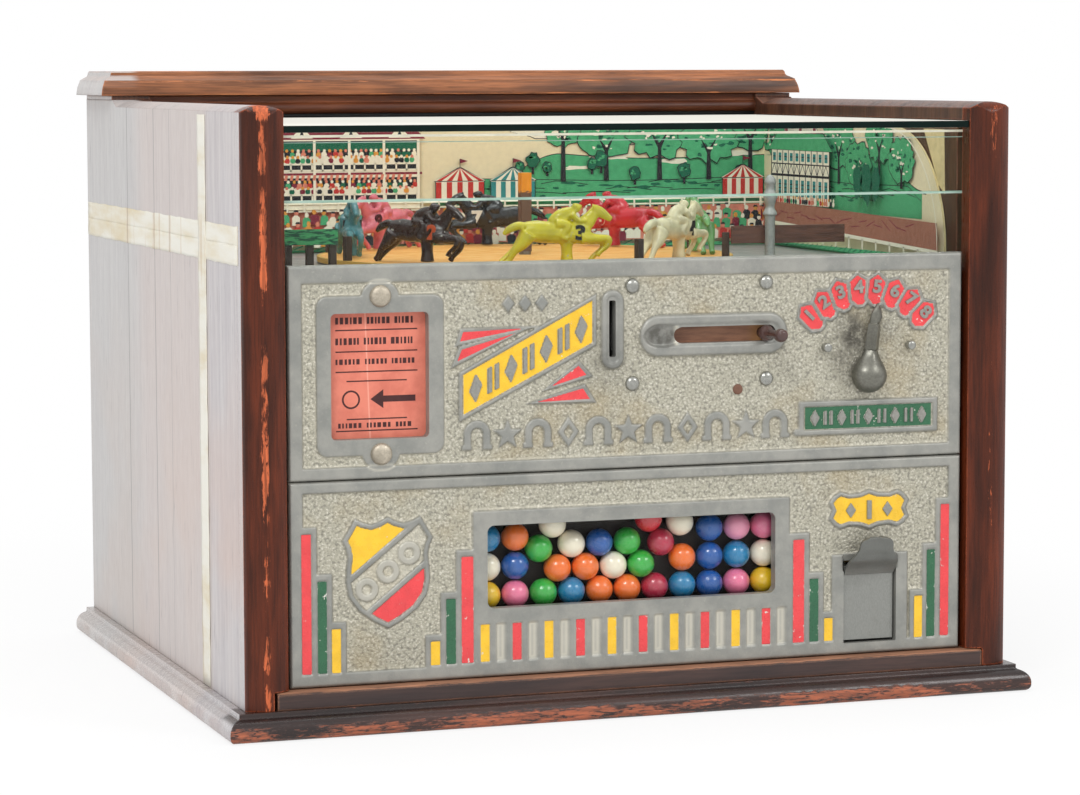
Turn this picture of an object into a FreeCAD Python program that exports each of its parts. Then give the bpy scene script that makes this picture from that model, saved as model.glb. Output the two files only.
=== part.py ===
import FreeCAD, Part
import math
import os
import Sketcher

# Counter-top horse race machine with a ball gum vendor: a wooden cabinet, two cast
# aluminium front panels, and a turntable of eight runners under glass.
# Millimetres. +Z up, the front faces -Y, and the origin is the bottom centre of the whole.

V = FreeCAD.Vector
X_AXIS = V(1, 0, 0)
Y_AXIS = V(0, 1, 0)
Z_AXIS = V(0, 0, 1)

doc = FreeCAD.newDocument("RaceMachine")
sheet = doc.addObject("Spreadsheet::Sheet", "Sizes")
nodes = {}


class Size:
    """A number with the sheet expression it comes from."""

    def __init__(self, value, text):
        self.value = float(value)
        self.text = text

    def __float__(self):
        return self.value

    def __add__(self, other):
        return combine(self, "+", other)

    def __radd__(self, other):
        return combine(other, "+", self)

    def __sub__(self, other):
        return combine(self, "-", other)

    def __rsub__(self, other):
        return combine(other, "-", self)

    def __mul__(self, other):
        return combine(self, "*", other)

    def __rmul__(self, other):
        return combine(other, "*", self)

    def __truediv__(self, other):
        return combine(self, "/", other)

    def __neg__(self):
        return combine(0, "-", self)


def as_size(item):
    if isinstance(item, Size):
        return item
    return Size(item, "(%r)" % float(item))


def combine(left, sign, right):
    a = as_size(left)
    b = as_size(right)
    results = {"+": a.value + b.value, "-": a.value - b.value, "*": a.value * b.value}
    result = a.value / b.value if sign == "/" else results[sign]
    return Size(result, "(%s %s %s)" % (a.text, sign, b.text))


def size(alias, value):
    """Writes one driving size to the sheet and gives it back."""
    row = size.count = size.count + 1
    sheet.set("A%d" % row, alias)
    sheet.set("B%d" % row, str(value))
    sheet.setAlias("B%d" % row, alias)
    return Size(value, "Sizes." + alias)


size.count = 0

# Cabinet
overall_w = size("overall_width", 391)
overall_d = size("overall_depth", 340)
mould_out = size("mould_out", 9.5)
mould_top = size("mould_top", 12.2)
knob_out = size("knob_out", 14)
hinge_out = size("hinge_out", 3)
wall_t = size("wall_t", 20)
wall_crest = size("wall_crest", 279)
wall_rise = size("wall_rise", 3)
rear_wall_top = size("rear_wall_top", 279.5)
nose_depth = size("nose_depth", 11.5)
nose_rise = size("nose_rise", 3.7)
rail_top = size("rail_top", 20)
rail_lap = size("rail_lap", 7)
board_t = size("board_t", 12)
fit_gap = size("fit_gap", 0.3)

# Lid and glass
lid_seat = size("lid_seat", 281.4)
lid_t = size("lid_t", 12.3)
lid_out = size("lid_out", 5.3)
lid_d = size("lid_depth", 62.4)
lid_step = size("lid_step", 6.9)
glass_t = size("glass_t", 3)
glass_top = size("glass_top", 270)
pane_t = size("pane_t", 2.5)
pane_split = size("pane_split", 236.5)
groove_d = size("groove_depth", 3)

# Front castings
cast_gap = size("cast_gap", 1.8)
cast_recess = size("cast_recess", 6.5)
cast_t = size("cast_t", 5)
border_w = size("border_width", 6.5)
relief_h = size("relief_height", 1.2)
seam_z = size("seam_z", 112.7)
cast_top = size("cast_top", 208.5)

# Race compartment
floor_top = size("race_floor_top", 201)
floor_t = size("race_floor_t", 1.5)
disc_x = size("disc_x", -10)
disc_y = size("disc_y", -23)
disc_r = size("disc_radius", 101.5)
disc_t = size("disc_t", 2.5)
disc_top = size("disc_top", 204.5)
ring_inset = size("ring_inset", 15.5)
first_angle = size("first_angle", 170.7)
peg_w = size("peg_width", 3.2)
peg_h = size("peg_height", 11.5)
card_t = size("card_t", 1)
card_top = size("card_top", 266.2)
card_curve = size("card_curve", 58)
card_gap = size("card_gap", 14.6)
wing_top = size("wing_top", 161)

# Turntable bearing and drive
spindle_r = size("spindle_radius", 3)
running_gap = size("running_gap", 0.05)
ratchet_r = size("ratchet_radius", 22)
ratchet_t = size("ratchet_t", 4)
plate_z = size("plate_z", 158)
plate_t = size("plate_t", 2.5)
kicker_drop = size("kicker_drop", 7.2)
kick_x = size("kicker_x", 46)
kick_y = size("kicker_y", -80)
kick_reach = size("kicker_reach", 50)

# Lever
lever_travel = size("lever_travel", 40)
lever_x = size("lever_x", 64)
lever_z = size("lever_z", 173)
stem_r = size("stem_radius", 2.6)
knob_r = size("knob_radius", 3.4)
shutter_t = size("shutter_t", 1.6)
shutter_w = size("shutter_width", 12)

# Pick pointer
pick_x = size("pick_x", 115.7)
pick_z = size("pick_z", 152.5)
pick_r = size("pick_radius", 39.6)
pick_shaft_r = size("pick_shaft_radius", 2.5)
pick_rest = size("pick_rest_angle", 83.2)
pick_step = size("pick_step_angle", 13.3)

# Ball gum
ball_d = size("ball_diameter", 12.8)
window_w = size("window_width", 141)
window_low = size("window_low", 51.6)
window_high = size("window_high", 89.4)
tray_clear = size("tray_clear", 1.4)
tray_top = size("tray_top", 110)
tray_left = size("tray_left_lap", 2.6)
tray_right = size("tray_right_lap", 7.1)
sheet_t = size("sheet_t", 1.2)
wheel_out = size("wheel_out", 25.5)
wheel_z = size("wheel_z", 56)
wheel_r = size("wheel_radius", 17)
flap_x = size("flap_x", 117.5)
flap_w = size("flap_width", 25.4)
flap_low = size("flap_low", 26.8)
flap_pivot_z = size("flap_pivot_z", 61.5)
flap_t = size("flap_t", 1.5)

# Back
door_w = size("door_width", 280)
door_low = size("door_low", 40)
door_high = size("door_high", 242)
hinge_pin_r = size("hinge_pin_radius", 0.8)
leaf_t = size("leaf_t", 1.2)
hinge_l = size("hinge_length", 24)

# Planes and edges that follow from the sizes above
cab_w = overall_w - 2 * mould_out
half_w = cab_w / 2
inner_x = half_w - wall_t
cast_w = 2 * (inner_x - cast_gap)
y_crest = knob_out - overall_d / 2
y_rear = overall_d / 2 - hinge_out
y_mould = y_crest - 7.5
y_nose = y_crest + nose_depth
y_face = y_crest + cast_recess
y_ground = y_face + relief_h
y_back = y_face + cast_t
y_lid = y_rear - lid_d
wall_low = wall_crest - wall_rise
lid_z = lid_seat + fit_gap
ring_r = disc_r - ring_inset
tray_depth = ball_d + tray_clear
wheel_x = window_w / 2 + wheel_out
sheet.recompute()


# Helpers


def bind(obj, prop, amount):
    """Sets a property, and ties it to the sheet where the amount comes from there."""
    if isinstance(amount, Size):
        obj.setExpression(prop, amount.text)
    else:
        names = prop.split(".")
        if len(names) == 1:
            setattr(obj, prop, amount)
        else:
            base = obj.Placement.Base
            setattr(base, names[-1], float(amount))
            obj.Placement.Base = base


def keep(name, obj):
    obj.Label = name
    nodes[name] = obj
    return obj


def solid_box(name, x, y, z):
    """A box between two planes on each axis."""
    box = doc.addObject("Part::Box", name)
    spans = (("Length", "x", x), ("Width", "y", y), ("Height", "z", z))
    for prop, axis, (low, high) in spans:
        bind(box, prop, as_size(high) - low)
        bind(box, "Placement.Base." + axis, as_size(low))
    return box


def solid_rod(name, radius, start, length, direction=Z_AXIS):
    """A cylinder from a point along an axis."""
    rod = doc.addObject("Part::Cylinder", name)
    bind(rod, "Radius", as_size(radius))
    bind(rod, "Height", as_size(length))
    turn = FreeCAD.Rotation(Z_AXIS, direction)
    rod.Placement = FreeCAD.Placement(V(*[float(c) for c in start]), turn)
    for axis, place in zip("xyz", start):
        bind(rod, "Placement.Base." + axis, as_size(place))
    return rod


def fuse(name, parts):
    joined = doc.addObject("Part::MultiFuse", name)
    joined.Shapes = parts
    return joined


def cut(name, base, tools):
    tool = tools[0] if len(tools) == 1 else fuse(name + "_tools", tools)
    result = doc.addObject("Part::Cut", name)
    result.Base = base
    result.Tool = tool
    return result


def group(name, parts):
    """Separate solids of one kind under one name."""
    kind = doc.addObject("Part::Compound", name)
    kind.Links = parts
    return keep(name, kind)


def shaped(name, shape):
    """A piece whose form no feature gives directly."""
    feature = doc.addObject("Part::Feature", name)
    feature.Shape = shape
    return feature


def point(plane, u, v, depth=0):
    u, v, depth = float(u), float(v), float(depth)
    places = {"XY": V(u, v, depth), "XZ": V(u, depth, v), "YZ": V(depth, u, v)}
    return places[plane]


def outline(plane, steps, depth=0):
    """A closed wire. A step of two numbers is a corner, one of four an arc through a point."""
    edges = []
    here = point(plane, steps[-1][-2], steps[-1][-1], depth)
    for step in steps:
        end = point(plane, step[-2], step[-1], depth)
        if len(step) == 4:
            middle = point(plane, step[0], step[1], depth)
            edges.append(Part.Arc(here, middle, end).toShape())
        elif here.distanceToPoint(end) > 1e-6:
            edges.append(Part.LineSegment(here, end).toShape())
        here = end
    return Part.Wire(edges)


def extruded(plane, steps, low, high, holes=()):
    """The outline between two planes across its own plane."""
    across = {"XY": Z_AXIS, "XZ": Y_AXIS, "YZ": X_AXIS}[plane]
    wires = [outline(plane, steps, low)] + [outline(plane, hole, low) for hole in holes]
    face = Part.Face(wires)
    return face.extrude(across * (float(high) - float(low)))


def turned(profile, sides, place=V(0, 0, 0), axis=Z_AXIS):
    """A small lathe-turned piece with flat sides, from (radius, height) steps."""
    rings = []
    for radius, height in profile:
        turns = [2 * math.pi * (k + 0.5) / sides for k in range(sides)] if radius > 0 else [0]
        rings.append([V(radius * math.cos(t), radius * math.sin(t), height) for t in turns])
    faces = []
    for low, high in zip(rings, rings[1:]):
        for k in range(sides):
            n = (k + 1) % sides
            corners_here = [low[k % len(low)], low[n % len(low)], high[n % len(high)],
                            high[k % len(high)]]
            kept = [p for i, p in enumerate(corners_here)
                    if p.distanceToPoint(corners_here[i - 1]) > 1e-6]
            if len(kept) > 2 and (len(low) > 1 or len(high) > 1):
                faces.append(Part.Face(Part.makePolygon(kept + [kept[0]])))
    for ring in (rings[0], rings[-1]):
        if len(ring) > 1:
            faces.append(Part.Face(Part.makePolygon(ring + [ring[0]])))
    solid = Part.makeSolid(Part.makeShell(faces))
    if solid.Volume < 0:
        solid.reverse()
    solid.Placement = FreeCAD.Placement(place, FreeCAD.Rotation(Z_AXIS, axis))
    return solid


def skinned(rings):
    """A solid through closed rings of equal count, joined by flat triangles."""
    faces = [Part.Face(Part.makePolygon(ring + [ring[0]])) for ring in (rings[0], rings[-1])]
    for low, high in zip(rings, rings[1:]):
        for k in range(len(low)):
            n = (k + 1) % len(low)
            for three in ((low[k], low[n], high[n]), (low[k], high[n], high[k])):
                faces.append(Part.Face(Part.makePolygon(list(three) + [three[0]])))
    solid = Part.makeSolid(Part.makeShell(faces))
    if solid.Volume < 0:
        solid.reverse()
    return solid


def prism(radius, place, length, axis=Z_AXIS, sides=12):
    return turned([(float(radius), 0), (float(radius), float(length))], sides, place, axis)


def rectangle(u0, u1, v0, v1):
    return [(u0, v0), (u1, v0), (u1, v1), (u0, v1)]


def obround(u0, u1, v0, v1):
    radius = (float(v1) - float(v0)) / 2
    middle = (float(v1) + float(v0)) / 2
    left = float(u0) + radius
    right = float(u1) - radius
    return [(left, v0), (right, v0), (float(u1), middle, right, v1), (left, v1),
            (float(u0), middle, left, v0)]


def circle(u, v, radius):
    u, v, radius = float(u), float(v), float(radius)
    return [(u - radius, v), (u, v + radius, u + radius, v), (u, v - radius, u - radius, v)]


def mirrored(shape):
    return shape.mirror(V(0, 0, 0), X_AXIS)


def body_sketch(body, role, name, offset):
    """A sketch on one of the body's own planes, moved along its normal."""
    sketch = body.newObject("Sketcher::SketchObject", name)
    planes = [f for f in body.Origin.OriginFeatures if f.Role == role]
    sketch.AttachmentSupport = (planes[0], [""])
    sketch.MapMode = "FlatFace"
    offset = as_size(offset)
    sketch.AttachmentOffset = FreeCAD.Placement(V(0, 0, float(offset)), FreeCAD.Rotation())
    sketch.setExpression("AttachmentOffset.Base.z", offset.text)
    return sketch


def draw_outline(sketch, steps):
    """Closed chain of lines and arcs in a sketch."""
    here = V(float(steps[-1][-2]), float(steps[-1][-1]), 0)
    for step in steps:
        end = V(float(step[-2]), float(step[-1]), 0)
        if len(step) == 4:
            middle = V(float(step[0]), float(step[1]), 0)
            sketch.addGeometry(Part.Arc(here, middle, end), False)
        elif here.distanceToPoint(end) > 1e-6:
            sketch.addGeometry(Part.LineSegment(here, end), False)
        here = end


def draw_box(sketch, u0, u1, v0, v1):
    """A rectangle held by sheet-driven distances from the origin."""
    u0, u1, v0, v1 = [as_size(c) for c in (u0, u1, v0, v1)]
    first = sketch.GeometryCount
    corners = [(u0, v0), (u1, v0), (u1, v1), (u0, v1)]
    places = [V(float(a), float(b), 0) for a, b in corners]
    for index in range(4):
        sketch.addGeometry(Part.LineSegment(places[index], places[(index + 1) % 4]), False)
    for index in range(4):
        other = first + (index + 1) % 4
        sketch.addConstraint(Sketcher.Constraint("Coincident", first + index, 2, other, 1))
    for index, kind in enumerate(("Horizontal", "Vertical", "Horizontal", "Vertical")):
        sketch.addConstraint(Sketcher.Constraint(kind, first + index))
    tie(sketch, "DistanceX", (-1, 1, first, 1), u0)
    tie(sketch, "DistanceY", (-1, 1, first, 1), v0)
    tie(sketch, "DistanceX", (first, 1, first, 2), u1 - u0)
    tie(sketch, "DistanceY", (first + 1, 1, first + 1, 2), v1 - v0)


def tie(sketch, kind, ends, amount):
    index = sketch.addConstraint(Sketcher.Constraint(kind, *ends, float(amount)))
    sketch.setExpression("Constraints[%d]" % index, amount.text)


def draw_circle(sketch, u, v, radius):
    """A circle with a sheet-driven radius."""
    centre = V(float(u), float(v), 0)
    index = sketch.addGeometry(Part.Circle(centre, Z_AXIS, float(radius)), False)
    tie(sketch, "Radius", (index,), as_size(radius))


def pad(body, sketch, length, name):
    feature = body.newObject("PartDesign::Pad", name)
    feature.Profile = sketch
    bind(feature, "Length", as_size(length))
    return feature


def pocket(body, sketch, length, name):
    """Cuts against the sketch's normal, and makes sure that it cut something."""
    doc.recompute()
    before = body.Shape.Volume
    feature = body.newObject("PartDesign::Pocket", name)
    feature.Profile = sketch
    bind(feature, "Length", as_size(length))
    doc.recompute()
    if feature.Shape.Volume > before - 1e-3:
        raise RuntimeError(name + " cuts nothing")
    return feature


# Cabinet


def moulding_profile(face, outward):
    """Ovolo with a square step, from the board's edge outwards."""
    def at(out, up):
        return (float(face) + outward * out * float(mould_out) / 9.5, up * float(mould_top) / 12.2)
    return [at(0, 0), at(7.6, 0), at(9.0, 1.2) + at(9.5, 3.0), at(9.5, 3.8), at(8.1, 7.8) + at(4.6, 9.8),
            at(4.0, 10.4), at(4.0, 12.2), at(0, 12.2)]


def base():
    """Base board and the three mitred mouldings round it."""
    y_edge = y_mould + mould_out
    keep("base_board", solid_box("base_board", (-half_w, half_w), (y_edge, y_rear),
                                 (0, mould_top)))
    front = extruded("YZ", moulding_profile(y_edge, -1), -half_w - mould_out,
                     half_w + mould_out)
    side = extruded("XZ", moulding_profile(half_w, 1), y_mould, y_rear)
    reach = float(mould_out) + 1
    mitre = extruded("XY", [(half_w, y_edge), (float(half_w) + reach, float(y_edge) - reach),
                            (float(half_w) + reach, y_edge)], -1, float(mould_top) + 1)
    corner = extruded("XY", [(half_w, y_edge), (float(half_w) + reach, float(y_edge) - reach),
                             (half_w, float(y_edge) - reach)], -1, float(mould_top) + 1)
    front_piece = front.cut(mitre).cut(mirrored(mitre))
    side_piece = side.cut(corner)
    shape = Part.makeCompound([front_piece, side_piece, mirrored(side_piece)])
    keep("base_moulding", shaped("base_moulding", shape))


def crown(low, high):
    """The domed section of a wall's edge, from the inner face to the outer one."""
    middle = float(inner_x + wall_t / 2)
    return [(inner_x, low), (half_w, low), (half_w, wall_low),
            (middle, float(wall_crest), inner_x, wall_low)]


def side_panels():
    """Wide side boards with a domed top edge, a taller rear part and glass grooves."""
    step_y = float(y_lid)
    rear = extruded("YZ", [(step_y - 9, mould_top), (y_rear, mould_top),
                           (y_rear, rear_wall_top), (step_y, rear_wall_top),
                           (step_y - 9, wall_low)], inner_x, half_w)
    front = extruded("XZ", crown(mould_top, wall_low), y_nose, step_y - 9)
    panel = front.fuse(rear).removeSplitter()
    top_groove = Part.makeBox(float(groove_d), step_y + 8 - float(y_nose),
                              float(glass_t + 2 * fit_gap))
    top_groove.translate(V(float(inner_x), float(y_nose), float(glass_top - glass_t - fit_gap)))
    pane_low = float(floor_top - floor_t)
    pane_groove = Part.makeBox(float(groove_d), 2 * float(pane_t + fit_gap),
                               float(glass_top) - pane_low)
    pane_groove.translate(V(float(inner_x), float(y_nose) + 0.01, pane_low))
    panel = panel.cut(top_groove).cut(pane_groove)
    keep("side_panel_right", shaped("side_panel_right", panel))
    keep("side_panel_left", shaped("side_panel_left", mirrored(panel)))


def posts():
    """Rounded nosings on the front edge of each side, lapped by the bottom rail."""
    y_edge = y_crest + nose_rise
    middle = float(inner_x + wall_t / 2)
    plan = extruded("XY", [(inner_x, y_nose), (inner_x, y_edge),
                           (middle, float(y_crest), half_w, y_edge), (half_w, y_nose)],
                    mould_top, wall_crest)
    across = extruded("XZ", crown(mould_top, wall_low), y_crest - 1, y_nose)
    round_r = 6.0
    bend = round_r * (1 - math.sqrt(0.5))
    top = float(wall_crest)
    front = float(y_crest)
    side = extruded("YZ", [(y_nose, mould_top), (y_nose, wall_crest), (front + round_r, top),
                           (front + bend, top - bend, front, top - round_r),
                           (front, mould_top)], inner_x - 1, half_w + 1)
    post = plan.common(across).common(side)
    notch = Part.makeBox(float(rail_lap + fit_gap), 40, float(rail_top - mould_top + fit_gap))
    notch.translate(V(float(inner_x), float(y_crest) - 10, float(mould_top)))
    post = post.cut(notch)
    keep("post_right", shaped("post_right", post))
    keep("post_left", shaped("post_left", mirrored(post)))


def front_rail():
    """Bottom rail that laps both posts, with its top front edge eased."""
    box = solid_box("rail_blank", (-(inner_x + rail_lap) + 1.2, inner_x + rail_lap),
                    (y_crest + 0.4, y_nose), (mould_top, rail_top))
    doc.recompute()
    eased = doc.addObject("Part::Chamfer", "front_rail")
    eased.Base = box
    top_front = [i + 1 for i, e in enumerate(box.Shape.Edges)
                 if e.BoundBox.ZMin > float(rail_top) - 0.01
                 and e.BoundBox.YMax < float(y_crest) + 0.5]
    eased.Edges = [(index, 1.0, 1.0) for index in top_front]
    keep("front_rail", eased)


def lid():
    """Rear lid: a slab with an ogee edge on its front and both ends."""
    half = float(half_w + lid_out)
    back = float(y_rear)
    front = float(y_lid)
    k = float(lid_step) / 6.9
    t = float(lid_t) / 12.3
    low = float(lid_z)

    def edge(at, outward):
        def step(inset, up):
            return (at - outward * inset * k, low + up * t)
        return [step(0, 0), step(0.1, 1.5) + step(0.6, 4.0), step(2.0, 7.6) + step(5.4, 9.4),
                step(5.9, 10.1), step(6.2, 11.5) + step(6.9, 12.3)]

    right = edge(half, 1)
    mirrored_left = [(-u, v) for u, v in reversed(corners(right))]
    section = corners(right) + mirrored_left
    long_way = extruded("XZ", section, front - 1, back)
    profile = corners(edge(front, -1))
    other_way = extruded("YZ", profile + [(back, low + float(lid_t)), (back, low)],
                         -half - 1, half + 1)
    keep("lid", shaped("lid", long_way.common(other_way)))


def corners(steps):
    """The end points of a chain, with each arc's middle point kept as a corner."""
    result = []
    for step in steps:
        if len(step) == 4:
            result.append((step[0], step[1]))
        result.append((step[-2], step[-1]))
    return result


def rear_partition():
    """Moulded rail under the lid's front edge, on the board behind the backdrop."""
    front = float(y_lid) + 2.5
    low = float(glass_top + fit_gap)
    high = float(lid_seat)
    rail = extruded("YZ", [(front, low), (front, low + 1.6), (front - 1.8, low + 4.4, front, low + 7.2),
                           (front + 1, low + 7.6), (front + 1, high), (front + 12, high),
                           (front + 12, floor_top), (front + 4.5, floor_top),
                           (front + 4.5, low)], -inner_x, inner_x)
    keep("lid_rail", shaped("lid_rail", rail))


def top_glass():
    """Flat pane in the grooves of both sides, narrower between the posts."""
    wide = inner_x + groove_d - fit_gap
    narrow = inner_x - fit_gap
    main = solid_box("glass_main", (-wide, wide), (y_nose + fit_gap, y_lid + 6.8),
                     (glass_top - glass_t, glass_top))
    lip = solid_box("glass_lip", (-narrow, narrow), (y_crest + 4.5, y_nose + 1),
                    (glass_top - glass_t, glass_top))
    keep("top_glass", fuse("top_glass", [main, lip]))


def front_glass():
    """Two upright panes: the lower one in front, with its bare top edge in sight."""
    wide = inner_x + groove_d - fit_gap
    pitch = pane_t + fit_gap
    y_low = y_nose + 0.15
    lower = solid_box("pane_lower", (-wide, wide), (y_low, y_low + pane_t),
                      (floor_top, pane_split))
    upper = solid_box("pane_upper", (-wide, wide), (y_low + pitch, y_low + pitch + pane_t),
                      (floor_top, glass_top - glass_t - fit_gap))
    group("front_glass", [lower, upper])


def back_frame():
    """Rear wall round the door opening."""
    y_in = y_rear - board_t
    wall = solid_box("rear_wall", (-inner_x, inner_x), (y_in, y_rear), (mould_top, lid_seat))
    hole = solid_box("rear_hole", (-door_w / 2, door_w / 2), (y_in - 1, y_rear + 1),
                     (door_low, door_high))
    keep("back_frame", cut("back_frame", wall, [hole]))


def back_door():
    """Flush door with a hole for the lock."""
    gap = 0.8
    slab = solid_box("door_slab", (-door_w / 2 + gap, door_w / 2 - gap),
                     (y_rear - board_t, y_rear), (door_low + gap, door_high - gap))
    hole = solid_rod("lock_hole", 8, (door_w / 2 - 20, y_rear - board_t - 1, lock_z()),
                     board_t + 2, Y_AXIS)
    keep("back_door", cut("back_door", slab, [hole]))


def lock_z():
    return (door_low + door_high) / 2


def hinge(direction, across, outward, centre):
    """Leaf, strap and pin of a two-knuckle hinge. Across points from the leaf to the strap."""
    length = float(hinge_l)
    half = (length - float(fit_gap)) / 2
    start = centre - direction * (length / 2)
    flat_to_corner = math.cos(math.pi / 12)
    core = prism(float(hinge_pin_r + running_gap) / flat_to_corner, start, length, direction)
    leaf = wing_of_hinge(start, direction, -across, outward, half, core)
    far = start + direction * (length - half)
    strap = wing_of_hinge(far, direction, across, outward, half, core)
    leaf = leaf.fuse(plate_away(start, direction, -across, outward, length)).removeSplitter()
    strap = strap.fuse(plate_away(start, direction, across, outward, length)).removeSplitter()
    pin = Part.makeCylinder(float(hinge_pin_r), length, start, direction)
    return leaf, strap, pin


def wing_of_hinge(start, direction, side, outward, length, core):
    """One knuckle and the root that joins it to its flat."""
    radius = float(hinge_out) / 2
    barrel = prism(radius - 0.05, start, length, direction)
    near = start - outward * radius
    far = near + side * (radius + float(fit_gap)) + direction * length + outward * float(leaf_t)
    root = box_between(near, far)
    return barrel.fuse(root).cut(core)


def plate_away(start, direction, side, outward, length):
    """The flat of a leaf, clear of the other leaf's knuckle."""
    radius = float(hinge_out) / 2
    near = start - outward * radius + side * (radius + float(fit_gap))
    reach = float(lid_t) - 2 - radius - float(fit_gap)
    far = near + side * reach + direction * length + outward * float(leaf_t)
    return box_between(near, far)


def box_between(a, b):
    low = V(min(a.x, b.x), min(a.y, b.y), min(a.z, b.z))
    return Part.makeBox(abs(a.x - b.x), abs(a.y - b.y), abs(a.z - b.z), low)


def hinges():
    """Two butt hinges on the door and two on the lid, with the gum flap's pin."""
    axis_y = float(y_rear + hinge_out / 2)
    door_x = -float(door_w) / 2
    leaves, door_straps, lid_straps, pins = [], [], [], []
    for z in (float(door_low) + 35, float(door_high) - 35):
        leaf, strap, pin = hinge(Z_AXIS, X_AXIS, Y_AXIS, V(door_x, axis_y, z))
        leaves.append(leaf)
        door_straps.append(strap)
        pins.append(pin)
    lid_axis_z = float(lid_seat + fit_gap / 2)
    for x in (-0.32 * float(cab_w), 0.32 * float(cab_w)):
        leaf, strap, pin = hinge(X_AXIS, Z_AXIS, Y_AXIS, V(x, axis_y, lid_axis_z))
        leaves.append(leaf)
        lid_straps.append(strap)
        pins.append(pin)
    pins.append(flap_pin())
    keep("hinge_leaves", shaped("hinge_leaves", Part.makeCompound(leaves)))
    keep("door_straps", shaped("door_straps", Part.makeCompound(door_straps)))
    keep("lid_straps", shaped("lid_straps", Part.makeCompound(lid_straps)))
    keep("hinge_pins", shaped("hinge_pins", Part.makeCompound(pins)))


def door_lock():
    """Barrel through the door, with a cam that turns behind the frame."""
    x = float(door_w / 2 - 20)
    z = float(lock_z())
    y_in = float(y_rear - board_t)
    y_out = float(y_rear)
    shell = turned([(7.8, -0.5), (7.8, float(board_t)), (10, float(board_t)),
                    (9.2, float(board_t) + 1.5)], 14, V(x, y_in, z), Y_AXIS)
    key = Part.makeBox(1.6, 8, 6, V(x - 0.8, y_out - 6, z - 3))
    bore = Part.makeCylinder(3 + float(running_gap), 8, V(x, y_in - 1, z), Y_AXIS)
    keep("lock_barrel", shaped("lock_barrel", shell.cut(key).cut(bore)))
    arm = Part.makeBox(9, 2, 31, V(-4.5, 0, -27))
    arm = arm.fuse(Part.makeCylinder(3, 8.5, V(0, 0, 0), Y_AXIS))
    arm.translate(V(x, y_in - 2.9, z))
    keep("lock_cam", shaped("lock_cam", arm))


# Front castings


def bar_steps():
    """Left, right, foot and top of each colour slot on the left half, in steps of three."""
    edge = -float(cast_w) / 2
    side = -float(window_w) / 2
    foot = float(rail_top) + 6.2
    outer = [(edge + 5.3, 4.9, foot, 89.5), (edge + 12.6, 4.6, foot, 68.2),
             (edge + 19.1, 4.5, foot, 46.4)]
    inner = [(side - 28.4, 4.7, foot + 0.8, 38.2), (side - 21.1, 4.9, foot + 0.8, 57.2),
             (side - 13.8, 6.0, foot + 0.8, 76.0)]
    return [(x, x + w, low, high) for x, w, low, high in outer + inner]


def slot_row():
    """The even row of short slots under the gum window."""
    pitch = (float(window_w) + 12.2) / 20
    start = -float(window_w) / 2 - 4.8
    foot = float(rail_top) + 7.2
    return [(start + pitch * k, start + pitch * k + 4.6, foot, foot + 17.4) for k in range(20)]


def raised_blocks():
    """Left, right and top of the smooth blocks that stand round slots, window and flap."""
    blocks = []
    for left, right, foot, top in bar_steps():
        blocks.append((left - 2.4, right + 2.4, top + 3.0))
        blocks.append((-right - 2.4, -left + 2.4, top + 3.0))
    side = float(window_w) / 2 + 6.9
    blocks.append((-side - 1.4, side - 0.8, float(window_high) + 6.8))
    blocks.append((float(flap_x) - 23.9, float(flap_x) + 23.7, float(flap_pivot_z) + 9.0))
    return blocks


def skyline(blocks, left, right, foot):
    """Steps over the tops of a row of blocks, from the left edge to the right one."""
    places = {x for block in blocks for x in block[:2] if left < x < right}
    edges = sorted(places | {left, right})
    steps = []
    for start, end in zip(edges, edges[1:]):
        middle = (start + end) / 2
        top = max([foot] + [b[2] for b in blocks if b[0] < middle < b[1]])
        if steps and steps[-1][1] == top:
            steps.pop()
            steps.append((end, top))
        else:
            steps += [(start, top), (end, top)]
    return steps


def sunk_ground():
    """The rough ground inside the lower casting's border, above the stepped blocks."""
    side = float(cast_w) / 2 - 6.2
    top = float(seam_z) - 5.3
    return skyline(raised_blocks(), -side, side, float(rail_top) + 6.5) + [(side, top), (-side, top)]


def lower_panel():
    """Lower casting: smooth stepped blocks with sunk colour slots, shield, sign and window."""
    body = doc.addObject("PartDesign::Body", "lower_casting")
    low = rail_top + fit_gap
    high = seam_z - fit_gap / 2
    half = cast_w / 2
    plate = body_sketch(body, "XZ_Plane", "lower_plate", -y_back)
    draw_box(plate, -half, half, low, high)
    pad(body, plate, y_back - y_ground, "lower_pad")
    blocks = body_sketch(body, "XZ_Plane", "raised_blocks", -y_ground)
    draw_box(blocks, -half, half, low, high)
    draw_outline(blocks, sunk_ground())
    pad(body, blocks, relief_h, "block_pad")
    badges = body_sketch(body, "XZ_Plane", "badges", -y_ground)
    draw_outline(badges, shield_outline())
    draw_outline(badges, plaque_outline())
    pad(body, badges, relief_h, "badge_pad")
    slots = body_sketch(body, "XZ_Plane", "colour_slots", -y_face)
    for left, right, foot, top in bar_steps():
        draw_outline(slots, rectangle(left, right, foot, top))
        draw_outline(slots, rectangle(-right, -left, foot, top))
    for left, right, foot, top in slot_row():
        draw_outline(slots, rectangle(left, right, foot, top))
    draw_outline(slots, scaled(shield_outline(), shield_x(), 70.4, 0.88, 0.9))
    draw_outline(slots, scaled(plaque_outline(), sign_x(), 88.5, 0.9, 0.8))
    pocket(body, slots, relief_h * 0.8, "slot_pocket")
    ridges = body_sketch(body, "XZ_Plane", "shield_ridges", -y_ground)
    draw_outline(ridges, ridge(8.6, -16.5, 22.0))
    draw_outline(ridges, ridge(-8.6, -18.0, 16.5))
    pad(body, ridges, relief_h, "ridge_pad")
    gum_openings(body)
    keep("lower_casting", body)


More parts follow.
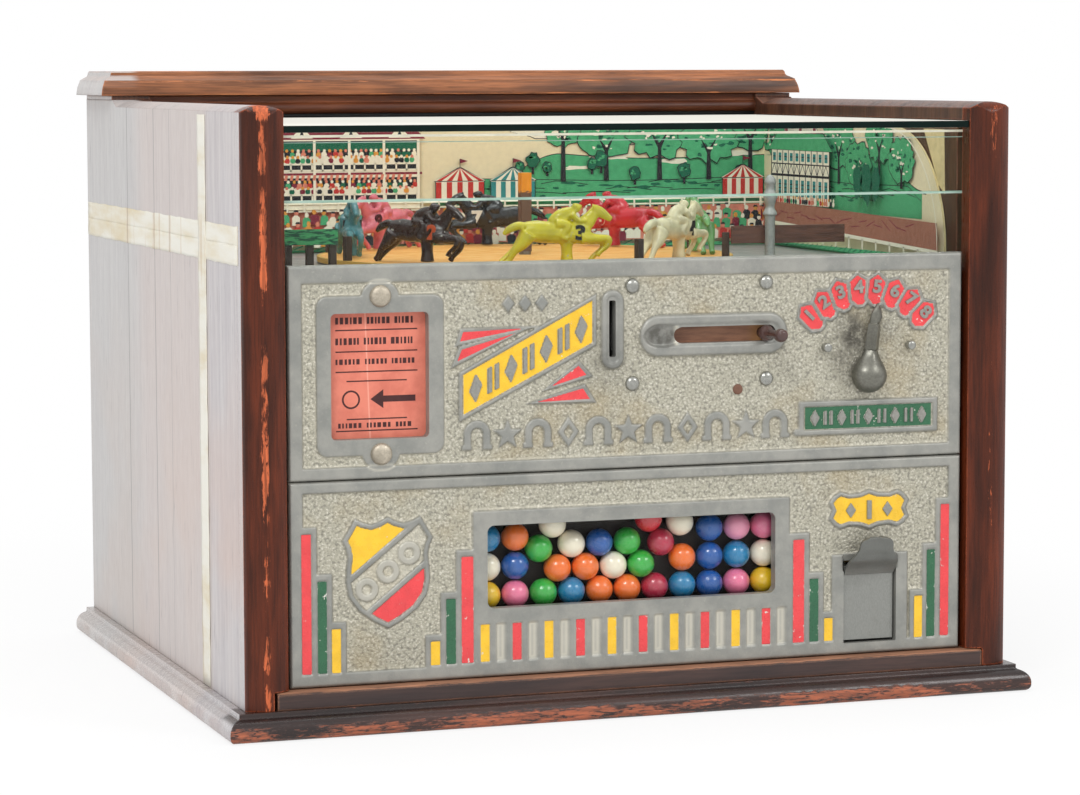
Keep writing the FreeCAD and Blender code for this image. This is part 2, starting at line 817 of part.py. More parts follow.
def gum_openings(body):
    """The gum window, and the flap's recess with its gateway and pin ears."""
    front = -y_ground + 2 * relief_h
    opening = body_sketch(body, "XZ_Plane", "window", front)
    draw_outline(opening, eased(-window_w / 2 - 1.4, window_w / 2 - 1.4, window_low,
                                window_high, 3.2))
    pocket(body, opening, 4 * cast_t, "window_pocket")
    recess = body_sketch(body, "XZ_Plane", "flap_recess", front)
    draw_box(recess, flap_x - 20.2, flap_x + 20.2, flap_low - 1.6, flap_pivot_z + 7.5)
    pocket(body, recess, 3 * relief_h, "recess_pocket")
    gate = body_sketch(body, "XZ_Plane", "flap_gate", front)
    draw_box(gate, flap_x - flap_w / 2 - 0.8, flap_x + flap_w / 2 + 0.8, flap_low - 1.2,
             flap_pivot_z + 3.2)
    pocket(body, gate, 4 * cast_t, "gate_pocket")
    for side, name in ((flap_x - flap_w / 2 - 6, "left_ear"), (flap_x + flap_w / 2 + 1, "right_ear")):
        ear = body_sketch(body, "YZ_Plane", name, side)
        draw_outline(ear, ring_of(flap_pin_y(), flap_pivot_z, 2.7, 8))
        pad(body, ear, 5.0, name + "_pad")
    holes = body_sketch(body, "YZ_Plane", "pin_holes", flap_x + flap_w)
    draw_circle(holes, flap_pin_y(), flap_pivot_z, 1.1 + running_gap)
    pocket(body, holes, 2 * flap_w, "pin_pocket")


def flap_pin_y():
    return float(y_back) + 1.6


def flap_pin():
    """Pin of the gum flap, in the casting's two ears."""
    reach = float(flap_w) / 2 + 5.5
    start = V(float(flap_x) - reach, flap_pin_y(), float(flap_pivot_z))
    return Part.makeCylinder(1.1, 2 * reach, start, X_AXIS)


def eased(u0, u1, v0, v1, radius):
    """A rectangle with its corners rounded in three chords each."""
    u0, u1, v0, v1 = float(u0), float(u1), float(v0), float(v1)
    points = []
    quarters = ((u1 - radius, v0 + radius, -90), (u1 - radius, v1 - radius, 0),
                (u0 + radius, v1 - radius, 90), (u0 + radius, v0 + radius, 180))
    for u, v, start in quarters:
        for step in range(4):
            angle = math.radians(start + 30 * step)
            points.append((u + radius * math.cos(angle), v + radius * math.sin(angle)))
    return points


def ring_of(u, v, radius, sides):
    """Corners of a regular outline with its flats above and below."""
    turns = [2 * math.pi * (k + 0.5) / sides for k in range(sides)]
    u, v, radius = float(u), float(v), float(radius)
    return [(u + radius * math.cos(t), v + radius * math.sin(t)) for t in turns]


def scaled(steps, u, v, across, up):
    """The same outline, smaller about a centre."""
    result = []
    for step in steps:
        pairs = zip(step[0::2], step[1::2])
        moved = [(u + (a - u) * across, v + (b - v) * up) for a, b in pairs]
        result.append(tuple(c for pair in moved for c in pair))
    return result


def both_sides(x, half, top):
    """A chain up the right side, a top point, and the same chain back down the left side."""
    right = [tuple(x + c if k % 2 == 0 else c for k, c in enumerate(step)) for step in half]
    ends = [(-step[-2], step[-1]) for step in half]
    left = []
    for index in range(len(half) - 1, 0, -1):
        step = half[index]
        middle = (x - step[0], step[1]) if len(step) == 4 else ()
        left.append(middle + (x + ends[index - 1][0], ends[index - 1][1]))
    crown = tuple(x + c if k % 2 == 0 else c for k, c in enumerate(top))
    fall = (x - top[0], top[1], x + ends[-1][0], ends[-1][1])
    return right + [crown, fall] + left


def shield_x():
    return (-float(cast_w) / 2 - float(window_w) / 2 - 4.8) / 2 + 1.05


def shield_outline():
    """Crested shield: a round foot that ends in a point, hollow flanks and two crown curves."""
    half = [(0, 45.2), (12.6, 52.6, 19.4, 67.5), (18.4, 77.0, 21.2, 85.5), (15.2, 95.4)]
    return corners(both_sides(shield_x(), half, (7.6, 92.3, 0, 95.6)))


def ridge(offset, start, end):
    """One of the two slanting ridges across the shield."""
    along, up = 0.785, 0.62
    corners_here = []
    for t, side in ((start, -1.3), (end, -1.3), (end, 1.3), (start, 1.3)):
        u = shield_x() + t * along - (offset + side) * up
        v = 71.0 + t * up + (offset + side) * along
        corners_here.append((u, v))
    return corners_here


def sign_x():
    return float(flap_x) - 0.5


def plaque_outline():
    """Small sign with scooped long edges and waved ends."""
    half = [(0, 79.0), (8.0, 81.6, 14.6, 79.8), (18.8, 81.0, 20.6, 84.6), (18.8, 88.5, 20.6, 92.4),
            (18.8, 96.0, 14.6, 97.4)]
    return corners(both_sides(sign_x(), half, (8.0, 95.4, 0, 98.0)))


def arc_plaques():
    """Centres and headings of the eight number plaques round the pick pointer."""
    middle = 90.0
    places = []
    for index in range(8):
        angle = math.radians(middle + (3.5 - index) * float(pick_step))
        places.append((float(pick_x) + float(pick_r) * math.cos(angle),
                       float(pick_z) + float(pick_r) * math.sin(angle), angle))
    return places


def hexagon(u, v, angle, across=10.4, along=16.6):
    """Plaque with a point at its outer end and a clipped inner end, square to its radius."""
    flat = [(-0.5, -0.3), (-0.16, -0.5), (0.16, -0.5), (0.5, -0.3), (0.5, 0.28), (0.0, 0.5),
            (-0.5, 0.28)]
    turn = angle - math.pi / 2
    result = []
    for a, b in flat:
        x = a * across
        y = b * along
        result.append((u + x * math.cos(turn) - y * math.sin(turn),
                       v + x * math.sin(turn) + y * math.cos(turn)))
    return result


def banner(grow=0.0):
    """Slanting banner, or the frame that stands round it."""
    tall = grow * 1.12
    return [(-83.3 - grow, 139.5 - tall * 1.5), (-20.9 + grow, 170.7 - tall * 0.5),
            (-20.9 + grow, 190.4 + tall * 1.5), (-83.3 - grow, 158.1 + tall * 0.5)]


def upper_panel():
    """Upper casting: card frame, banner, coin boss, lever bezel, number arc and plate."""
    body = doc.addObject("PartDesign::Body", "upper_casting")
    low = seam_z + fit_gap / 2
    half = cast_w / 2
    plate = body_sketch(body, "XZ_Plane", "upper_plate", -y_back)
    draw_box(plate, -half, half, low, cast_top)
    pad(body, plate, y_back - y_ground, "upper_pad")
    rim = body_sketch(body, "XZ_Plane", "upper_rim", -y_ground)
    draw_box(rim, -half, half, low, cast_top)
    draw_box(rim, -half + border_w, half - border_w, low + 5.7, cast_top - 7.9)
    pad(body, rim, relief_h, "upper_rim_pad")
    relief = body_sketch(body, "XZ_Plane", "upper_relief", -y_ground)
    draw_outline(relief, banner(1.6))
    draw_outline(relief, rectangle(80.9, 152.0, 124.4, 140.4))
    pad(body, relief, relief_h, "relief_pad")
    card_frame = body_sketch(body, "XZ_Plane", "card_frame", -y_ground)
    draw_outline(card_frame, card_frame_outline())
    pad(body, card_frame, relief_h, "card_frame_pad")
    raised = body_sketch(body, "XZ_Plane", "bosses", -y_ground)
    draw_outline(raised, eased(-17.0, -6.2, 158.6, 194.6, 5.3))
    draw_outline(raised, obround(1.6, 74.6, 163.6, 182.6))
    pad(body, raised, relief_h * 1.8, "boss_pad")
    for first, name in ((0, "odd_plaques"), (1, "even_plaques")):
        plaques = body_sketch(body, "XZ_Plane", name, -y_ground)
        for u, v, angle in arc_plaques()[first::2]:
            draw_outline(plaques, hexagon(u, v, angle))
        pad(body, plaques, relief_h, name + "_pad")
    sunk = body_sketch(body, "XZ_Plane", "sunk_fields", -y_face)
    draw_outline(sunk, banner())
    draw_outline(sunk, rectangle(83.6, 149.3, 126.9, 137.9))
    for u, v, angle in arc_plaques():
        draw_outline(sunk, hexagon(u, v, angle, 8.0, 13.6))
    pocket(body, sunk, relief_h * 0.75, "field_pocket")
    upper_openings(body)
    keep("upper_casting", body)


def upper_openings(body):
    """Card window, coin slot, lever slot in its sunk bezel, finger scoop and pick hole."""
    front = -y_ground + 3 * relief_h
    card = body_sketch(body, "XZ_Plane", "card_window", front)
    draw_box(card, card_x() - 23.0, card_x() + 22.4, 130.8, 187.0)
    pocket(body, card, 4 * cast_t, "card_pocket")
    slot = body_sketch(body, "XZ_Plane", "coin_slot", front)
    draw_box(slot, -13.2, -10.0, 164.0, 189.8)
    pocket(body, slot, 4 * cast_t, "slot_way")
    bezel = body_sketch(body, "XZ_Plane", "bezel_field", front)
    draw_outline(bezel, obround(5.2, 71.0, 168.4, 178.2))
    pocket(body, bezel, 2.2 * relief_h, "bezel_pocket")
    lever_path = body_sketch(body, "XZ_Plane", "lever_path", front)
    draw_outline(lever_path, lever_slot_outline())
    pocket(body, lever_path, 4 * cast_t, "lever_pocket")
    scoop = body_sketch(body, "XZ_Plane", "finger_scoop", front)
    draw_outline(scoop, eased(5.8, 24.0, 169.0, 177.6, 4.2))
    pocket(body, scoop, 4.2 * relief_h, "scoop_pocket")
    shaft = body_sketch(body, "XZ_Plane", "pick_hole", front)
    draw_circle(shaft, pick_x, pick_z, pick_shaft_r + running_gap)
    pocket(body, shaft, 4 * cast_t, "pick_pocket")


def lever_slot_outline():
    """Slot for the lever's stem, from the end of its stroke to its rest."""
    left = float(lever_x - lever_travel) - 5.0
    right = float(lever_x) + 5.0
    return obround(left, right, float(lever_z) - 3.8, float(lever_z) + 3.8)


def card_x():
    """Middle of the instruction card's frame."""
    return -float(cast_w) / 2 + 42.6


def card_frame_outline():
    """Frame of the instruction card, with round corners and a screw ear at top and foot."""
    x = card_x()
    low, high = 123.4, 194.8
    left = x - 29.6
    right = x + 29.6
    r = 5.0
    bend = r * (1 - math.sqrt(0.5))
    return [(left + r, low), (x - 9, low), (x, low - 6.2, x + 9, low), (right - r, low),
            (right - bend, low + bend), (right, low + r), (right, high - r),
            (right - bend, high - bend), (right - r, high), (x + 9, high),
            (x, high + 6.2, x - 9, high), (left + r, high), (left + bend, high - bend),
            (left, high - r), (left, low + r), (left + bend, low + bend)]


def panel_fasteners():
    """Domed rivets, the card frame's two round heads and the pointer's stop pins."""
    heads = [(-1.6, 196.2, 3.3), (64.4, 196.4, 3.3), (-1.6, 151.6, 3.3), (64.6, 151.8, 3.3),
             (50.4, 147.2, 2.4)]
    parts = []
    for index, (x, z, radius) in enumerate(heads):
        parts.append(dome(x, z, radius, float(y_ground), 0.62))
    for z in (194.4, 124.0):
        parts.append(dome(card_x(), z, 4.8, float(y_face), 0.5))
    for angle in (149.0, 31.0):
        a = math.radians(angle)
        x = float(pick_x) + 25.0 * math.cos(a)
        z = float(pick_z) + 25.0 * math.sin(a)
        parts.append(prism(2.0, V(x, float(y_ground), z), 4.2, -Y_AXIS, 8))
    keep("front_fasteners", shaped("front_fasteners", Part.makeCompound(parts)))


def dome(x, z, radius, y_seat, flatness):
    """Round head standing out of the panel, turned in two tapering steps."""
    rise = radius * flatness
    profile = [(radius, 0), (radius * 0.82, rise * 0.62), (radius * 0.36, rise)]
    return turned(profile, 9, V(x, y_seat, z), -Y_AXIS)


def instruction_card():
    """Card on a thin backing plate, held to the back of the casting."""
    keep("instruction_card", solid_box("instruction_card", (card_x() - 25.9, card_x() + 25.1),
                                       (y_back, y_back + card_t), (128, 190)))


# Lever, kicker and coin path


def lever_group():
    """Sliding carriage, fibre shutter, turned knob, guide rails and return spring."""
    y0 = y_back + fit_gap
    y1 = y0 + shutter_t
    low = lever_z - shutter_w / 2
    high = lever_z + shutter_w / 2
    shutter = solid_box("lever_shutter", (lever_x - lever_travel - 8.5, lever_x + lever_travel + 6),
                        (y0, y1), (low, high))
    keep("lever_shutter", shutter)
    bar = solid_box("slide_bar", (lever_x - 20, lever_x + 36), (y1, y1 + 4), (low, high))
    pin_x = kick_x + lever_travel / 2
    lug = solid_box("slide_lug", (pin_x - 4, pin_x + 4), (y1 + 4, kick_y - kick_reach + 3.5),
                    (lever_z - 2.5, lever_z + 0.5))
    pin = solid_rod("slide_pin", 2, (pin_x, kick_y - kick_reach, lever_z - 9.5), 8)
    keep("lever_slide", fuse("lever_slide", [bar, lug, pin]))
    knob()
    rails(y_back, y1, low, high)
    spring_r = 3.2
    spring_start = lever_x + 36
    spring = solid_rod("lever_spring", spring_r, (spring_start, y1 + 4.0 + 1.2, lever_z),
                       44, X_AXIS)
    keep("lever_spring", spring)
    anchor = solid_box("spring_anchor", (spring_start + 44, spring_start + 47),
                       (y_back, y1 + 9), (lever_z - 5, lever_z + 5))
    keep("spring_anchor", anchor)


def knob():
    """Turned knob: collar, waist and ball, on a stem through the slot."""
    foot = float(y_back) + 0.3
    reach = foot - float(y_crest - knob_out)
    ball = float(knob_r)
    stem = float(stem_r)
    profile = [(stem, 0), (stem, 4.4), (3.6, 4.4), (3.6, 6.6), (2.2, 8.6),
               (1.9, reach - 2 * ball), (ball * 0.87, reach - ball * 1.45),
               (ball, reach - ball * 0.95), (ball * 0.87, reach - ball * 0.45),
               (ball * 0.45, reach - ball * 0.06), (0, reach)]
    place = V(float(lever_x), foot, float(lever_z))
    keep("lever_knob", shaped("lever_knob", turned(profile, 12, place, -Y_AXIS)))


def rails(y_seat, y_bar, low, high):
    """Two lipped rails on the casting's back that guide the slide."""
    parts = []
    left = lever_x - lever_travel - 12
    right = lever_x + lever_travel + 8
    clear = fit_gap
    for side, z_edge in ((1, high + clear), (-1, low - clear)):
        web = (z_edge, z_edge + 4) if side > 0 else (z_edge - 4, z_edge)
        lip = (z_edge - 2, z_edge + 4) if side > 0 else (z_edge - 4, z_edge + 2)
        tag = "upper" if side > 0 else "lower"
        arm = solid_box(tag + "_web", (left, right), (y_seat, y_bar + 4 + clear), web)
        hook = solid_box(tag + "_lip", (left, right), (y_bar + 4 + clear, y_bar + 5.6 + clear),
                         lip)
        parts.append(fuse(tag + "_rail", [arm, hook]))
    group("slide_rails", parts)


def kicker():
    """Bent arm on the plate's stud: a fork for the slide's pin and a spring finger."""
    reach = float(kick_reach)
    half = float(lever_travel) / 2
    front = math.atan2(-reach, half)
    hub = V(float(disc_x - kick_x), float(disc_y - kick_y), 0)
    length = hub.Length - float(ratchet_r) - 0.6
    swing = 2 * math.atan2(half, reach)
    rear = math.atan2(hub.y, hub.x) + swing / 2
    z = float(lever_z - kicker_drop)

    def bar(angle, low, high, width):
        box = Part.makeBox(high - low, width, 2.0, V(low, -width / 2, 0))
        box.rotate(V(0, 0, 0), Z_AXIS, math.degrees(angle))
        return box

    span = math.hypot(reach, half)
    arm = bar(front, 0, span + 2, 9).fuse(bar(rear, 0, length - 12, 9))
    arm = arm.fuse(prism(8, V(0, 0, 0), 2.0, sides=16)).fuse(bar(rear, length - 14, length, 3))
    slot = bar(front, reach - 2.8, span + 6, 5.2)
    arm = arm.cut(slot).cut(Part.makeCylinder(3 + float(running_gap), 4, V(0, 0, -1)))
    arm.translate(V(float(kick_x), float(kick_y), z))
    keep("kicker_arm", shaped("kicker_arm", arm))


def mechanism_plate():
    """Steel plate under the race floor on four pillars, with the kicker's stud."""
    low = plate_z
    high = plate_z + plate_t
    sheet_metal = solid_box("drive_sheet", (disc_x - 45, kick_x + 32),
                            (kick_y - 32, disc_y + 45), (low, high))
    hole = solid_rod("spindle_hole", spindle_r + running_gap, (disc_x, disc_y, low - 1),
                     plate_t + 2)
    parts = [cut("drive_plate", sheet_metal, [hole])]
    under = floor_top - floor_t
    corners_xy = [(disc_x - 38, kick_y - 25), (kick_x + 25, kick_y - 25),
                  (disc_x - 38, disc_y + 38), (kick_x + 25, disc_y + 38)]
    for index, (x, y) in enumerate(corners_xy):
        pillar = doc.addObject("Part::Prism", "pillar_%d" % index)
        pillar.Polygon = 6
        pillar.Circumradius = 4.6
        bind(pillar, "Height", under - high + 1)
        for axis, place in zip("xyz", (x, y, high - 1)):
            bind(pillar, "Placement.Base." + axis, as_size(place))
        parts.append(pillar)
    arm_z = lever_z - kicker_drop
    seat = doc.addObject("Part::Prism", "kicker_seat")
    seat.Polygon = 8
    seat.Circumradius = 6.2
    bind(seat, "Height", arm_z - high + 1 - 0.2)
    for axis, place in zip("xyz", (kick_x, kick_y, high - 1)):
        bind(seat, "Placement.Base." + axis, as_size(place))
    parts.append(seat)
    parts.append(solid_rod("kicker_stud", 3, (kick_x, kick_y, high - 1), arm_z - high + 4))
    keep("mechanism_plate", fuse("mechanism_plate", parts))


def coin_chute():
    """Narrow channel from the coin slot down and back to the cash box."""
    front = float(y_back) + 4.0
    width = 24.0
    elbow = front + float(tray_depth) + 6.8
    outer = [(front, 192), (front + width, 192), (front + width, 128), (62, 84), (62, 60),
             (elbow, 104), (front, 126)]
    inner = [(front - 1, 190.5), (front + width - 1.2, 190.5), (front + width - 1.2, 127.2),
             (63, 82.6), (63, 61.4), (elbow + 0.6, 105.2), (front + 1.2, 126.6),
             (front + 1.2, 163.5), (front - 1, 163.5)]
    x = -11.6
    block = extruded("YZ", outer, x - 2.9, x + 2.9)
    way = extruded("YZ", inner, x - 1.9, x + 1.9)
    mouth = Part.makeBox(5.8, 4.2, 29, V(x - 2.9, float(y_back), 162))
    hole = Part.makeBox(3.8, 6.2, 27, V(x - 1.9, float(y_back) - 1, 163.5))
    shape = block.cut(way).fuse(mouth).cut(hole)
    path = Part.makeBox(12, float(shutter_t + 2 * fit_gap), float(shutter_w + 2 * fit_gap),
                        V(x - 6, float(y_back), float(lever_z - shutter_w / 2 - fit_gap)))
    shape = shape.cut(path)
    keep("coin_chute", shaped("coin_chute", shape))


def cash_box():
    """Open tray on the base board, below the end of the coin chute."""
    x0, x1, y0, y1 = -70, 50, 44, 140
    z0 = mould_top
    shell = solid_box("cash_shell", (x0, x1), (y0, y1), (z0, z0 + 44))
    space = solid_box("cash_space", (x0 + sheet_t, x1 - sheet_t), (y0 + sheet_t, y1 - sheet_t),
                      (z0 + sheet_t, z0 + 50))
    keep("cash_box", cut("cash_box", shell, [space]))


# Pick pointer


def pointer():
    """Teardrop knob drawn out to a ridged neck and a leaf tip, on a shaft with its nut."""
    y_front = float(y_ground) - 0.3
    stations = [(-8.7, 1.6, 1.0, 0, 0), (-7.0, 5.6, 4.6, 0, 0), (-3.6, 8.2, 7.2, 0, 0),
                (1.0, 8.6, 7.8, 0, 0), (5.0, 6.6, 5.6, 0.1, 0), (9.4, 4.1, 3.7, 0.6, 0),
                (12.6, 3.5, 4.6, 1, 0), (22.4, 3.2, 4.2, 1, 0), (25.2, 2.6, 2.7, 0.7, 1.0),
                (28.0, 2.9, 2.7, 0.4, 1.3), (33.4, 0.4, 2.1, 0.4, 1.3)]
    rings = []
    for height, wide, deep, ridged, lift in stations:
        y_low = y_front - lift
        ring = [V(-wide, y_low, height), V(wide, y_low, height)]
        for step in range(7):
            angle = math.pi * (step + 1) / 8
            dome_y = deep * math.sin(angle)
            gable_y = deep * (1 - abs(math.cos(angle)))
            drop = dome_y * (1 - ridged) + gable_y * ridged + 0.4
            drop = max(drop, lift + 0.2)
            ring.append(V(wide * math.cos(angle), y_front - drop, height))
        rings.append(ring)
    shaft_end = float(y_back) + 9.0
    shaft = Part.makeCylinder(float(pick_shaft_r), shaft_end - y_front + 1,
                              V(0, y_front - 1, 0), Y_AXIS)
    shape = skinned(rings).fuse(shaft)
    shape.rotate(V(0, 0, 0), Y_AXIS, 90 - float(pick_rest))
    shape.translate(V(float(pick_x), 0, float(pick_z)))
    keep("pick_pointer", shaped("pick_pointer", shape))
    y_nut = float(y_back) + 0.3
    nut = extruded("XZ", [(5 * math.cos(math.radians(60 * k)), 5 * math.sin(math.radians(60 * k)))
                          for k in range(6)], y_nut + 1.2, y_nut + 5.0)
    washer = prism(6.5, V(0, y_nut, 0), 1.2, Y_AXIS, 10)
    nut = nut.fuse(washer)
    bore = float(pick_shaft_r + running_gap)
    nut = nut.cut(Part.makeCylinder(bore, 20, V(0, y_nut - 5, 0), Y_AXIS))
    nut.translate(V(float(pick_x), 0, float(pick_z)))
    keep("pointer_nut", shaped("pointer_nut", nut))


# Ball gum vendor


def gum_parts():
    """Glass, tray, balls, vending wheel, chute and flap."""
    x0 = -window_w / 2 - 1.4
    x1 = window_w / 2 - 1.4
    y0 = y_back
    y_tray = y0 + pane_t + fit_gap
    keep("gum_glass", solid_box("gum_glass", (x0 - 2.2, x1 + 3.5), (y0, y0 + pane_t),
                                (window_low - 3, window_high + 3)))
    left = x0 - tray_left
    right = x1 + tray_right
    y_end = y_tray + tray_depth
    floor_z = window_low - 3.6
    outer = solid_box("tray_outer", (left - sheet_t, right + sheet_t), (y0, y_end + sheet_t),
                      (floor_z - sheet_t, tray_top))
    inner = solid_box("tray_inner", (left, right), (y0 - 1, y_end), (floor_z, tray_top + 1))
    mouth = solid_box("tray_mouth", (right - 1, right + sheet_t + 1), (y_tray, y_end),
                      (floor_z, floor_z + ball_d + 1.6))
    keep("gum_tray", cut("gum_tray", outer, [inner, mouth]))
    gum_balls(float(left), float(right), float(y_tray + tray_depth / 2), float(floor_z))
    gum_wheel(y_tray, y_end, floor_z)
    gum_chute(y_tray, y_end)
    gum_flap()


def gum_balls(left, right, y, floor_z):
    """One layer of balls: stacked square at both ends, and settled into gaps between."""
    d = float(ball_d)
    pitch = d + 0.88
    rise = math.sqrt((d + 0.08) ** 2 - (pitch / 2) ** 2)
    heap = [(column, 0) for column in range(11)]
    heap += [(column, d + 0.2) for column in (0, 1, 7, 8, 9, 10)]
    heap += [(column, 2 * d + 0.6) for column in (0, 1, 8, 9, 10)]
    heap += [(column + 0.5, rise) for column in (2, 3, 4, 5)]
    heap += [(column, 2 * rise) for column in (3, 4, 5)]
    heap += [(1.84, 1.59 * d), (2.33, 2.45 * d), (5.78, 2.49 * d), (6.22, 1.6 * d),
             (6.92, 2.3 * d)]
    last = int((right - left) / pitch) - 1
    heap = [(column, height) for column, height in heap
            if column <= last and floor_z + height + d + 0.2 < float(tray_top)]
    ball = faceted_ball(d / 2)
    balls = []
    for column, height in heap:
        placed = ball.copy()
        x = left + d / 2 + 0.6 + column * pitch
        placed.translate(V(x, y, floor_z + d / 2 + 0.2 + height))
        balls.append(placed)
    keep("gum_balls", shaped("gum_balls", Part.makeCompound(balls)))


def faceted_ball(radius):
    """Ball of eighteen squares and eight triangles, all corners on the sphere."""
    far = 1 + math.sqrt(2)
    scale = radius / math.sqrt(2 + far * far)
    points = []
    for place in range(3):
        for signs in range(8):
            values = [scale, scale, scale]
            values[place] *= far
            signed = [v if signs >> k & 1 else -v for k, v in enumerate(values)]
            points.append(V(*signed))
    normals = [V(a, b, c) for a in (-1, 0, 1) for b in (-1, 0, 1) for c in (-1, 0, 1)
               if (a, b, c) != (0, 0, 0)]
    faces = [ball_face(points, normal) for normal in normals]
    solid = Part.makeSolid(Part.makeShell(faces))
    if solid.Volume < 0:
        solid.reverse()
    return solid


def ball_face(points, normal):
    """The flat of the ball that faces one way, its corners put in order round it."""
    normal = V(normal).normalize()
    reach = max(p.dot(normal) for p in points)
    ring = [p for p in points if p.dot(normal) > reach - 1e-6]
    middle = V(0, 0, 0)
    for p in ring:
        middle += p / len(ring)
    first = (ring[0] - middle).normalize()
    side = normal.cross(first)
    ring.sort(key=lambda p: math.atan2((p - middle).dot(side), (p - middle).dot(first)))
    return Part.Face(Part.makePolygon(ring + [ring[0]]))


def gum_wheel(y_tray, y_end, floor_z):
    """Star wheel with four ball pockets, on a shaft across the vendor."""
    body = doc.addObject("PartDesign::Body", "gum_wheel")
    disc = body_sketch(body, "XZ_Plane", "wheel_disc", -(y_end - 0.8))
    draw_outline(disc, wheel_outline())
    pad(body, disc, y_end - y_tray - 2.8, "wheel_pad")
    shaft = body_sketch(body, "XZ_Plane", "wheel_shaft", -(y_end + sheet_t + 4))
    draw_circle(shaft, 0, 0, 3)
    pad(body, shaft, y_end - y_tray + sheet_t + 2, "shaft_pad")
    body.Placement = FreeCAD.Placement(V(float(wheel_x), 0, float(wheel_z)), FreeCAD.Rotation())
    keep("gum_wheel", body)


def wheel_outline():
    """Rim and four ball pockets as short chords, starting beside the pocket on the left."""
    rim = float(wheel_r)
    scoop = float(ball_d) / 2 + 0.5
    away = rim - 1.0
    half = math.acos((rim * rim + away * away - scoop * scoop) / (2 * rim * away))
    points = []
    for quarter in range(4):
        middle = math.pi - quarter * math.pi / 2
        for step in range(5):
            angle = middle - half - (math.pi / 2 - 2 * half) * step / 4
            points.append((rim * math.cos(angle), rim * math.sin(angle)))
        next_one = middle - math.pi / 2
        centre = (away * math.cos(next_one), away * math.sin(next_one))
        lip = rim * math.sin(half) / scoop
        sweep = math.pi - math.asin(lip) if rim * math.cos(half) > away else math.asin(lip)
        for step in range(1, 6):
            turn = next_one + math.pi - sweep * (1 - 2 * step / 6)
            points.append((centre[0] + scoop * math.cos(turn),
                           centre[1] + scoop * math.sin(turn)))
    return points


def gum_chute(y_tray, y_end):
    """Housing round the wheel and the way down to the flap."""
    x0 = float(window_w / 2 - 1.4 + tray_right + sheet_t) + 0.2
    x1 = float(flap_x + flap_w / 2) + 6.6
    y1 = float(y_end)
    t = float(sheet_t)
    top = float(wheel_z + wheel_r) + 2
    low = float(flap_low) - 2.4
    back = Part.makeBox(x1 - x0, t, top - low, V(x0, y1, low))
    bore = Part.makeCylinder(3 + float(running_gap), 6, V(float(wheel_x), y1 - 2, float(wheel_z)),
                             Y_AXIS)
    roof = Part.makeBox(x1 - x0, y1 + t - float(y_back), t, V(x0, float(y_back), top))
    right = Part.makeBox(t, y1 + t - float(y_back), top - low + t, V(x1, float(y_back), low))
    slope = extruded("YZ", [(y_back, low), (y1, low + 7), (y1, low + 7 + t), (y_back, low + t)],
                     float(flap_x - flap_w / 2) - 3, x1)
    ramp = extruded("XZ", [(x0, float(wheel_z - wheel_r) - 2.2),
                           (float(flap_x - flap_w / 2) - 3, low + 7.2),
                           (float(flap_x - flap_w / 2) - 3, low + 6.0),
                           (x0, float(wheel_z - wheel_r) - 3.4)], y_back, y1)
    shape = back.cut(bore).multiFuse([roof, right, slope, ramp])
    keep("gum_chute", shaped("gum_chute", shape))


def gum_flap():
    """Pressed flap: flat gate below its pin, and a curled thumb tab above."""
    y = float(y_ground) + 0.4
    z = float(flap_pivot_z)
    t = float(flap_t)
    x0 = float(flap_x - flap_w / 2)
    x1 = float(flap_x + flap_w / 2)
    gate = Part.makeBox(x1 - x0, t, z + 1 - float(flap_low), V(x0, y, float(flap_low)))
    neck = extruded("YZ", [(y + t, z - 0.4), (y - 0.6, z + 1.1), (y - 4.6, z + 4.1),
                           (y - 6.5, z + 8.0), (y - 7.8, z + 11), (y - 8.9, z + 13.4),
                           (y - 9.6, z + 14.9), (y - 11.4, z + 15.4), (y - 11.5, z + 13.9),
                           (y - 10.4, z + 13.4), (y - 9.9, z + 12.6), (y - 9.2, z + 11),
                           (y - 8.0, z + 7.6), (y - 6.1, z + 3.8), (y - 1.4, z - 0.2),
                           (y, z - 1), (y + t, z - 1)], x0, x1)
    side = extruded("XZ", [(x0, z - 1.2), (x1, z - 1.2), (x1, z + 4.0), (x1 - 4.2, z + 8),
                           (x1 - 4.8, z + 17), (x0 + 4.8, z + 17), (x0 + 4.2, z + 8),
                           (x0, z + 4.0)], y - 12, y + 4)
    lugs = []
    pin_y = flap_pin_y()
    for x in (x0, x1 - 2.0):
        tongue = Part.makeBox(2.0, pin_y - y - t + 0.01, 3.2, V(x, y + t - 0.01, z - 2.2))
        eye = prism(2.2, V(x, pin_y, z), 2.0, X_AXIS)
        lugs.append(tongue.fuse(eye))
    shape = gate.fuse(neck.common(side)).multiFuse(lugs)
    bore = (1.1 + float(running_gap)) / math.cos(math.pi / 12)
    hole = prism(bore, V(x0 - 1, pin_y, z), x1 - x0 + 2, X_AXIS)
    keep("gum_flap", shaped("gum_flap", shape.cut(hole)))


# Race compartment


def race_floor():
    """Aluminium sheet across the cabinet, with a hole for the turntable's hub."""
    low = floor_top - floor_t
    plate = solid_box("floor_sheet", (-inner_x, inner_x), (y_nose, y_lid + 2.4), (low, floor_top))
    hole = solid_rod("hub_hole", 7.2, (disc_x, disc_y, low - 1), floor_t + 2)
    keep("race_floor", cut("race_floor", plate, [hole]))


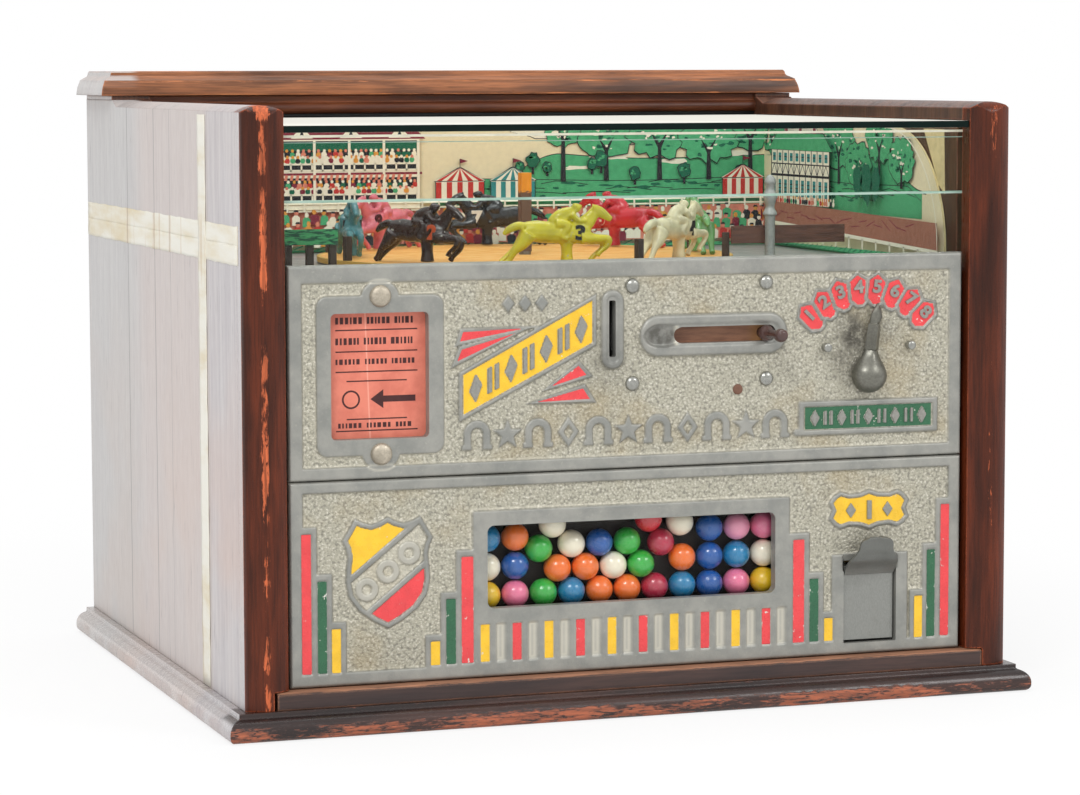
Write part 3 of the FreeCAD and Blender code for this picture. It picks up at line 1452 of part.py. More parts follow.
def turntable():
    """Flat disc, pegs between the runners, hub and spindle."""
    body = doc.addObject("PartDesign::Body", "turntable")
    disc = body_sketch(body, "XY_Plane", "disc", disc_top - disc_t)
    draw_outline(disc, ring_of(0, 0, disc_r, 60))
    draw_circle(disc, 0, 0, spindle_r + running_gap)
    pad(body, disc, disc_t, "disc_pad")
    body.Placement = FreeCAD.Placement(V(float(disc_x), float(disc_y), 0), FreeCAD.Rotation())
    keep("turntable", body)
    pegs = []
    for index in range(8):
        if index == 1:
            continue
        angle = float(first_angle) + 22.5 + 45 * index
        peg = Part.makeBox(float(peg_w), float(peg_w), float(peg_h),
                           V(float(disc_r) - 3.9, -float(peg_w) / 2, float(disc_top)))
        peg.rotate(V(0, 0, 0), Z_AXIS, angle)
        peg.translate(V(float(disc_x), float(disc_y), 0))
        pegs.append(peg)
    keep("turntable_pegs", shaped("turntable_pegs", Part.makeCompound(pegs)))
    hub()
    spindle_z = plate_z - 3
    rod = solid_rod("spindle_rod", spindle_r, (disc_x, disc_y, spindle_z), disc_top + 1.5 - spindle_z)
    seat = doc.addObject("Part::Prism", "spindle_collar")
    seat.Polygon = 8
    seat.Circumradius = 6
    bind(seat, "Height", lever_z - kicker_drop - 1.2 - plate_z - plate_t)
    for axis, place in zip("xyz", (disc_x, disc_y, plate_z + plate_t)):
        bind(seat, "Placement.Base." + axis, as_size(place))
    keep("spindle", fuse("spindle", [rod, seat]))


def hub():
    """Tube and flange under the disc, on a ratchet wheel of sixteen hooked teeth."""
    bore = float(spindle_r + running_gap)
    low = float(lever_z - kicker_drop) - 1.0
    high = float(disc_top - disc_t)
    outer = float(ratchet_r)
    root = outer - 3.6
    teeth = []
    for index in range(16):
        for radius, share in ((outer, 0), (root, 0.02)):
            angle = 2 * math.pi * (index + share) / 16
            teeth.append((radius * math.cos(angle), radius * math.sin(angle)))
    wheel = extruded("XY", teeth, low, low + float(ratchet_t))
    tube = turned([(6.2, low + 1), (6.2, high - 0.7), (16, high - 0.7), (16, high)], 14)
    way = Part.makeCylinder(bore, high - low + 2, V(0, 0, low - 1))
    shape = wheel.fuse(tube).cut(way)
    shape.translate(V(float(disc_x), float(disc_y), 0))
    keep("turntable_hub", shaped("turntable_hub", shape))


def slab_polygon(points, low, high):
    return extruded("XZ", points, low, high)


def runner_shape():
    """Cast racing horse and rider, facing +X, its feet at zero."""
    trunk = [(-26.3, 13.8), (-22.4, 17.4), (-15.5, 19.6), (8, 19.2), (13.5, 23.6), (17.4, 27.6),
             (22.2, 25.2), (26.7, 20.6), (24.6, 18.8), (19.4, 21.0), (16.8, 16.0), (13.0, 11.0),
             (-14.0, 11.0), (-18.4, 15.8)]
    barrel = [(-17.5, 15.0), (-12, 18.4), (8, 18.2), (14.4, 15.6), (11.5, 10.6), (-14, 10.6)]
    hind_near = [(-11, 14.4), (-13.0, 9.4), (-19.4, 6.2), (-23.2, 1.2), (-26.7, 0), (-18.6, 14.4)]
    hind_far = [(-11, 14.4), (-10.4, 8.4), (-16.6, 5.0), (-23.0, 0), (-17.6, 13.4)]
    fore_near = [(14.6, 14.4), (12.0, 9.8), (20.6, 9.2), (13.8, 0.2), (18.4, 0.6), (24.4, 9.8),
                 (21.4, 12.6)]
    pillar = [(1.6, 0), (7.4, 0), (6.2, 11), (2.4, 11)]
    rider = [(-3.6, 18), (7.6, 17.6), (11.6, 21.2), (6.6, 22.2), (9.6, 27.6), (7.6, 28.4),
             (-3.0, 22.0)]
    leg = [(-0.6, 19.6), (4.8, 19.2), (5.4, 11.4), (1.4, 11.4)]
    parts = [slab_polygon(barrel, -3.6, 3.6), slab_polygon(hind_near, -3.3, -0.3),
             slab_polygon(hind_far, 0.3, 3.3), slab_polygon(fore_near, -3.0, 0.2),
             slab_polygon(pillar, -2.2, 2.2), slab_polygon(rider, -2.6, 2.6),
             slab_polygon(leg, -4.4, 4.4)]
    return slab_polygon(trunk, -2.2, 2.2).multiFuse(parts).removeSplitter()


def runners():
    """Eight runners nose to tail on the turntable, running anticlockwise."""
    runner = runner_shape()
    if abs(float(ring_r) - 86) > 1e-6:
        runner.scale(float(ring_r) / 86)
    for index in range(8):
        angle = float(first_angle) + 45 * index
        a = math.radians(angle)
        place = V(float(disc_x) + float(ring_r) * math.cos(a),
                  float(disc_y) + float(ring_r) * math.sin(a), float(disc_top))
        feature = shaped("horse_%d" % (index + 1), runner)
        feature.Placement = FreeCAD.Placement(place, FreeCAD.Rotation(Z_AXIS, angle + 90))
        keep("horse_%d" % (index + 1), feature)


def finish_post():
    """Square judge's post on the end of the spindle."""
    half = 2.6
    low = disc_top + 1.5
    keep("finish_post", solid_box("finish_post", (disc_x - half, disc_x + half),
                                  (disc_y - half, disc_y + half), (low, 244.3)))


def click_strip():
    """Springy strip that the pegs flick, on a turned post with a finial."""
    y = float(disc_y) - 56.0
    clear = 0.8
    x0 = float(disc_x) + math.sqrt((float(disc_r) + clear) ** 2 - 56.0 ** 2)
    x1 = 135.0
    strip = solid_box("click_strip", (x0, x1), (y - 0.6, y + 0.6), (210.6, 219.2))
    keep("click_strip", strip)
    z0 = float(floor_top)
    profile = [(4.2, 0), (4.2, 2), (2.6, 3.5), (2.6, 22), (3.5, 24), (2.2, 28), (3.2, 31),
               (3.2, 34), (2.3, 36.5), (2.9, 39), (1.6, 41.8), (0, 42.7)]
    post = turned(profile, 10, V(94.6, y - 2.6, z0))
    strip_room = Part.makeBox(x1 - x0 + 2, 6, 8.6, V(x0 - 1, y - 0.6, 210.6))
    keep("click_post", shaped("click_post", post.cut(strip_room)))


def track_fence():
    """Short hedge board on three square posts at the left."""
    y = -97.0
    z0 = floor_top
    parts = []
    for index, x in enumerate((-149.6, -139.4, -128.6)):
        parts.append(solid_box("fence_post_%d" % index, (x - 1.6, x + 1.6), (y - 1.6, y + 1.6),
                               (z0, 216.6)))
    board = solid_box("hedge_board", (-156, -126.5), (y - 2.4, y - 1.6), (215, 222.2))
    keep("track_fence", fuse("track_fence", parts + [board]))


def backdrop():
    """Printed card: a back with two wings whose front edges are rounded off."""
    x = float(inner_x) - 0.4
    t = float(card_t)
    y_card = float(y_lid - card_gap)
    z0 = float(floor_top) + 0.2
    z1 = float(card_top)
    curve = float(card_curve)
    y_top = y_card - float(wing_top)
    y_low = y_top - curve
    bend = curve * (1 - math.sqrt(0.5))
    wing = [(y_card, z0), (y_low, z0), (y_low, z1 - curve), (y_low + bend, z1 - bend, y_top, z1),
            (y_card, z1)]
    back = Part.makeBox(2 * x, t, z1 - z0, V(-x, y_card, z0))
    right = extruded("YZ", wing, x - t, x)
    card = back.multiFuse([right, mirrored(right)])
    slip = extruded("YZ", [(-103, 265.6), (-125, 265.6), (-126.5, 235), (-120, 239)],
                    float(inner_x) - 0.35, float(inner_x))
    keep("backdrop_card", shaped("backdrop_card", Part.makeCompound([card, slip])))


def build():
    base()
    side_panels()
    posts()
    front_rail()
    lid()
    rear_partition()
    top_glass()
    front_glass()
    back_frame()
    back_door()
    hinges()
    door_lock()
    lower_panel()
    upper_panel()
    panel_fasteners()
    instruction_card()
    lever_group()
    kicker()
    mechanism_plate()
    coin_chute()
    cash_box()
    pointer()
    gum_parts()
    race_floor()
    turntable()
    runners()
    finish_post()
    click_strip()
    track_fence()
    backdrop()


def check_and_write():
    doc.recompute()
    for obj in doc.Objects:
        if "Invalid" in obj.State or "Error" in obj.State:
            raise RuntimeError("%s is %s" % (obj.Label, obj.State))
    os.makedirs("parts", exist_ok=True)
    for name, obj in nodes.items():
        shape = obj.Shape
        if shape.isNull() or not shape.isValid():
            raise RuntimeError(name + " has no valid shape")
        if not shape.Solids:
            raise RuntimeError(name + " has no solid")
        shape.exportStep("parts/%s.step" % name)
    print("%d nodes" % len(nodes))


build()
check_and_write()
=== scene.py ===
"""Looks of the counter-top race machine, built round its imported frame."""
import math
import random

import bmesh
import bpy
import numpy as np
from mathutils import Matrix, Vector
from mathutils.geometry import tessellate_polygon


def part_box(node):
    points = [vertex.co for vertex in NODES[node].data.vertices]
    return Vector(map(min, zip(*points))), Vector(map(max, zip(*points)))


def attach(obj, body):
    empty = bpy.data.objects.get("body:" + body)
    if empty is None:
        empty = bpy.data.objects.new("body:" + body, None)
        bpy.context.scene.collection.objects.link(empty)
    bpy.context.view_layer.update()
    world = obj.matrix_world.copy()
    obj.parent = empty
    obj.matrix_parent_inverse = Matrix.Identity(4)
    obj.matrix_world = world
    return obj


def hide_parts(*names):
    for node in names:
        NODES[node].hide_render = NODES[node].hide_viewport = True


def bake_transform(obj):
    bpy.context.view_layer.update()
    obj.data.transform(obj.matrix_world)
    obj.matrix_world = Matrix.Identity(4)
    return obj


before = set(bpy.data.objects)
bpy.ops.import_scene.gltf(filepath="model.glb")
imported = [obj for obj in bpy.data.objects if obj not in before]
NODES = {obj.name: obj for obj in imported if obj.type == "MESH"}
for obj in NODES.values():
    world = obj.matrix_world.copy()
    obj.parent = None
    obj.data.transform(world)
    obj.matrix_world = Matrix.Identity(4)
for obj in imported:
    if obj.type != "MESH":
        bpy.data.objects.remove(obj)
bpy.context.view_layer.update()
MM = 0.001

# Places shared with the CAD source: millimetres, degrees, and (X, Z) on the front
GROUND_Y = -148.3
FACE_Y = -149.5
BACK_Y = -144.5
PANEL_X = 164.2
LOWER_Z = (20.3, 112.5)
UPPER_Z = (112.9, 208.5)
SIDE_X = -186.0
DISC = (-10.0, -23.0)
DISC_TOP = 204.5
RING_R = 86.0
FIRST_ANGLE = 170.7
PICK = (115.7, 152.5)
LEVER = (64.0, 173.0)
FLAP_X = (104.8, 130.2)
FLAP_AXIS = (-142.9, 61.5)
BALL = 12.8
SPRING_AXIS = (-137.4, 173.0)

# Joints between the side boards, in metres along Y
BOARD_JOINTS = (0.0722, 0.0135, -0.0192, -0.0935)


# Meshes

class Solid:
    """Gathers vertices and faces for one piece."""

    def __init__(self):
        self.points = []
        self.faces = []
        self.marks = []

    def add(self, points, faces, mark=0, place=None):
        start = len(self.points)
        for p in points:
            p = Vector(p)
            self.points.append(place @ p if place is not None else p)
        for face in faces:
            self.faces.append([start + i for i in face])
            self.marks.append(mark)
        return self

    def piece(self, name, body, looks, slot=None, smooth=35, bevel=None, weld=False):
        mesh = bpy.data.meshes.new(name)
        mesh.from_pydata([p * MM for p in self.points], [], self.faces)
        for look in looks:
            mesh.materials.append(look)
        for polygon, mark in zip(mesh.polygons, self.marks):
            polygon.material_index = mark
        mesh.validate()
        return finish_piece(mesh, name, body, smooth, bevel, weld)


def finish_piece(mesh, name, body, smooth=35, bevel=None, weld=True):
    """Turns normals outwards, sets smoothing by angle, and makes the object."""
    bm = bmesh.new()
    bm.from_mesh(mesh)
    if weld:
        bmesh.ops.remove_doubles(bm, verts=bm.verts, dist=1e-6)
    bmesh.ops.recalc_face_normals(bm, faces=bm.faces)
    bm.to_mesh(mesh)
    bm.free()
    obj = bpy.data.objects.new(name, mesh)
    bpy.context.scene.collection.objects.link(obj)
    if bevel:
        width, segments = bevel
        edge = obj.modifiers.new("edge", "BEVEL")
        edge.width = width * MM
        edge.segments = segments
        edge.limit_method = "ANGLE"
        edge.angle_limit = math.radians(40)
        edge.harden_normals = False
    if smooth:
        mesh.shade_smooth()
        mesh.set_sharp_from_angle(angle=math.radians(smooth))
    if body:
        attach(obj, body)
    return obj


def ring_faces(rings, sides):
    """Faces of a run of rings with the same number of points, closed at both ends."""
    faces = []
    for i in range(rings - 1):
        for k in range(sides):
            n = (k + 1) % sides
            faces.append([i * sides + k, i * sides + n, (i + 1) * sides + n, (i + 1) * sides + k])
    faces.append(list(range(sides))[::-1])
    faces.append([(rings - 1) * sides + k for k in range(sides)])
    return faces


def grid_faces(rows, columns, start=0):
    """Faces of a grid whose points run row by row."""
    wide = columns + 1
    return [[a, a + 1, a + wide + 1, a + wide] for i in range(rows)
            for a in range(start + i * wide, start + i * wide + columns)]


def circle(count, radius=1.0, cx=0.0, cy=0.0):
    """Points round a middle."""
    return [(cx + radius * math.cos(2 * math.pi * k / count),
             cy + radius * math.sin(2 * math.pi * k / count)) for k in range(count)]


def diamond(cx, cz, wide, tall):
    """Lozenge from half its width and half its height."""
    return [(cx - wide, cz), (cx, cz - tall), (cx + wide, cz), (cx, cz + tall)]


def lathe(profile, sides=40):
    """Turned shape round Z from (radius, height) steps."""
    points = []
    faces = []
    rings = []
    for radius, height in profile:
        if radius < 1e-6:
            rings.append([len(points)])
            points.append((0, 0, height))
            continue
        rings.append(list(range(len(points), len(points) + sides)))
        points += [(x, y, height) for x, y in circle(sides, radius)]
    for low, high in zip(rings, rings[1:]):
        for k in range(sides):
            n = (k + 1) % sides
            if len(low) == 1 and len(high) == 1:
                continue
            if len(low) == 1:
                faces.append([low[0], high[n], high[k]])
            elif len(high) == 1:
                faces.append([low[k], low[n], high[0]])
            else:
                faces.append([low[k], low[n], high[n], high[k]])
    for ring, flip in ((rings[0], True), (rings[-1], False)):
        if len(ring) > 1:
            faces.append(ring[::-1] if flip else ring)
    return points, faces


def curved(profile, steps=6):
    """A smooth run of profile points through the given ones."""
    result = []
    n = len(profile)
    for i in range(n - 1):
        p0 = profile[max(i - 1, 0)]
        p1 = profile[i]
        p2 = profile[i + 1]
        p3 = profile[min(i + 2, n - 1)]
        for s in range(steps):
            t = s / steps
            result.append(tuple(
                0.5 * (2 * b + (c - a) * t + (2 * a - 5 * b + 4 * c - d) * t * t
                       + (3 * b - a - 3 * c + d) * t ** 3)
                for a, b, c, d in zip(p0, p1, p2, p3)))
    result.append(tuple(profile[-1]))
    return result


def tube(path, radii, sides=16, flat=1.0):
    """Tube along a path in the XZ plane; flat scales its thickness along Y."""
    across = Vector((0, 1, 0))
    points = []
    path = [Vector(p) for p in path]
    count = len(path)
    for i, p in enumerate(path):
        ahead = path[min(i + 1, count - 1)] - path[max(i - 1, 0)]
        up = ahead.cross(across).normalized()
        for k in range(sides):
            a = 2 * math.pi * k / sides
            offset = up * math.cos(a) + across * math.sin(a) * flat
            points.append(p + offset * radii[i])
    return points, ring_faces(count, sides)


def slab(outline, low, high):
    """Flat plate between two depths along Z, from an outline in X and Y."""
    n = len(outline)
    points = [(x, y, low) for x, y in outline] + [(x, y, high) for x, y in outline]
    faces = [[i, (i + 1) % n, n + (i + 1) % n, n + i] for i in range(n)]
    flat = [Vector((x, y, 0)) for x, y in outline]
    for a, b, c in tessellate_polygon([flat]):
        faces.append([a, b, c])
        faces.append([n + c, n + b, n + a])
    return points, faces


def box_shape(x0, x1, y0, y1, z0, z1):
    """Points and faces of a plain box."""
    points = [(x, y, z) for x in (x0, x1) for y in (y0, y1) for z in (z0, z1)]
    faces = [[0, 1, 3, 2], [4, 6, 7, 5], [0, 4, 5, 1], [2, 3, 7, 6], [0, 2, 6, 4], [1, 5, 7, 3]]
    return points, faces


def rectangle(x0, x1, y0, y1):
    return [(x0, y0), (x1, y0), (x1, y1), (x0, y1)]


def lettering(text, size, depth, stretch=1.0, weight=0.0):
    """A plain number as points and faces, centred, facing +Z."""
    curve = bpy.data.curves.new("number", "FONT")
    curve.body = text
    curve.size = size
    curve.extrude = depth
    curve.offset = weight
    curve.bevel_depth = depth * 0.25
    curve.align_x = "CENTER"
    curve.align_y = "CENTER"
    holder = bpy.data.objects.new("number", curve)
    bpy.context.scene.collection.objects.link(holder)
    graph = bpy.context.evaluated_depsgraph_get()
    mesh = bpy.data.meshes.new_from_object(holder.evaluated_get(graph))
    points = [(v.co.x * stretch, v.co.y, v.co.z) for v in mesh.vertices]
    faces = [list(p.vertices) for p in mesh.polygons]
    low = [min(p[i] for p in points) for i in (0, 1)]
    high = [max(p[i] for p in points) for i in (0, 1)]
    middle = [(a + b) / 2 for a, b in zip(low, high)]
    points = [(x - middle[0], y - middle[1], z) for x, y, z in points]
    bpy.data.objects.remove(holder)
    bpy.data.curves.remove(curve)
    bpy.data.meshes.remove(mesh)
    return points, faces


def facing(x, y, z, turn=0.0):
    """Place for a shape drawn in XY whose Z looks out of the front."""
    return (Matrix.Translation((x, y, z)) @ Matrix.Rotation(math.radians(90), 4, "X")
            @ Matrix.Rotation(turn, 4, "Z"))


# Materials

class Look:
    """A material with short ways to add and join nodes."""

    def __init__(self, name, **settings):
        self.material = bpy.data.materials.new(name)
        self.material.use_nodes = True
        self.tree = self.material.node_tree
        self.shader = self.tree.nodes["Principled BSDF"]
        self.place = self.add("TexCoord").outputs["Object"]
        for key, value in settings.items():
            self.set(key.replace("_", " "), value)

    def add(self, kind, **settings):
        node = self.tree.nodes.new("ShaderNode" + kind)
        for key, value in settings.items():
            setattr(node, key, value)
        return node

    def wire(self, value, socket):
        if hasattr(value, "is_output"):
            self.tree.links.new(value, socket)
        elif isinstance(value, tuple) and len(value) == 3 and socket.type == "RGBA":
            socket.default_value = value + (1,)
        else:
            socket.default_value = value

    def set(self, key, value):
        self.wire(value, self.shader.inputs[key])

    def stretched(self, scale):
        node = self.add("Mapping")
        self.wire(self.place, node.inputs["Vector"])
        node.inputs["Scale"].default_value = scale
        return node.outputs[0]

    def noise(self, scale, detail=4.0, rough=0.55, warp=0.0, stretch=(1, 1, 1)):
        node = self.add("TexNoise")
        self.wire(self.stretched(stretch), node.inputs["Vector"])
        node.inputs["Scale"].default_value = scale
        node.inputs["Detail"].default_value = detail
        node.inputs["Roughness"].default_value = rough
        node.inputs["Distortion"].default_value = warp
        return node.outputs["Fac"]

    def fibres(self, stretch, detail=4.0, rough=0.55, warp=0.0):
        """Noise with its own scale along each axis."""
        return self.noise(1.0, detail, rough, warp, stretch)

    def cells(self, scale, feature, stretch=(1, 1, 1)):
        node = self.add("TexVoronoi", feature=feature)
        self.wire(self.stretched(stretch), node.inputs["Vector"])
        node.inputs["Scale"].default_value = scale
        return node.outputs["Distance"]

    def maths(self, kind, a, b=0.0, clamp=False):
        node = self.add("Math", operation=kind, use_clamp=clamp)
        self.wire(a, node.inputs[0])
        self.wire(b, node.inputs[1])
        return node.outputs[0]

    def times(self, a, b, clamp=False):
        return self.maths("MULTIPLY", a, b, clamp)

    def plus(self, a, b, clamp=False):
        return self.maths("ADD", a, b, clamp)

    def less(self, a, b):
        return self.maths("SUBTRACT", a, b)

    def most(self, a, b):
        return self.maths("MAXIMUM", a, b)

    def distance_to(self, value, place):
        """How far a value is from a place, on either side."""
        return self.maths("ABSOLUTE", self.less(value, place))

    def length(self, a, b):
        return self.maths("SQRT", self.plus(self.times(a, a), self.times(b, b)))

    def span(self, value, low, high, start=0.0, end=1.0, smooth=True):
        """Maps low..high to start..end, held at both ends."""
        node = self.add("MapRange", interpolation_type="SMOOTHSTEP" if smooth else "LINEAR")
        self.wire(value, node.inputs["Value"])
        for key, amount in (("From Min", low), ("From Max", high), ("To Min", start),
                            ("To Max", end)):
            node.inputs[key].default_value = amount
        return node.outputs["Result"]

    def blend(self, share, a, b, kind="MIX"):
        node = self.add("Mix", data_type="RGBA", blend_type=kind)
        self.wire(share, node.inputs[0])
        self.wire(a, node.inputs[6])
        self.wire(b, node.inputs[7])
        return node.outputs[2]

    def axis(self, name):
        node = self.add("SeparateXYZ")
        self.wire(self.place, node.inputs[0])
        return node.outputs["XYZ".index(name)]

    def side(self, name):
        """One part of the surface normal, in world axes."""
        node = self.add("SeparateXYZ")
        self.wire(self.add("NewGeometry").outputs["Normal"], node.inputs[0])
        return node.outputs["XYZ".index(name)]

    def painted(self, name):
        """What the mesh holds under a name at each vertex."""
        return self.add("Attribute", attribute_name=name).outputs["Fac"]

    def mixed(self, share, a, b):
        """One shader at share 0 and the other at share 1."""
        node = self.add("MixShader")
        for value, socket in zip((share, a, b), node.inputs):
            self.wire(value, socket)
        return node.outputs[0]

    def relief(self, height, distance, strength=1.0, over=None):
        node = self.add("Bump")
        self.wire(height, node.inputs["Height"])
        node.inputs["Distance"].default_value = distance * MM
        node.inputs["Strength"].default_value = strength
        if over is not None:
            self.wire(over, node.inputs["Normal"])
        return node.outputs[0]

    def eased(self, radius, samples=6):
        """A normal that rounds the sharp edges off."""
        node = self.add("Bevel", samples=samples)
        node.inputs["Radius"].default_value = radius * MM
        return node.outputs[0]

    def edges(self, radius, samples=6):
        """1 near a sharp edge and 0 away from it."""
        dot = self.add("VectorMath", operation="DOT_PRODUCT")
        self.wire(self.eased(radius, samples), dot.inputs[0])
        self.wire(self.add("NewGeometry").outputs["Normal"], dot.inputs[1])
        return self.times(self.less(1.0, dot.outputs["Value"]), 3.5, True)


def srgb(r, g, b):
    """A colour as seen in a photograph, made linear."""
    def one(c):
        c /= 255
        return c / 12.92 if c <= 0.04045 else ((c + 0.055) / 1.055) ** 2.4
    return (one(r), one(g), one(b))


def along(axis, fine, long_way):
    """Stretch that draws noise out along one axis."""
    return tuple(long_way if a == axis else fine for a in "XYZ")


def wood(name, axis="X", dark=(52, 30, 24), mid=(84, 48, 34), bare=(190, 98, 60), wear=0.45,
         edge_wear=1.0, extra=None, glare=None, gloss=0.35, chip=(700, 110), ragged=0.08,
         shine=0.5):
    """Old varnished wood: long grain, worn edges down to bare orange, chips and scratches."""
    look = Look(name, Specular_IOR_Level=shine)
    grain = look.fibres(along(axis, 900, 45), 6, 0.6, 0.3)
    broad = look.fibres(along(axis, 90, 12), 3, 0.5)
    colour = look.blend(look.span(broad, 0.3, 0.7), srgb(*dark), srgb(*mid))
    colour = look.blend(look.span(grain, 0.35, 0.72, 0.0, 0.55), colour, srgb(
        *[c * 0.62 for c in dark]))
    chips = look.fibres(along(axis, *chip), 7, 0.68, 0.6)
    patches = look.fibres(along(axis, 110, 30), 3, 0.5)
    worn = look.times(look.edges(2.0), edge_wear)
    if extra:
        worn = look.most(worn, extra(look))
    worn = look.plus(worn, look.span(patches, 0.52, 0.8, 0.0, 0.13))
    mask = look.span(look.plus(look.times(chips, 0.9), worn),
                     1.25 - wear, 1.25 + ragged - wear)
    bare_tone = look.blend(look.span(grain, 0.3, 0.7), srgb(*bare),
                           srgb(*[c * 0.66 for c in bare]))
    colour = look.blend(mask, colour, bare_tone)
    # A painted glare goes over the wood's colour here when one is given.
    if glare:
        colour = glare(look, colour, grain)
    look.set("Base Color", colour)
    rough = look.span(chips, 0.3, 0.7, gloss * 0.8, gloss * 1.3)
    look.set("Roughness", look.plus(rough, look.times(mask, 0.3), True))
    height = look.less(look.times(grain, 0.3), mask)
    look.set("Normal", look.relief(height, 0.18, 0.6, look.eased(0.9)))
    return look.material


def left_glare(look, colour, grain):
    """Painted glare: pale, hazed varnish colour on the faces that look out to the left and on top
    faces at the left end, with streaks and dark board joints showing through.
    """
    outer = look.span(look.axis("X"), -0.165, -0.155, 1.0, 0.0)
    left = look.times(outer, look.span(look.side("X"), -0.9, -0.55, 1.0, 0.0))
    up = look.times(look.span(look.side("Z"), 0.3, 0.7, 0.0, 0.7),
                    look.span(look.axis("X"), -0.176, -0.170, 1.0, 0.0))
    up = look.times(up, look.span(look.axis("Y"), -0.146, -0.140))
    left = look.most(left, up)
    streaks = look.fibres((60, 260, 14), 5, 0.62)
    cloud = look.noise(9.0, 3, 0.5)
    pale = look.blend(look.span(streaks, 0.3, 0.7), srgb(188, 183, 186), srgb(208, 204, 204))
    low = look.span(look.axis("Z"), 0.06, 0.2, 0.75, 0.1)
    pink = look.times(look.span(cloud, 0.42, 0.62), low)
    pale = look.blend(pink, pale, srgb(208, 184, 174))
    middle = look.times(look.span(look.axis("Y"), -0.098, -0.088, 0.0, 0.55),
                        look.span(look.axis("Y"), 0.030, 0.074, 1.0, 0.0))
    pale = look.blend(middle, pale, srgb(212, 198, 190))
    pale = look.blend(look.span(look.axis("Y"), 0.030, 0.074, 0.0, 0.5), pale,
                      srgb(198, 198, 194))
    dashes = look.fibres((90, 620, 42), 3, 0.6)
    pale = look.blend(look.span(dashes, 0.63, 0.74, 0, 0.55), pale, srgb(128, 118, 120))
    pale = look.blend(look.span(grain, 0.60, 0.78, 0, 0.35), pale, srgb(136, 126, 128))
    for joint, share in zip(BOARD_JOINTS, (0.7, 0.65, 0.3, 0.25)):
        off = look.distance_to(look.axis("Y"), joint)
        line = look.times(look.span(off, 0.0003, 0.0008, share, 0.0),
                          look.span(look.axis("Z"), 0.0125, 0.0135))
        pale = look.blend(line, pale, srgb(96, 88, 90))
    return look.blend(look.times(left, 0.94), colour, pale)


def post_crest(look):
    """Bare wood along the crest of each post and at its top."""
    out = look.maths("ABSOLUTE", look.axis("X"))
    off = look.distance_to(out, 0.1765)
    patch = look.fibres((40, 40, 26), 3, 0.6)
    crest = look.times(look.span(off, 0.0004, 0.0042, 0.44, 0.0),
                       look.span(patch, 0.36, 0.60, 0.4, 1.0))
    top = look.times(look.span(look.axis("Z"), 0.262, 0.278, 0.0, 0.5),
                     look.span(off, 0.002, 0.006, 1.0, 0.0))
    kept = look.axis("X")
    top = look.times(top, look.span(kept, -0.01, 0.01, 1.0, 0.45))
    crest = look.times(crest, look.span(kept, -0.01, 0.01, 1.0, 0.72))
    return look.most(crest, top)


def moulding_wear(look):
    """Bare wood over the lower, rounded part of the base moulding."""
    low = look.span(look.axis("Z"), 0.0050, 0.0092, 0.42, 0.05)
    patch = look.fibres((20, 60, 60), 3, 0.5)
    return look.times(low, look.span(patch, 0.34, 0.55, 0.62, 1.0))


def lid_wear(look):
    """Thin lines of bare wood along the lid's ridge and lower front edge."""
    ridge = look.distance_to(look.axis("Z"), 0.2886)
    low = look.span(look.axis("Z"), 0.2820, 0.2836, 0.34, 0.0)
    return look.most(look.span(ridge, 0.0002, 0.0011, 0.34, 0.0), low)


def rail_wear(look):
    """Pale wood along the top edge of the front rail."""
    return look.span(look.axis("Z"), 0.0188, 0.0196, 0.0, 0.55)


def metal(name, colour, rough=0.35, metallic=0.75, grain=0.12, brushed=None, dirt=0.4):
    """Plated or rolled sheet with fine brushing, dull patches and grime."""
    look = Look(name)
    stretch = brushed or (1, 1, 1)
    lines = look.noise(900.0, 3, 0.6, stretch=stretch)
    patches = look.noise(60.0, 4, 0.6)
    base = srgb(*colour)
    tone = look.blend(look.span(lines, 0.3, 0.7), base, tuple(c * 0.78 for c in base))
    tone = look.blend(look.span(patches, 0.5, 0.78, 0, dirt), tone, tuple(c * 0.45 for c in base))
    look.set("Base Color", tone)
    look.set("Metallic", metallic)
    look.set("Roughness", look.span(patches, 0.3, 0.7, rough * 0.8, rough * 1.3))
    look.set("Normal", look.relief(lines, 0.03, grain, look.eased(0.35, 4)))
    return look.material


def enamel(name, colour, chip=0.63, spread=380.0, rough=0.28):
    """Hard gloss paint in a cast recess, chipped to whitish metal at its edges."""
    look = Look(name, Specular_IOR_Level=0.5)
    base = srgb(*colour)
    chips = look.noise(spread, 4, 0.6)
    edge = look.edges(0.8)
    mask = look.span(look.plus(chips, look.times(edge, 0.13)), chip, chip + 0.03)
    tone = look.blend(look.span(look.noise(140.0), 0.35, 0.7), base,
                      tuple(c * 0.86 for c in base))
    look.set("Base Color", look.blend(mask, tone, srgb(222, 220, 210)))
    look.set("Roughness", look.span(chips, 0.3, 0.7, rough * 0.8, rough * 1.5))
    look.set("Normal", look.relief(look.less(look.noise(500.0), mask), 0.12, 0.5))
    return look.material


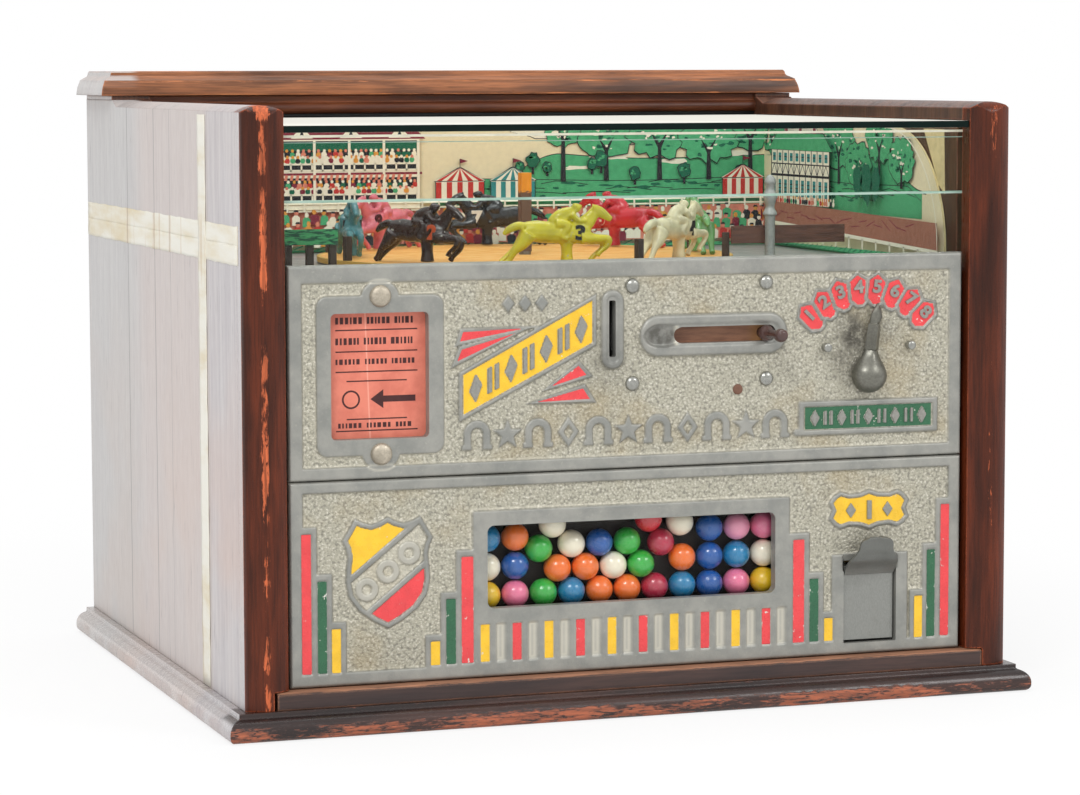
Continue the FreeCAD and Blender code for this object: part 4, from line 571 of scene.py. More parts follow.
def cast_metal(name):
    """Cast aluminium: smooth where an attribute says so, and stippled elsewhere."""
    look = Look(name)
    smooth = look.painted("smooth")
    ground = look.less(1.0, smooth)
    worms = look.cells(820.0, "SMOOTH_F1")
    grit = look.noise(1150.0, 3, 0.6, 0.5)
    bumps = look.plus(look.times(worms, 0.8), look.times(grit, 0.9))
    # Pale crests and dark pits of the stipple: painted highlight and shade on its relief.
    stipple = look.blend(look.span(bumps, 0.52, 0.74), srgb(208, 204, 190), srgb(178, 174, 157))
    stipple = look.blend(look.span(bumps, 0.80, 1.02), stipple, srgb(144, 141, 129))
    stain = look.noise(26.0, 3, 0.55)
    stipple = look.blend(look.span(stain, 0.5, 0.75, 0, 0.45), stipple, srgb(170, 150, 108))
    flat = look.blend(look.span(look.noise(70.0, 5, 0.65), 0.3, 0.7),
                      srgb(138, 139, 134), srgb(160, 159, 152))
    # Fine pale flecks on the smooth metal: painted highlights.
    flat = look.blend(look.span(look.noise(600.0, 4, 0.7), 0.6, 0.75, 0, 0.5), flat,
                      srgb(186, 183, 170))
    tone = look.blend(smooth, stipple, flat)
    # Painted highlight where the panel's mesh marks it.
    lip = look.painted("lip")
    tone = look.blend(look.times(lip, 0.75), tone, srgb(216, 211, 194))
    # Darkening that the panel's mesh marks: painted shadow of the pointer, painted shade in the
    # lever's scoop, and darker patches elsewhere.
    shade = look.painted("darkening")
    darkening = look.times(shade, look.span(look.noise(240.0, 4, 0.6), 0.3, 0.62, 0.35, 1.0))
    tone = look.blend(darkening, tone, srgb(66, 62, 54))
    look.set("Base Color", tone)
    look.set("Metallic", 0.35)
    look.set("Roughness", look.span(grit, 0.3, 0.7, 0.38, 0.5))
    height = look.times(bumps, ground)
    fine = look.times(look.noise(1500.0, 2, 0.6), 0.12)
    look.set("Normal", look.relief(look.less(fine, height), 0.55, 1.0))
    return look.material


def gloss_paint(name, colour, fleck=None, rough=0.20, chip=0.70):
    """Enamel on a small casting: darker in random patches, with a few bare specks."""
    look = Look(name, Specular_IOR_Level=0.55)
    base = srgb(*colour)
    tone = look.blend(look.span(look.noise(160.0), 0.3, 0.75), base,
                      tuple(c * 0.7 for c in base))
    mask = look.span(look.plus(look.noise(420.0, 3, 0.6), look.times(look.edges(0.7), 0.1)),
                     chip, chip + 0.03)
    look.set("Base Color", look.blend(mask, tone, fleck or srgb(176, 172, 160)))
    look.set("Roughness", look.span(look.noise(240.0), 0.3, 0.7, rough * 0.7, rough * 1.5))
    look.set("Normal", look.relief(look.noise(330.0, 3, 0.6), 0.25, 0.5))
    return look.material


def candy(name, colour):
    """Sugar shell with faint mottling and a soft gloss."""
    look = Look(name, Specular_IOR_Level=0.6, Coat_Weight=0.6, Coat_Roughness=0.08)
    base = srgb(*colour)
    mottle = look.noise(330.0, 4, 0.6)
    look.set("Base Color", look.blend(look.span(mottle, 0.35, 0.72), base,
                                      tuple(min(c * 0.92 + 0.01, 1) for c in base)))
    look.set("Roughness", look.span(mottle, 0.3, 0.7, 0.22, 0.36))
    look.set("Normal", look.relief(look.noise(700.0), 0.05, 0.3))
    return look.material


def clear(name, edge=(14, 46, 40), face="Y", grazing_glare=0.0):
    """Window glass: clear through its faces, dark green along its cut edges.

    A face seen at a flat angle is made pale by a painted reflection.
    """
    look = Look(name, Specular_IOR_Level=0.12)
    across = look.span(look.maths("ABSOLUTE", look.side(face)), 0.7, 0.9)
    facing_away = look.add("LayerWeight")
    facing_away.inputs["Blend"].default_value = 0.28
    shine = look.times(facing_away.outputs["Fresnel"], 0.16)
    through = look.add("BsdfTransparent")
    look.wire((0.985, 0.995, 0.99), through.inputs["Color"])
    glint = look.add("BsdfGlossy")
    glint.inputs["Roughness"].default_value = 0.02
    surface = look.mixed(shine, through.outputs[0], glint.outputs[0])
    if grazing_glare:
        painted_reflection = look.add("BsdfDiffuse")
        look.wire(srgb(232, 230, 221), painted_reflection.inputs["Color"])
        flat = look.span(facing_away.outputs["Facing"], 0.80, 0.93, 0.0, grazing_glare)
        surface = look.mixed(flat, surface, painted_reflection.outputs[0])
    rim = look.noise(120.0, 3, 0.6)
    look.set("Base Color", look.blend(look.span(rim, 0.3, 0.7), srgb(*edge),
                                      srgb(*[min(c * 1.3, 255) for c in edge])))
    look.set("Roughness", 0.12)
    both = look.mixed(across, look.shader.outputs[0], surface)
    look.wire(both, look.tree.nodes["Material Output"].inputs["Surface"])
    return look.material


def plain(name, colour, rough=0.6, vary=0.85, scale=200.0, stretch=(1, 1, 1), bump=0.15,
          spec=0.4):
    """Matt painted or printed surface with slight mottling."""
    look = Look(name, Specular_IOR_Level=spec)
    base = srgb(*colour)
    mottle = look.noise(scale, 5, 0.6, stretch=stretch)
    look.set("Base Color", look.blend(look.span(mottle, 0.3, 0.72), base,
                                      tuple(c * vary for c in base)))
    look.set("Roughness", look.span(mottle, 0.3, 0.7, rough * 0.85, min(rough * 1.15, 1.0)))
    look.set("Normal", look.relief(mottle, 0.1, bump))
    return look.material


def apply(node, look):
    """Gives a CAD node its material."""
    materials = NODES[node].data.materials
    if not len(materials):
        materials.append(look)
    for index in range(len(materials)):
        materials[index] = look


# Camera, lights, floor

PHOTO_WIDTH = 1080
FOCAL_PIXELS = 3434.9
SENSOR = 36
EYE = (-557.4, -1607.9, 293.9)
YAW, PITCH, ROLL = 19.30, 5.44, 0.13
SOFT_LIGHT = 0.62
FLOOR_HALF = 6
FLOOR_GAP = 0.0004


def camera():
    """The photograph's camera, as solved from the edges of the cabinet."""
    data = bpy.data.cameras.new("camera")
    data.lens = FOCAL_PIXELS / PHOTO_WIDTH * SENSOR
    data.sensor_width = SENSOR
    data.clip_end = 20
    cam = bpy.data.objects.new("camera", data)
    yaw, pitch, roll = (math.radians(a) for a in (YAW, PITCH, ROLL))
    ahead = Vector((math.sin(yaw) * math.cos(pitch), math.cos(yaw) * math.cos(pitch),
                    -math.sin(pitch)))
    right = Vector((math.cos(yaw), -math.sin(yaw), 0))
    up = right.cross(ahead)
    turned = Matrix.Rotation(roll, 3, ahead)
    right = turned @ right
    up = turned @ up
    matrix = Matrix((right, up, -ahead)).transposed().to_4x4()
    matrix.translation = Vector(EYE) * MM
    cam.matrix_world = matrix
    bpy.context.scene.collection.objects.link(cam)
    bpy.context.scene.camera = cam


def lamp(name, place, target, size, power):
    data = bpy.data.lights.new(name, "AREA")
    data.shape = "RECTANGLE"
    data.size, data.size_y = size
    data.energy = power
    obj = bpy.data.objects.new(name, data)
    obj.location = place
    obj.rotation_euler = (Vector(target) - Vector(place)).to_track_quat("-Z", "Y").to_euler()
    bpy.context.scene.collection.objects.link(obj)


def white_where_seen(tree, plain_shader, share):
    """Shader mix whose second input shows by a share where the camera looks, straight or mirrored."""
    nodes, links = tree.nodes, tree.links
    path = nodes.new("ShaderNodeLightPath")

    def joined(kind, a, b):
        node = nodes.new("ShaderNodeMath")
        node.operation = kind
        for value, socket in zip((a, b), node.inputs):
            if isinstance(value, float):
                socket.default_value = value
            else:
                links.new(value, socket)
        return node.outputs[0]

    seen = joined("MAXIMUM", path.outputs["Is Camera Ray"], path.outputs["Is Glossy Ray"])
    seen = joined("MAXIMUM", seen, path.outputs["Is Transmission Ray"])
    mix = nodes.new("ShaderNodeMixShader")
    links.new(joined("MULTIPLY", seen, share), mix.inputs[0])
    links.new(plain_shader, mix.inputs[1])
    return mix


def studio():
    """Three lamps, a soft world and a floor that both look white to the camera."""
    scene = bpy.context.scene
    scene.view_settings.view_transform = "Standard"
    world = bpy.data.worlds.new("studio")
    scene.world = world
    world.use_nodes = True
    tree = world.node_tree
    tree.nodes.clear()
    soft, white = (tree.nodes.new("ShaderNodeBackground") for _ in range(2))
    for node, strength in ((soft, SOFT_LIGHT), (white, 1.0)):
        node.inputs["Color"].default_value = (1.0, 1.0, 1.0, 1)
        node.inputs["Strength"].default_value = strength
    mix = white_where_seen(tree, soft.outputs[0], 1.0)
    tree.links.new(white.outputs[0], mix.inputs[2])
    out = tree.nodes.new("ShaderNodeOutputWorld")
    tree.links.new(mix.outputs[0], out.inputs["Surface"])
    lamp("key", (-1.3, -1.9, 2.2), (0, -0.05, 0.15), (0.9, 0.7), 34)
    lamp("fill", (1.5, -1.8, 1.7), (0, -0.05, 0.15), (0.9, 0.7), 17)
    lamp("top", (0.0, 0.3, 2.3), (0, 0, 0.1), (1.4, 1.0), 16)
    floor = bpy.data.meshes.new("floor")
    far = FLOOR_HALF
    floor.from_pydata([(-far, -far, 0), (far, -far, 0), (far, far, 0), (-far, far, 0)], [],
                      [(0, 1, 2, 3)])
    obj = bpy.data.objects.new("floor", floor)
    obj.location = (0, 0, -FLOOR_GAP)
    scene.collection.objects.link(obj)
    look = Look("floor_paper", Base_Color=(0.88, 0.88, 0.88), Roughness=0.9, Specular_IOR_Level=0.1)
    glow = look.add("Emission")
    x, y = look.axis("X"), look.axis("Y")
    away = look.length(x, y)
    mix = white_where_seen(look.tree, look.shader.outputs[0],
                           look.span(away, 0.30, 0.75, 0.82, 1.0))
    look.wire(glow.outputs[0], mix.inputs[2])
    look.wire(mix.outputs[0], look.tree.nodes["Material Output"].inputs["Surface"])
    floor.materials.append(look.material)


# Cast panels

def in_box(x, z, x0, x1, z0, z1, r=0.0):
    """Distance into a box with rounded corners; negative outside."""
    qx = np.abs(x - (x0 + x1) / 2) - (x1 - x0) / 2 + r
    qz = np.abs(z - (z0 + z1) / 2) - (z1 - z0) / 2 + r
    outside = np.hypot(np.maximum(qx, 0), np.maximum(qz, 0))
    return r - outside - np.minimum(np.maximum(qx, qz), 0)


def in_outline(x, z, outline):
    """Distance into a closed outline; negative outside."""
    best = np.full(x.shape, 1e9)
    inside = np.zeros(x.shape, bool)
    count = len(outline)
    for i in range(count):
        ax, az = outline[i]
        bx, bz = outline[(i + 1) % count]
        dx, dz = bx - ax, bz - az
        t = np.clip(((x - ax) * dx + (z - az) * dz) / (dx * dx + dz * dz), 0, 1)
        best = np.minimum(best, np.hypot(x - ax - t * dx, z - az - t * dz))
        crosses = (az > z) != (bz > z)
        if abs(dz) > 1e-9:
            inside ^= crosses & (x < ax + (z - az) * dx / dz)
    return np.where(inside, best, -best)


def rise(distance, width=0.9):
    """Soft step from 0 to 1 across an edge."""
    t = np.clip(distance / width + 0.5, 0, 1)
    return t * t * (3 - 2 * t)


class Panel:
    """A cast panel as a fine height field, with real openings and a back."""

    def __init__(self, z0, z1, step=0.6):
        x0, x1 = -PANEL_X, PANEL_X
        nx = int(round((x1 - x0) / step)) + 1
        nz = int(round((z1 - z0) / step)) + 1
        self.xs = np.linspace(x0, x1, nx)
        self.zs = np.linspace(z0, z1, nz)
        self.x, self.z = np.meshgrid(self.xs, self.zs, indexing="ij")
        self.step = step
        self.edge = in_box(self.x, self.z, x0, x1, z0, z1)
        self.height, self.smooth, self.lip, self.darkening = (np.zeros(self.x.shape) for _ in range(4))
        self.hole = np.full(self.x.shape, -1e9)

    def box(self, *edges, r=0.0):
        return in_box(self.x, self.z, *edges, r=r)

    def outline(self, points):
        return in_outline(self.x, self.z, points)

    def disc(self, cx, cz, r):
        return r - np.hypot(self.x - cx, self.z - cz)

    def obround(self, x0, x1, z0, z1):
        """Distance into a slot with round ends."""
        return self.box(x0, x1, z0, z1, r=min(x1 - x0, z1 - z0) / 2)

    def lift(self, distance, height, width=1.0, smooth=1.0):
        self.height = np.maximum(self.height, height * rise(distance, width))
        self.smooth = np.maximum(self.smooth, smooth * rise(distance + 0.15, 0.7))

    def sink(self, distance, level, width=0.8, smooth=None):
        share = rise(distance, width)
        self.height = self.height * (1 - share) + level * share
        if smooth is not None:
            mask = rise(distance, 0.6)
            self.smooth = self.smooth * (1 - mask) + smooth * mask

    def bright(self, distance, width=0.8, amount=1.0):
        """Paints a narrow highlight along an edge."""
        self.lip = np.maximum(self.lip, amount * np.clip(1 - np.abs(distance) / width, 0, 1))

    def darken_round(self, cx, cz, rx, rz, amount):
        """Lays a darkening round a place."""
        fall = np.exp(-((self.x - cx) / rx) ** 2 - ((self.z - cz) / rz) ** 2)
        self.darkening = np.maximum(self.darkening, amount * fall)

    def open(self, distance):
        """Cuts the panel through where the distance is positive."""
        self.hole = np.maximum(self.hole, distance)

    def piece(self, name, look):
        self.height -= 1 - rise(self.edge - 0.3, 1.6)
        x, z, d = self.x.copy(), self.z.copy(), self.hole
        gx, gz = np.gradient(np.maximum(d, -3.0), self.xs, self.zs)
        size = np.maximum(np.hypot(gx, gz), 1e-6)
        near = (d < 0.8 * self.step) & (d > -0.3 * self.step)
        x = np.where(near, x - gx / size * d, x)
        z = np.where(near, z - gz / size * d, z)
        state = np.where(near, 1, np.where(d > 0, 2, 0))
        y = GROUND_Y - self.height
        nx, nz = x.shape
        ids = np.arange(nx * nz).reshape(nx, nz)
        corner = [ids[:-1, :-1], ids[1:, :-1], ids[1:, 1:], ids[:-1, 1:]]
        quads = np.stack([c.ravel() for c in corner], 1)
        flags = state.ravel()[quads]
        depth = d.ravel()[quads].mean(1)
        gone = (flags == 2).any(1) | ((flags >= 1).all(1) & (depth > 0))
        faces = quads[~gone].tolist()
        for quad, flag in zip(quads[gone], flags[gone]):
            if (flag == 2).sum() == 1 and (flag == 0).any():
                faces.append([int(q) for q, f in zip(quad, flag) if f != 2])
        points = np.stack([x.ravel(), y.ravel(), z.ravel()], 1) * MM
        bm = bmesh.new()
        used = np.zeros(nx * nz, bool)
        for face in faces:
            used[face] = True
        layers = {key: bm.verts.layers.float.new(key) for key in ("smooth", "lip", "darkening")}
        values = {key: getattr(self, key).ravel() for key in layers}
        verts = {}
        for i in np.nonzero(used)[0].tolist():
            v = bm.verts.new(points[i])
            for key, layer in layers.items():
                v[layer] = float(values[key][i])
            verts[i] = v
        for face in faces:
            bm.faces.new([verts[i] for i in face])
        rim = [e for e in bm.edges if e.is_boundary]
        made = bmesh.ops.extrude_edge_only(bm, edges=rim)["geom"]
        back_edges = [g for g in made if isinstance(g, bmesh.types.BMEdge)]
        for g in made:
            if isinstance(g, bmesh.types.BMVert):
                g.co.y = BACK_Y * MM
                g[layers["smooth"]] = 1.0
                g[layers["lip"]] = 0.0
        flat = [e for e in back_edges if all(abs(v.co.y - BACK_Y * MM) < 1e-7 for v in e.verts)]
        bmesh.ops.triangle_fill(bm, edges=flat, use_beauty=False, use_dissolve=False)
        mesh = bpy.data.meshes.new(name)
        bm.to_mesh(mesh)
        bm.free()
        mesh.materials.append(look)
        return finish_piece(mesh, name, "cabinet", 60, weld=False)


def bar_steps():
    """Coloured bars on the left of the lower panel: two groups of three."""
    outer = [(-158.9, 4.9, 26.2, 89.5), (-151.6, 4.6, 26.2, 68.2), (-145.1, 4.5, 26.2, 46.4)]
    inner = [(-98.9, 4.7, 27.0, 38.2), (-91.6, 4.9, 27.0, 57.2), (-84.3, 6.0, 27.0, 76.0)]
    return [(x, x + w, low, high) for x, w, low, high in outer + inner]


def flipped(bars):
    """The same bars mirrored to the right half."""
    return [(-x1, -x0, low, high) for x0, x1, low, high in bars]


# Height of the castings' raised work over their ground
RAISED = 1.2

# The shield on the left: its middle, the slope of its band, and its right half, out from the middle
SHIELD_X = -118.7
SHIELD_Z = 71.0
BAND_NORMAL = (-0.62, 0.785)
SHIELD = [(0, 45.2), (6.5, 48.6), (13.5, 53.6), (18.2, 60.0), (19.6, 67.0), (19.2, 73.0),
          (18.6, 78.0), (19.4, 82.0), (21.2, 85.5), (18.6, 89.6), (15.2, 95.4), (11.5, 93.4),
          (7.6, 92.4), (3.6, 93.6)]


def shield(inset=0.0):
    """The shield's outline, drawn in by an inset."""
    points = SHIELD + [(0, 95.6)] + [(-u, v) for u, v in reversed(SHIELD[1:])]
    return drawn_in([(SHIELD_X + u, v) for u, v in points], inset)


def drawn_in(points, inset):
    """Moves each corner of an outline inwards by the same distance from both its edges."""
    if not inset:
        return points
    area = sum(a[0] * b[1] - b[0] * a[1] for a, b in zip(points, points[1:] + points[:1]))
    sign = 1 if area > 0 else -1
    result = []
    n = len(points)
    for i in range(n):
        a, b, c = Vector(points[i - 1]), Vector(points[i]), Vector(points[(i + 1) % n])
        n1 = Vector((-(b - a).y, (b - a).x)).normalized() * sign
        n2 = Vector((-(c - b).y, (c - b).x)).normalized() * sign
        bisect = (n1 + n2).normalized()
        cosine = max(bisect.dot(n1), 0.4)
        p = b + bisect * inset / cosine
        result.append((p.x, p.y))
    return result


def cut_by(points, a, b, c):
    """The part of an outline where a*x + b*z > c."""
    result = []
    n = len(points)
    for i in range(n):
        p, q = points[i], points[(i + 1) % n]
        sp = a * p[0] + b * p[1] - c
        sq = a * q[0] + b * q[1] - c
        if sp >= 0:
            result.append(p)
        if sp * sq < 0:
            t = sp / (sp - sq)
            result.append((p[0] + t * (q[0] - p[0]), p[1] + t * (q[1] - p[1])))
    return result


SIGN_X = 117.0
SIGN = [(4.4, 80.6), (10.0, 81.2), (14.6, 79.8), (17.6, 81.4), (20.6, 84.6), (18.8, 88.5),
        (20.6, 92.4), (17.6, 95.8), (14.6, 97.4), (10.0, 96.0), (4.4, 96.4)]


def sign(inset=0.0):
    """Outline of the badge over the gum gate, drawn in by an inset."""
    points = [(0, 79.0)] + SIGN + [(0, 98.0)] + [(-u, v) for u, v in reversed(SIGN)]
    return drawn_in([(SIGN_X + u, v) for u, v in points], inset)


# The slots in a row under the gum window
ROW = [(-75.3 + 7.66 * k, -70.7 + 7.66 * k, 27.2, 44.6) for k in range(20)]

# Materials that several pieces share, filled in by build
ENAMEL = {}
LOOKS = {}


def enamels():
    ENAMEL["red"] = enamel("enamel_red", (236, 72, 76), chip=0.665)
    ENAMEL["yellow"] = enamel("enamel_yellow", (250, 200, 48), chip=0.70)
    ENAMEL["green"] = enamel("enamel_green", (46, 102, 70), chip=0.67)
    ENAMEL["bare"] = enamel("enamel_bare", (178, 178, 168), chip=0.56, spread=500.0)


def inlays(name, colour, outlines, depth):
    """Enamel fillings that stand a little below the metal round them."""
    solid = Solid()
    for outline in outlines:
        solid.add(*slab(outline, 0.05, depth), 0, facing(0, GROUND_Y + 0.3, 0))
    return solid.piece(name, "cabinet", [ENAMEL[colour]], "cast_aluminium", 40, (0.3, 2))


def lower_panel(look):
    p = Panel(*LOWER_Z)
    bars = bar_steps()
    right = flipped(bars)
    right[0] = (154.0, 158.9, 26.2, 89.5)
    everything = bars + right
    foot, top = LOWER_Z
    for edges in ((-PANEL_X, PANEL_X, foot, 26.5), (-PANEL_X, -158, foot, top),
                  (158, PANEL_X, foot, top), (-PANEL_X, PANEL_X, 107.4, top)):
        p.lift(p.box(*edges), RAISED)
    for x0, x1, low, high in everything:
        p.lift(p.box(x0 - 2.4, x1 + 2.4, 21, high + 3.0, r=0.6), RAISED)
    p.lift(p.box(-78.8, 76.6, 21, 96.2, r=1.0), RAISED)
    # Painted highlights along the edges of the raised frames, the gate surround and the bars.
    p.bright(p.box(-79.6, 77.4, 21, 97.0, r=1.0), 0.8, 0.8)
    p.lift(p.box(98.0, 137.0, 21, 67.8, r=0.6), RAISED)
    p.bright(p.box(97.3, 137.7, 21, 68.5, r=0.6), 0.6, 0.5)
    for x0, x1, low, high in everything:
        p.bright(p.box(x0 - 3.0, x1 + 3.0, 15, high + 3.7, r=0.6), 0.6, 0.45)
    p.lip *= (p.height < 0.9)
    for x0, x1, low, high in everything + ROW:
        p.sink(p.box(x0, x1, low, high, r=0.5), 0.2)
    for x0, x1, low, high in ROW:
        # Painted highlight inside the plain slots.
        p.bright(p.box(x0 + 1.0, x1 - 1.6, low + 1.4, high - 0.8), 1.8, 1.0)
    p.sink(p.box(FLAP_X[0] - 1.0, FLAP_X[1] + 1.0, 60.0, 68.2, r=0.4), -0.6, 0.7, 1.0)
    p.lift(p.outline(shield()), RAISED)
    p.sink(p.outline(shield(2.2)), 0.3, smooth=0.0)
    across, up = BAND_NORMAL
    off = (p.x - SHIELD_X) * across + (p.z - SHIELD_Z) * up
    for side in (-1, 1):
        p.lift(np.minimum(1.3 - np.abs(off - side * 8.6), p.outline(shield(1.0))), RAISED)
    middle = 7.4 - np.abs(off)
    # Painted highlight on the shield's middle band.
    p.lip = np.maximum(p.lip, 0.55 * np.clip(np.minimum(middle, p.outline(shield(2.4))), 0, 1))
    for k in (-1, 0, 1):
        cx, cz = SHIELD_X + 12.6 * k * up, SHIELD_Z - 12.6 * k * across
        ring = 1.5 - np.abs(np.hypot(p.x - cx, p.z - cz) - 3.8)
        p.lift(ring, 1.1, 0.7)
    p.lift(p.outline(sign()), RAISED)
    p.sink(p.outline(sign(1.9)), 0.3, smooth=0.0)
    # Painted highlight round the badge and the shield.
    for points in (sign(-0.9), shield(-0.9)):
        p.bright(p.outline(points), 0.7, 0.6)
    p.open(p.box(-71.9, 69.1, 51.6, 89.4, r=3.2))
    p.open(p.box(FLAP_X[0] - 0.8, FLAP_X[1] + 0.8, 25.6, 64.7, r=0.6))
    # Darker patches over the gum gate and under the shield.
    for spot in ((117.5, 70, 16, 7, 0.25), (-118, 34, 20, 8, 0.12)):
        p.darken_round(*spot)
    body = p.piece("lower_cast_panel", look)
    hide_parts("lower_casting")
    return bars, right


def lower_paint(bars, right):
    outlines = {"red": [], "green": [], "yellow": [], "bare": []}
    order = ("red", "green", "yellow", "yellow", "green", "red")
    for group in (bars, right):
        for (x0, x1, low, high), colour in zip(group, order):
            outlines[colour].append(drawn_in(rectangle(x0, x1, low, high), 0.15))
    for index, (x0, x1, low, high) in enumerate(ROW):
        colour = ("yellow", "bare", "red", "bare")[index % 4]
        outlines[colour].append(drawn_in(rectangle(x0, x1, low, high), 0.15))
    inner = shield(2.3)
    a, b = BAND_NORMAL
    middle = a * SHIELD_X + b * SHIELD_Z
    outlines["yellow"].append(cut_by(inner, a, b, middle + 9.9))
    outlines["red"].append(cut_by(inner, -a, -b, -middle + 9.9))
    outlines["yellow"].append(sign(2.0))
    for colour, shapes in outlines.items():
        depth = 0.45 if colour == "bare" else 0.85
        inlays("panel_paint_" + colour, colour, shapes, depth)
    solid = Solid()
    solid.add(*lettering("1", 11.5, 0.5, 1.1, 0.35), 0, facing(SIGN_X, GROUND_Y - 0.75, 88.4))
    for side in (-1, 1):
        solid.add(*slab(diamond(0, 0, 2.6, 3.6), 0.4, 1.2), 0,
                  facing(SIGN_X + side * 9.4, GROUND_Y, 88.4))
    solid.piece("sign_numeral", "cabinet", [LOOKS["smooth_cast"]], "cast_aluminium", 40, (0.2, 2))


def plaque(cx, cz, angle, wide, tall):
    """Number plate: a shield of seven corners turned towards the pointer's axis."""
    flat = [(-0.5, -0.3), (-0.16, -0.5), (0.16, -0.5), (0.5, -0.3), (0.5, 0.28), (0.0, 0.5),
            (-0.5, 0.28)]
    turn = angle - math.pi / 2
    result = []
    for a, b in flat:
        x, y = a * wide, b * tall
        result.append((cx + x * math.cos(turn) - y * math.sin(turn),
                       cz + x * math.sin(turn) + y * math.cos(turn)))
    return result


def arc_places():
    """Middles and directions of the eight number plates round the pointer."""
    angles = [math.radians(90 + (3.5 - k) * 13.3) for k in range(8)]
    return [(PICK[0] + 39.6 * math.cos(a), PICK[1] + 39.6 * math.sin(a), a) for a in angles]


BANNER = [(-83.3, 139.5), (-20.9, 170.7), (-20.9, 190.4), (-83.3, 158.1)]
RAYS = [[(-83.0, 177.5), (-50.0, 178.6), (-84.5, 172.8)],
        [(-83.6, 169.6), (-55.0, 177.2), (-86.0, 163.8)],
        [(-42.0, 151.0), (-27.8, 160.8), (-23.6, 156.2)],
        [(-49.5, 144.4), (-25.6, 150.4), (-22.0, 145.0)]]


def banner_marks():
    """Raised pattern of lozenges and strokes along the banner."""
    (left, foot), (right, end) = BANNER[:2]
    slope = (end - foot) / (right - left)
    shapes = []
    for k in range(7):
        x = -77.0 + 8.4 * k
        z = 148.8 + (x - left) * slope
        if k % 2 == 0:
            shapes.append([(u, v + (u - x) * slope) for u, v in diamond(x, z, 2.9, 6.2)])
        else:
            for s in (-1.7, 1.7):
                u, v = x + s, z + s * slope
                shapes.append([(u - 0.9, v - 6.0), (u + 0.9, v - 5.2), (u + 0.9, v + 6.0),
                               (u - 0.9, v + 5.2)])
    return shapes


def plate_marks():
    """Lozenges and pairs of strokes on the green plate."""
    shapes = []
    for k in range(9):
        x = 89.0 + 6.85 * k
        if k % 2 == 0:
            shapes.append(diamond(x, 132.4, 2.2, 3.8))
        else:
            shapes += [rectangle(x + s - 0.6, x + s + 0.6, 129.2, 135.6) for s in (-1.5, 1.5)]
    return shapes


def star(cx, cz, r):
    """Five-pointed star, point up."""
    result = []
    for k in range(10):
        a = math.pi / 2 + math.pi * k / 5
        radius = r if k % 2 == 0 else r * 0.42
        result.append((cx + radius * math.cos(a), cz + radius * math.sin(a)))
    return result


def upper_panel(look):
    p = Panel(*UPPER_Z)
    foot, top = UPPER_Z
    for edges in ((-PANEL_X, -157.7, foot, top), (157.7, PANEL_X, foot, top),
                  (-PANEL_X, PANEL_X, foot, 118.6), (-PANEL_X, PANEL_X, 200.6, top)):
        p.lift(p.box(*edges), RAISED)
    # Painted highlights along the frame's inner edge here and round the card below.
    p.bright(p.box(-157.2, 157.2, 119.1, 200.2, r=1.5), 0.7, 0.7)
    card = np.maximum(p.box(-151.2, -92.0, 123.4, 194.8, r=5.0),
                      p.box(-130.6, -112.6, 117.2, 201.2, r=8.0))
    p.lift(card, 1.3, 1.3)
    p.bright(card + 0.5, 0.8, 0.75)
    p.lift(p.outline(drawn_in(BANNER, -1.6)), RAISED, 0.9)
    p.sink(p.outline(BANNER), 0.35, smooth=0.2)
    for marks in banner_marks():
        p.lift(p.outline(marks), 1.1, 0.7)
    for ray in RAYS:
        p.lift(p.outline(drawn_in(ray, -1.5)), 1.0, 0.8)
        p.sink(p.outline(ray), 0.3)
    for k in range(3):
        p.lift(p.outline(diamond(-61.5 + 8.0 * k, 189.5, 3.1, 3.9)), 1.1, 0.8)
    raised_row(p)
    boss = p.obround(-17.0, -6.2, 158.6, 194.6)
    p.lift(boss, 1.9, 1.6)
    p.sink(boss - 2.6, 0.9, 1.0)
    bezel = p.obround(1.6, 74.6, 163.6, 182.6)
    p.lift(bezel, 2.2, 2.6)
    p.sink(p.obround(5.2, 71.0, 168.4, 178.2), 1.1, 1.6)
    scoop = 1 - ((p.x - 12.5) / 9.5) ** 2 - ((p.z - 173.0) / 5.4) ** 2
    p.height -= 3.4 * np.clip(scoop, 0, 1) ** 0.7
    # Painted shade in the lever's scoop.
    p.darkening = np.maximum(p.darkening, 0.75 * np.clip(scoop * 1.6, 0, 1))
    # Painted highlight at the left end of the lever slot.
    p.bright(np.where(np.abs(p.z - 173.2) < 4.4, 19.6 - p.x, 5.0), 1.5)
    p.open(p.obround(18.8, 69.0, 169.2, 176.8))
    p.open(p.box(-13.2, -10.0, 164.0, 189.8, r=0.4))
    p.open(p.box(-144.6, -99.2, 130.8, 187.0, r=2.2))
    for cx, cz, a in arc_places():
        p.lift(p.outline(plaque(cx, cz, a, 11.2, 17.2)), 1.1, 0.8)
        p.sink(p.outline(plaque(cx, cz, a, 8.7, 14.7)), 0.35, 0.7, 0.3)
    p.lift(p.box(80.9, 152.0, 124.4, 140.4, r=0.6), RAISED, 0.9)
    p.sink(p.box(83.6, 149.3, 126.9, 137.9, r=0.4), 0.35, 0.7, 0.2)
    for marks in plate_marks():
        p.lift(p.outline(marks), 1.1, 0.7 if marks[0][1] == 132.4 else 0.6)
    p.open(p.disc(*PICK, 2.6))
    # Painted shadow of the pointer left of its neck, and darker patches right of it, by the boss and
    # by the bezel's end.
    for spot in ((108.5, 171, 8, 12, 1.0), (105, 163, 8, 12, 0.75), (126, 172, 7, 8, 0.35),
                 (-15, 160, 14, 14, 0.3), (68, 162, 10, 12, 0.15)):
        p.darken_round(*spot)
    p.darkening *= (1 - 0.75 * p.smooth * (p.x > 20))
    # More painted shade in the lever's scoop.
    p.darken_round(12.5, 173, 8, 4.4, 0.6)
    body = p.piece("upper_cast_panel", look)
    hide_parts("upper_casting")


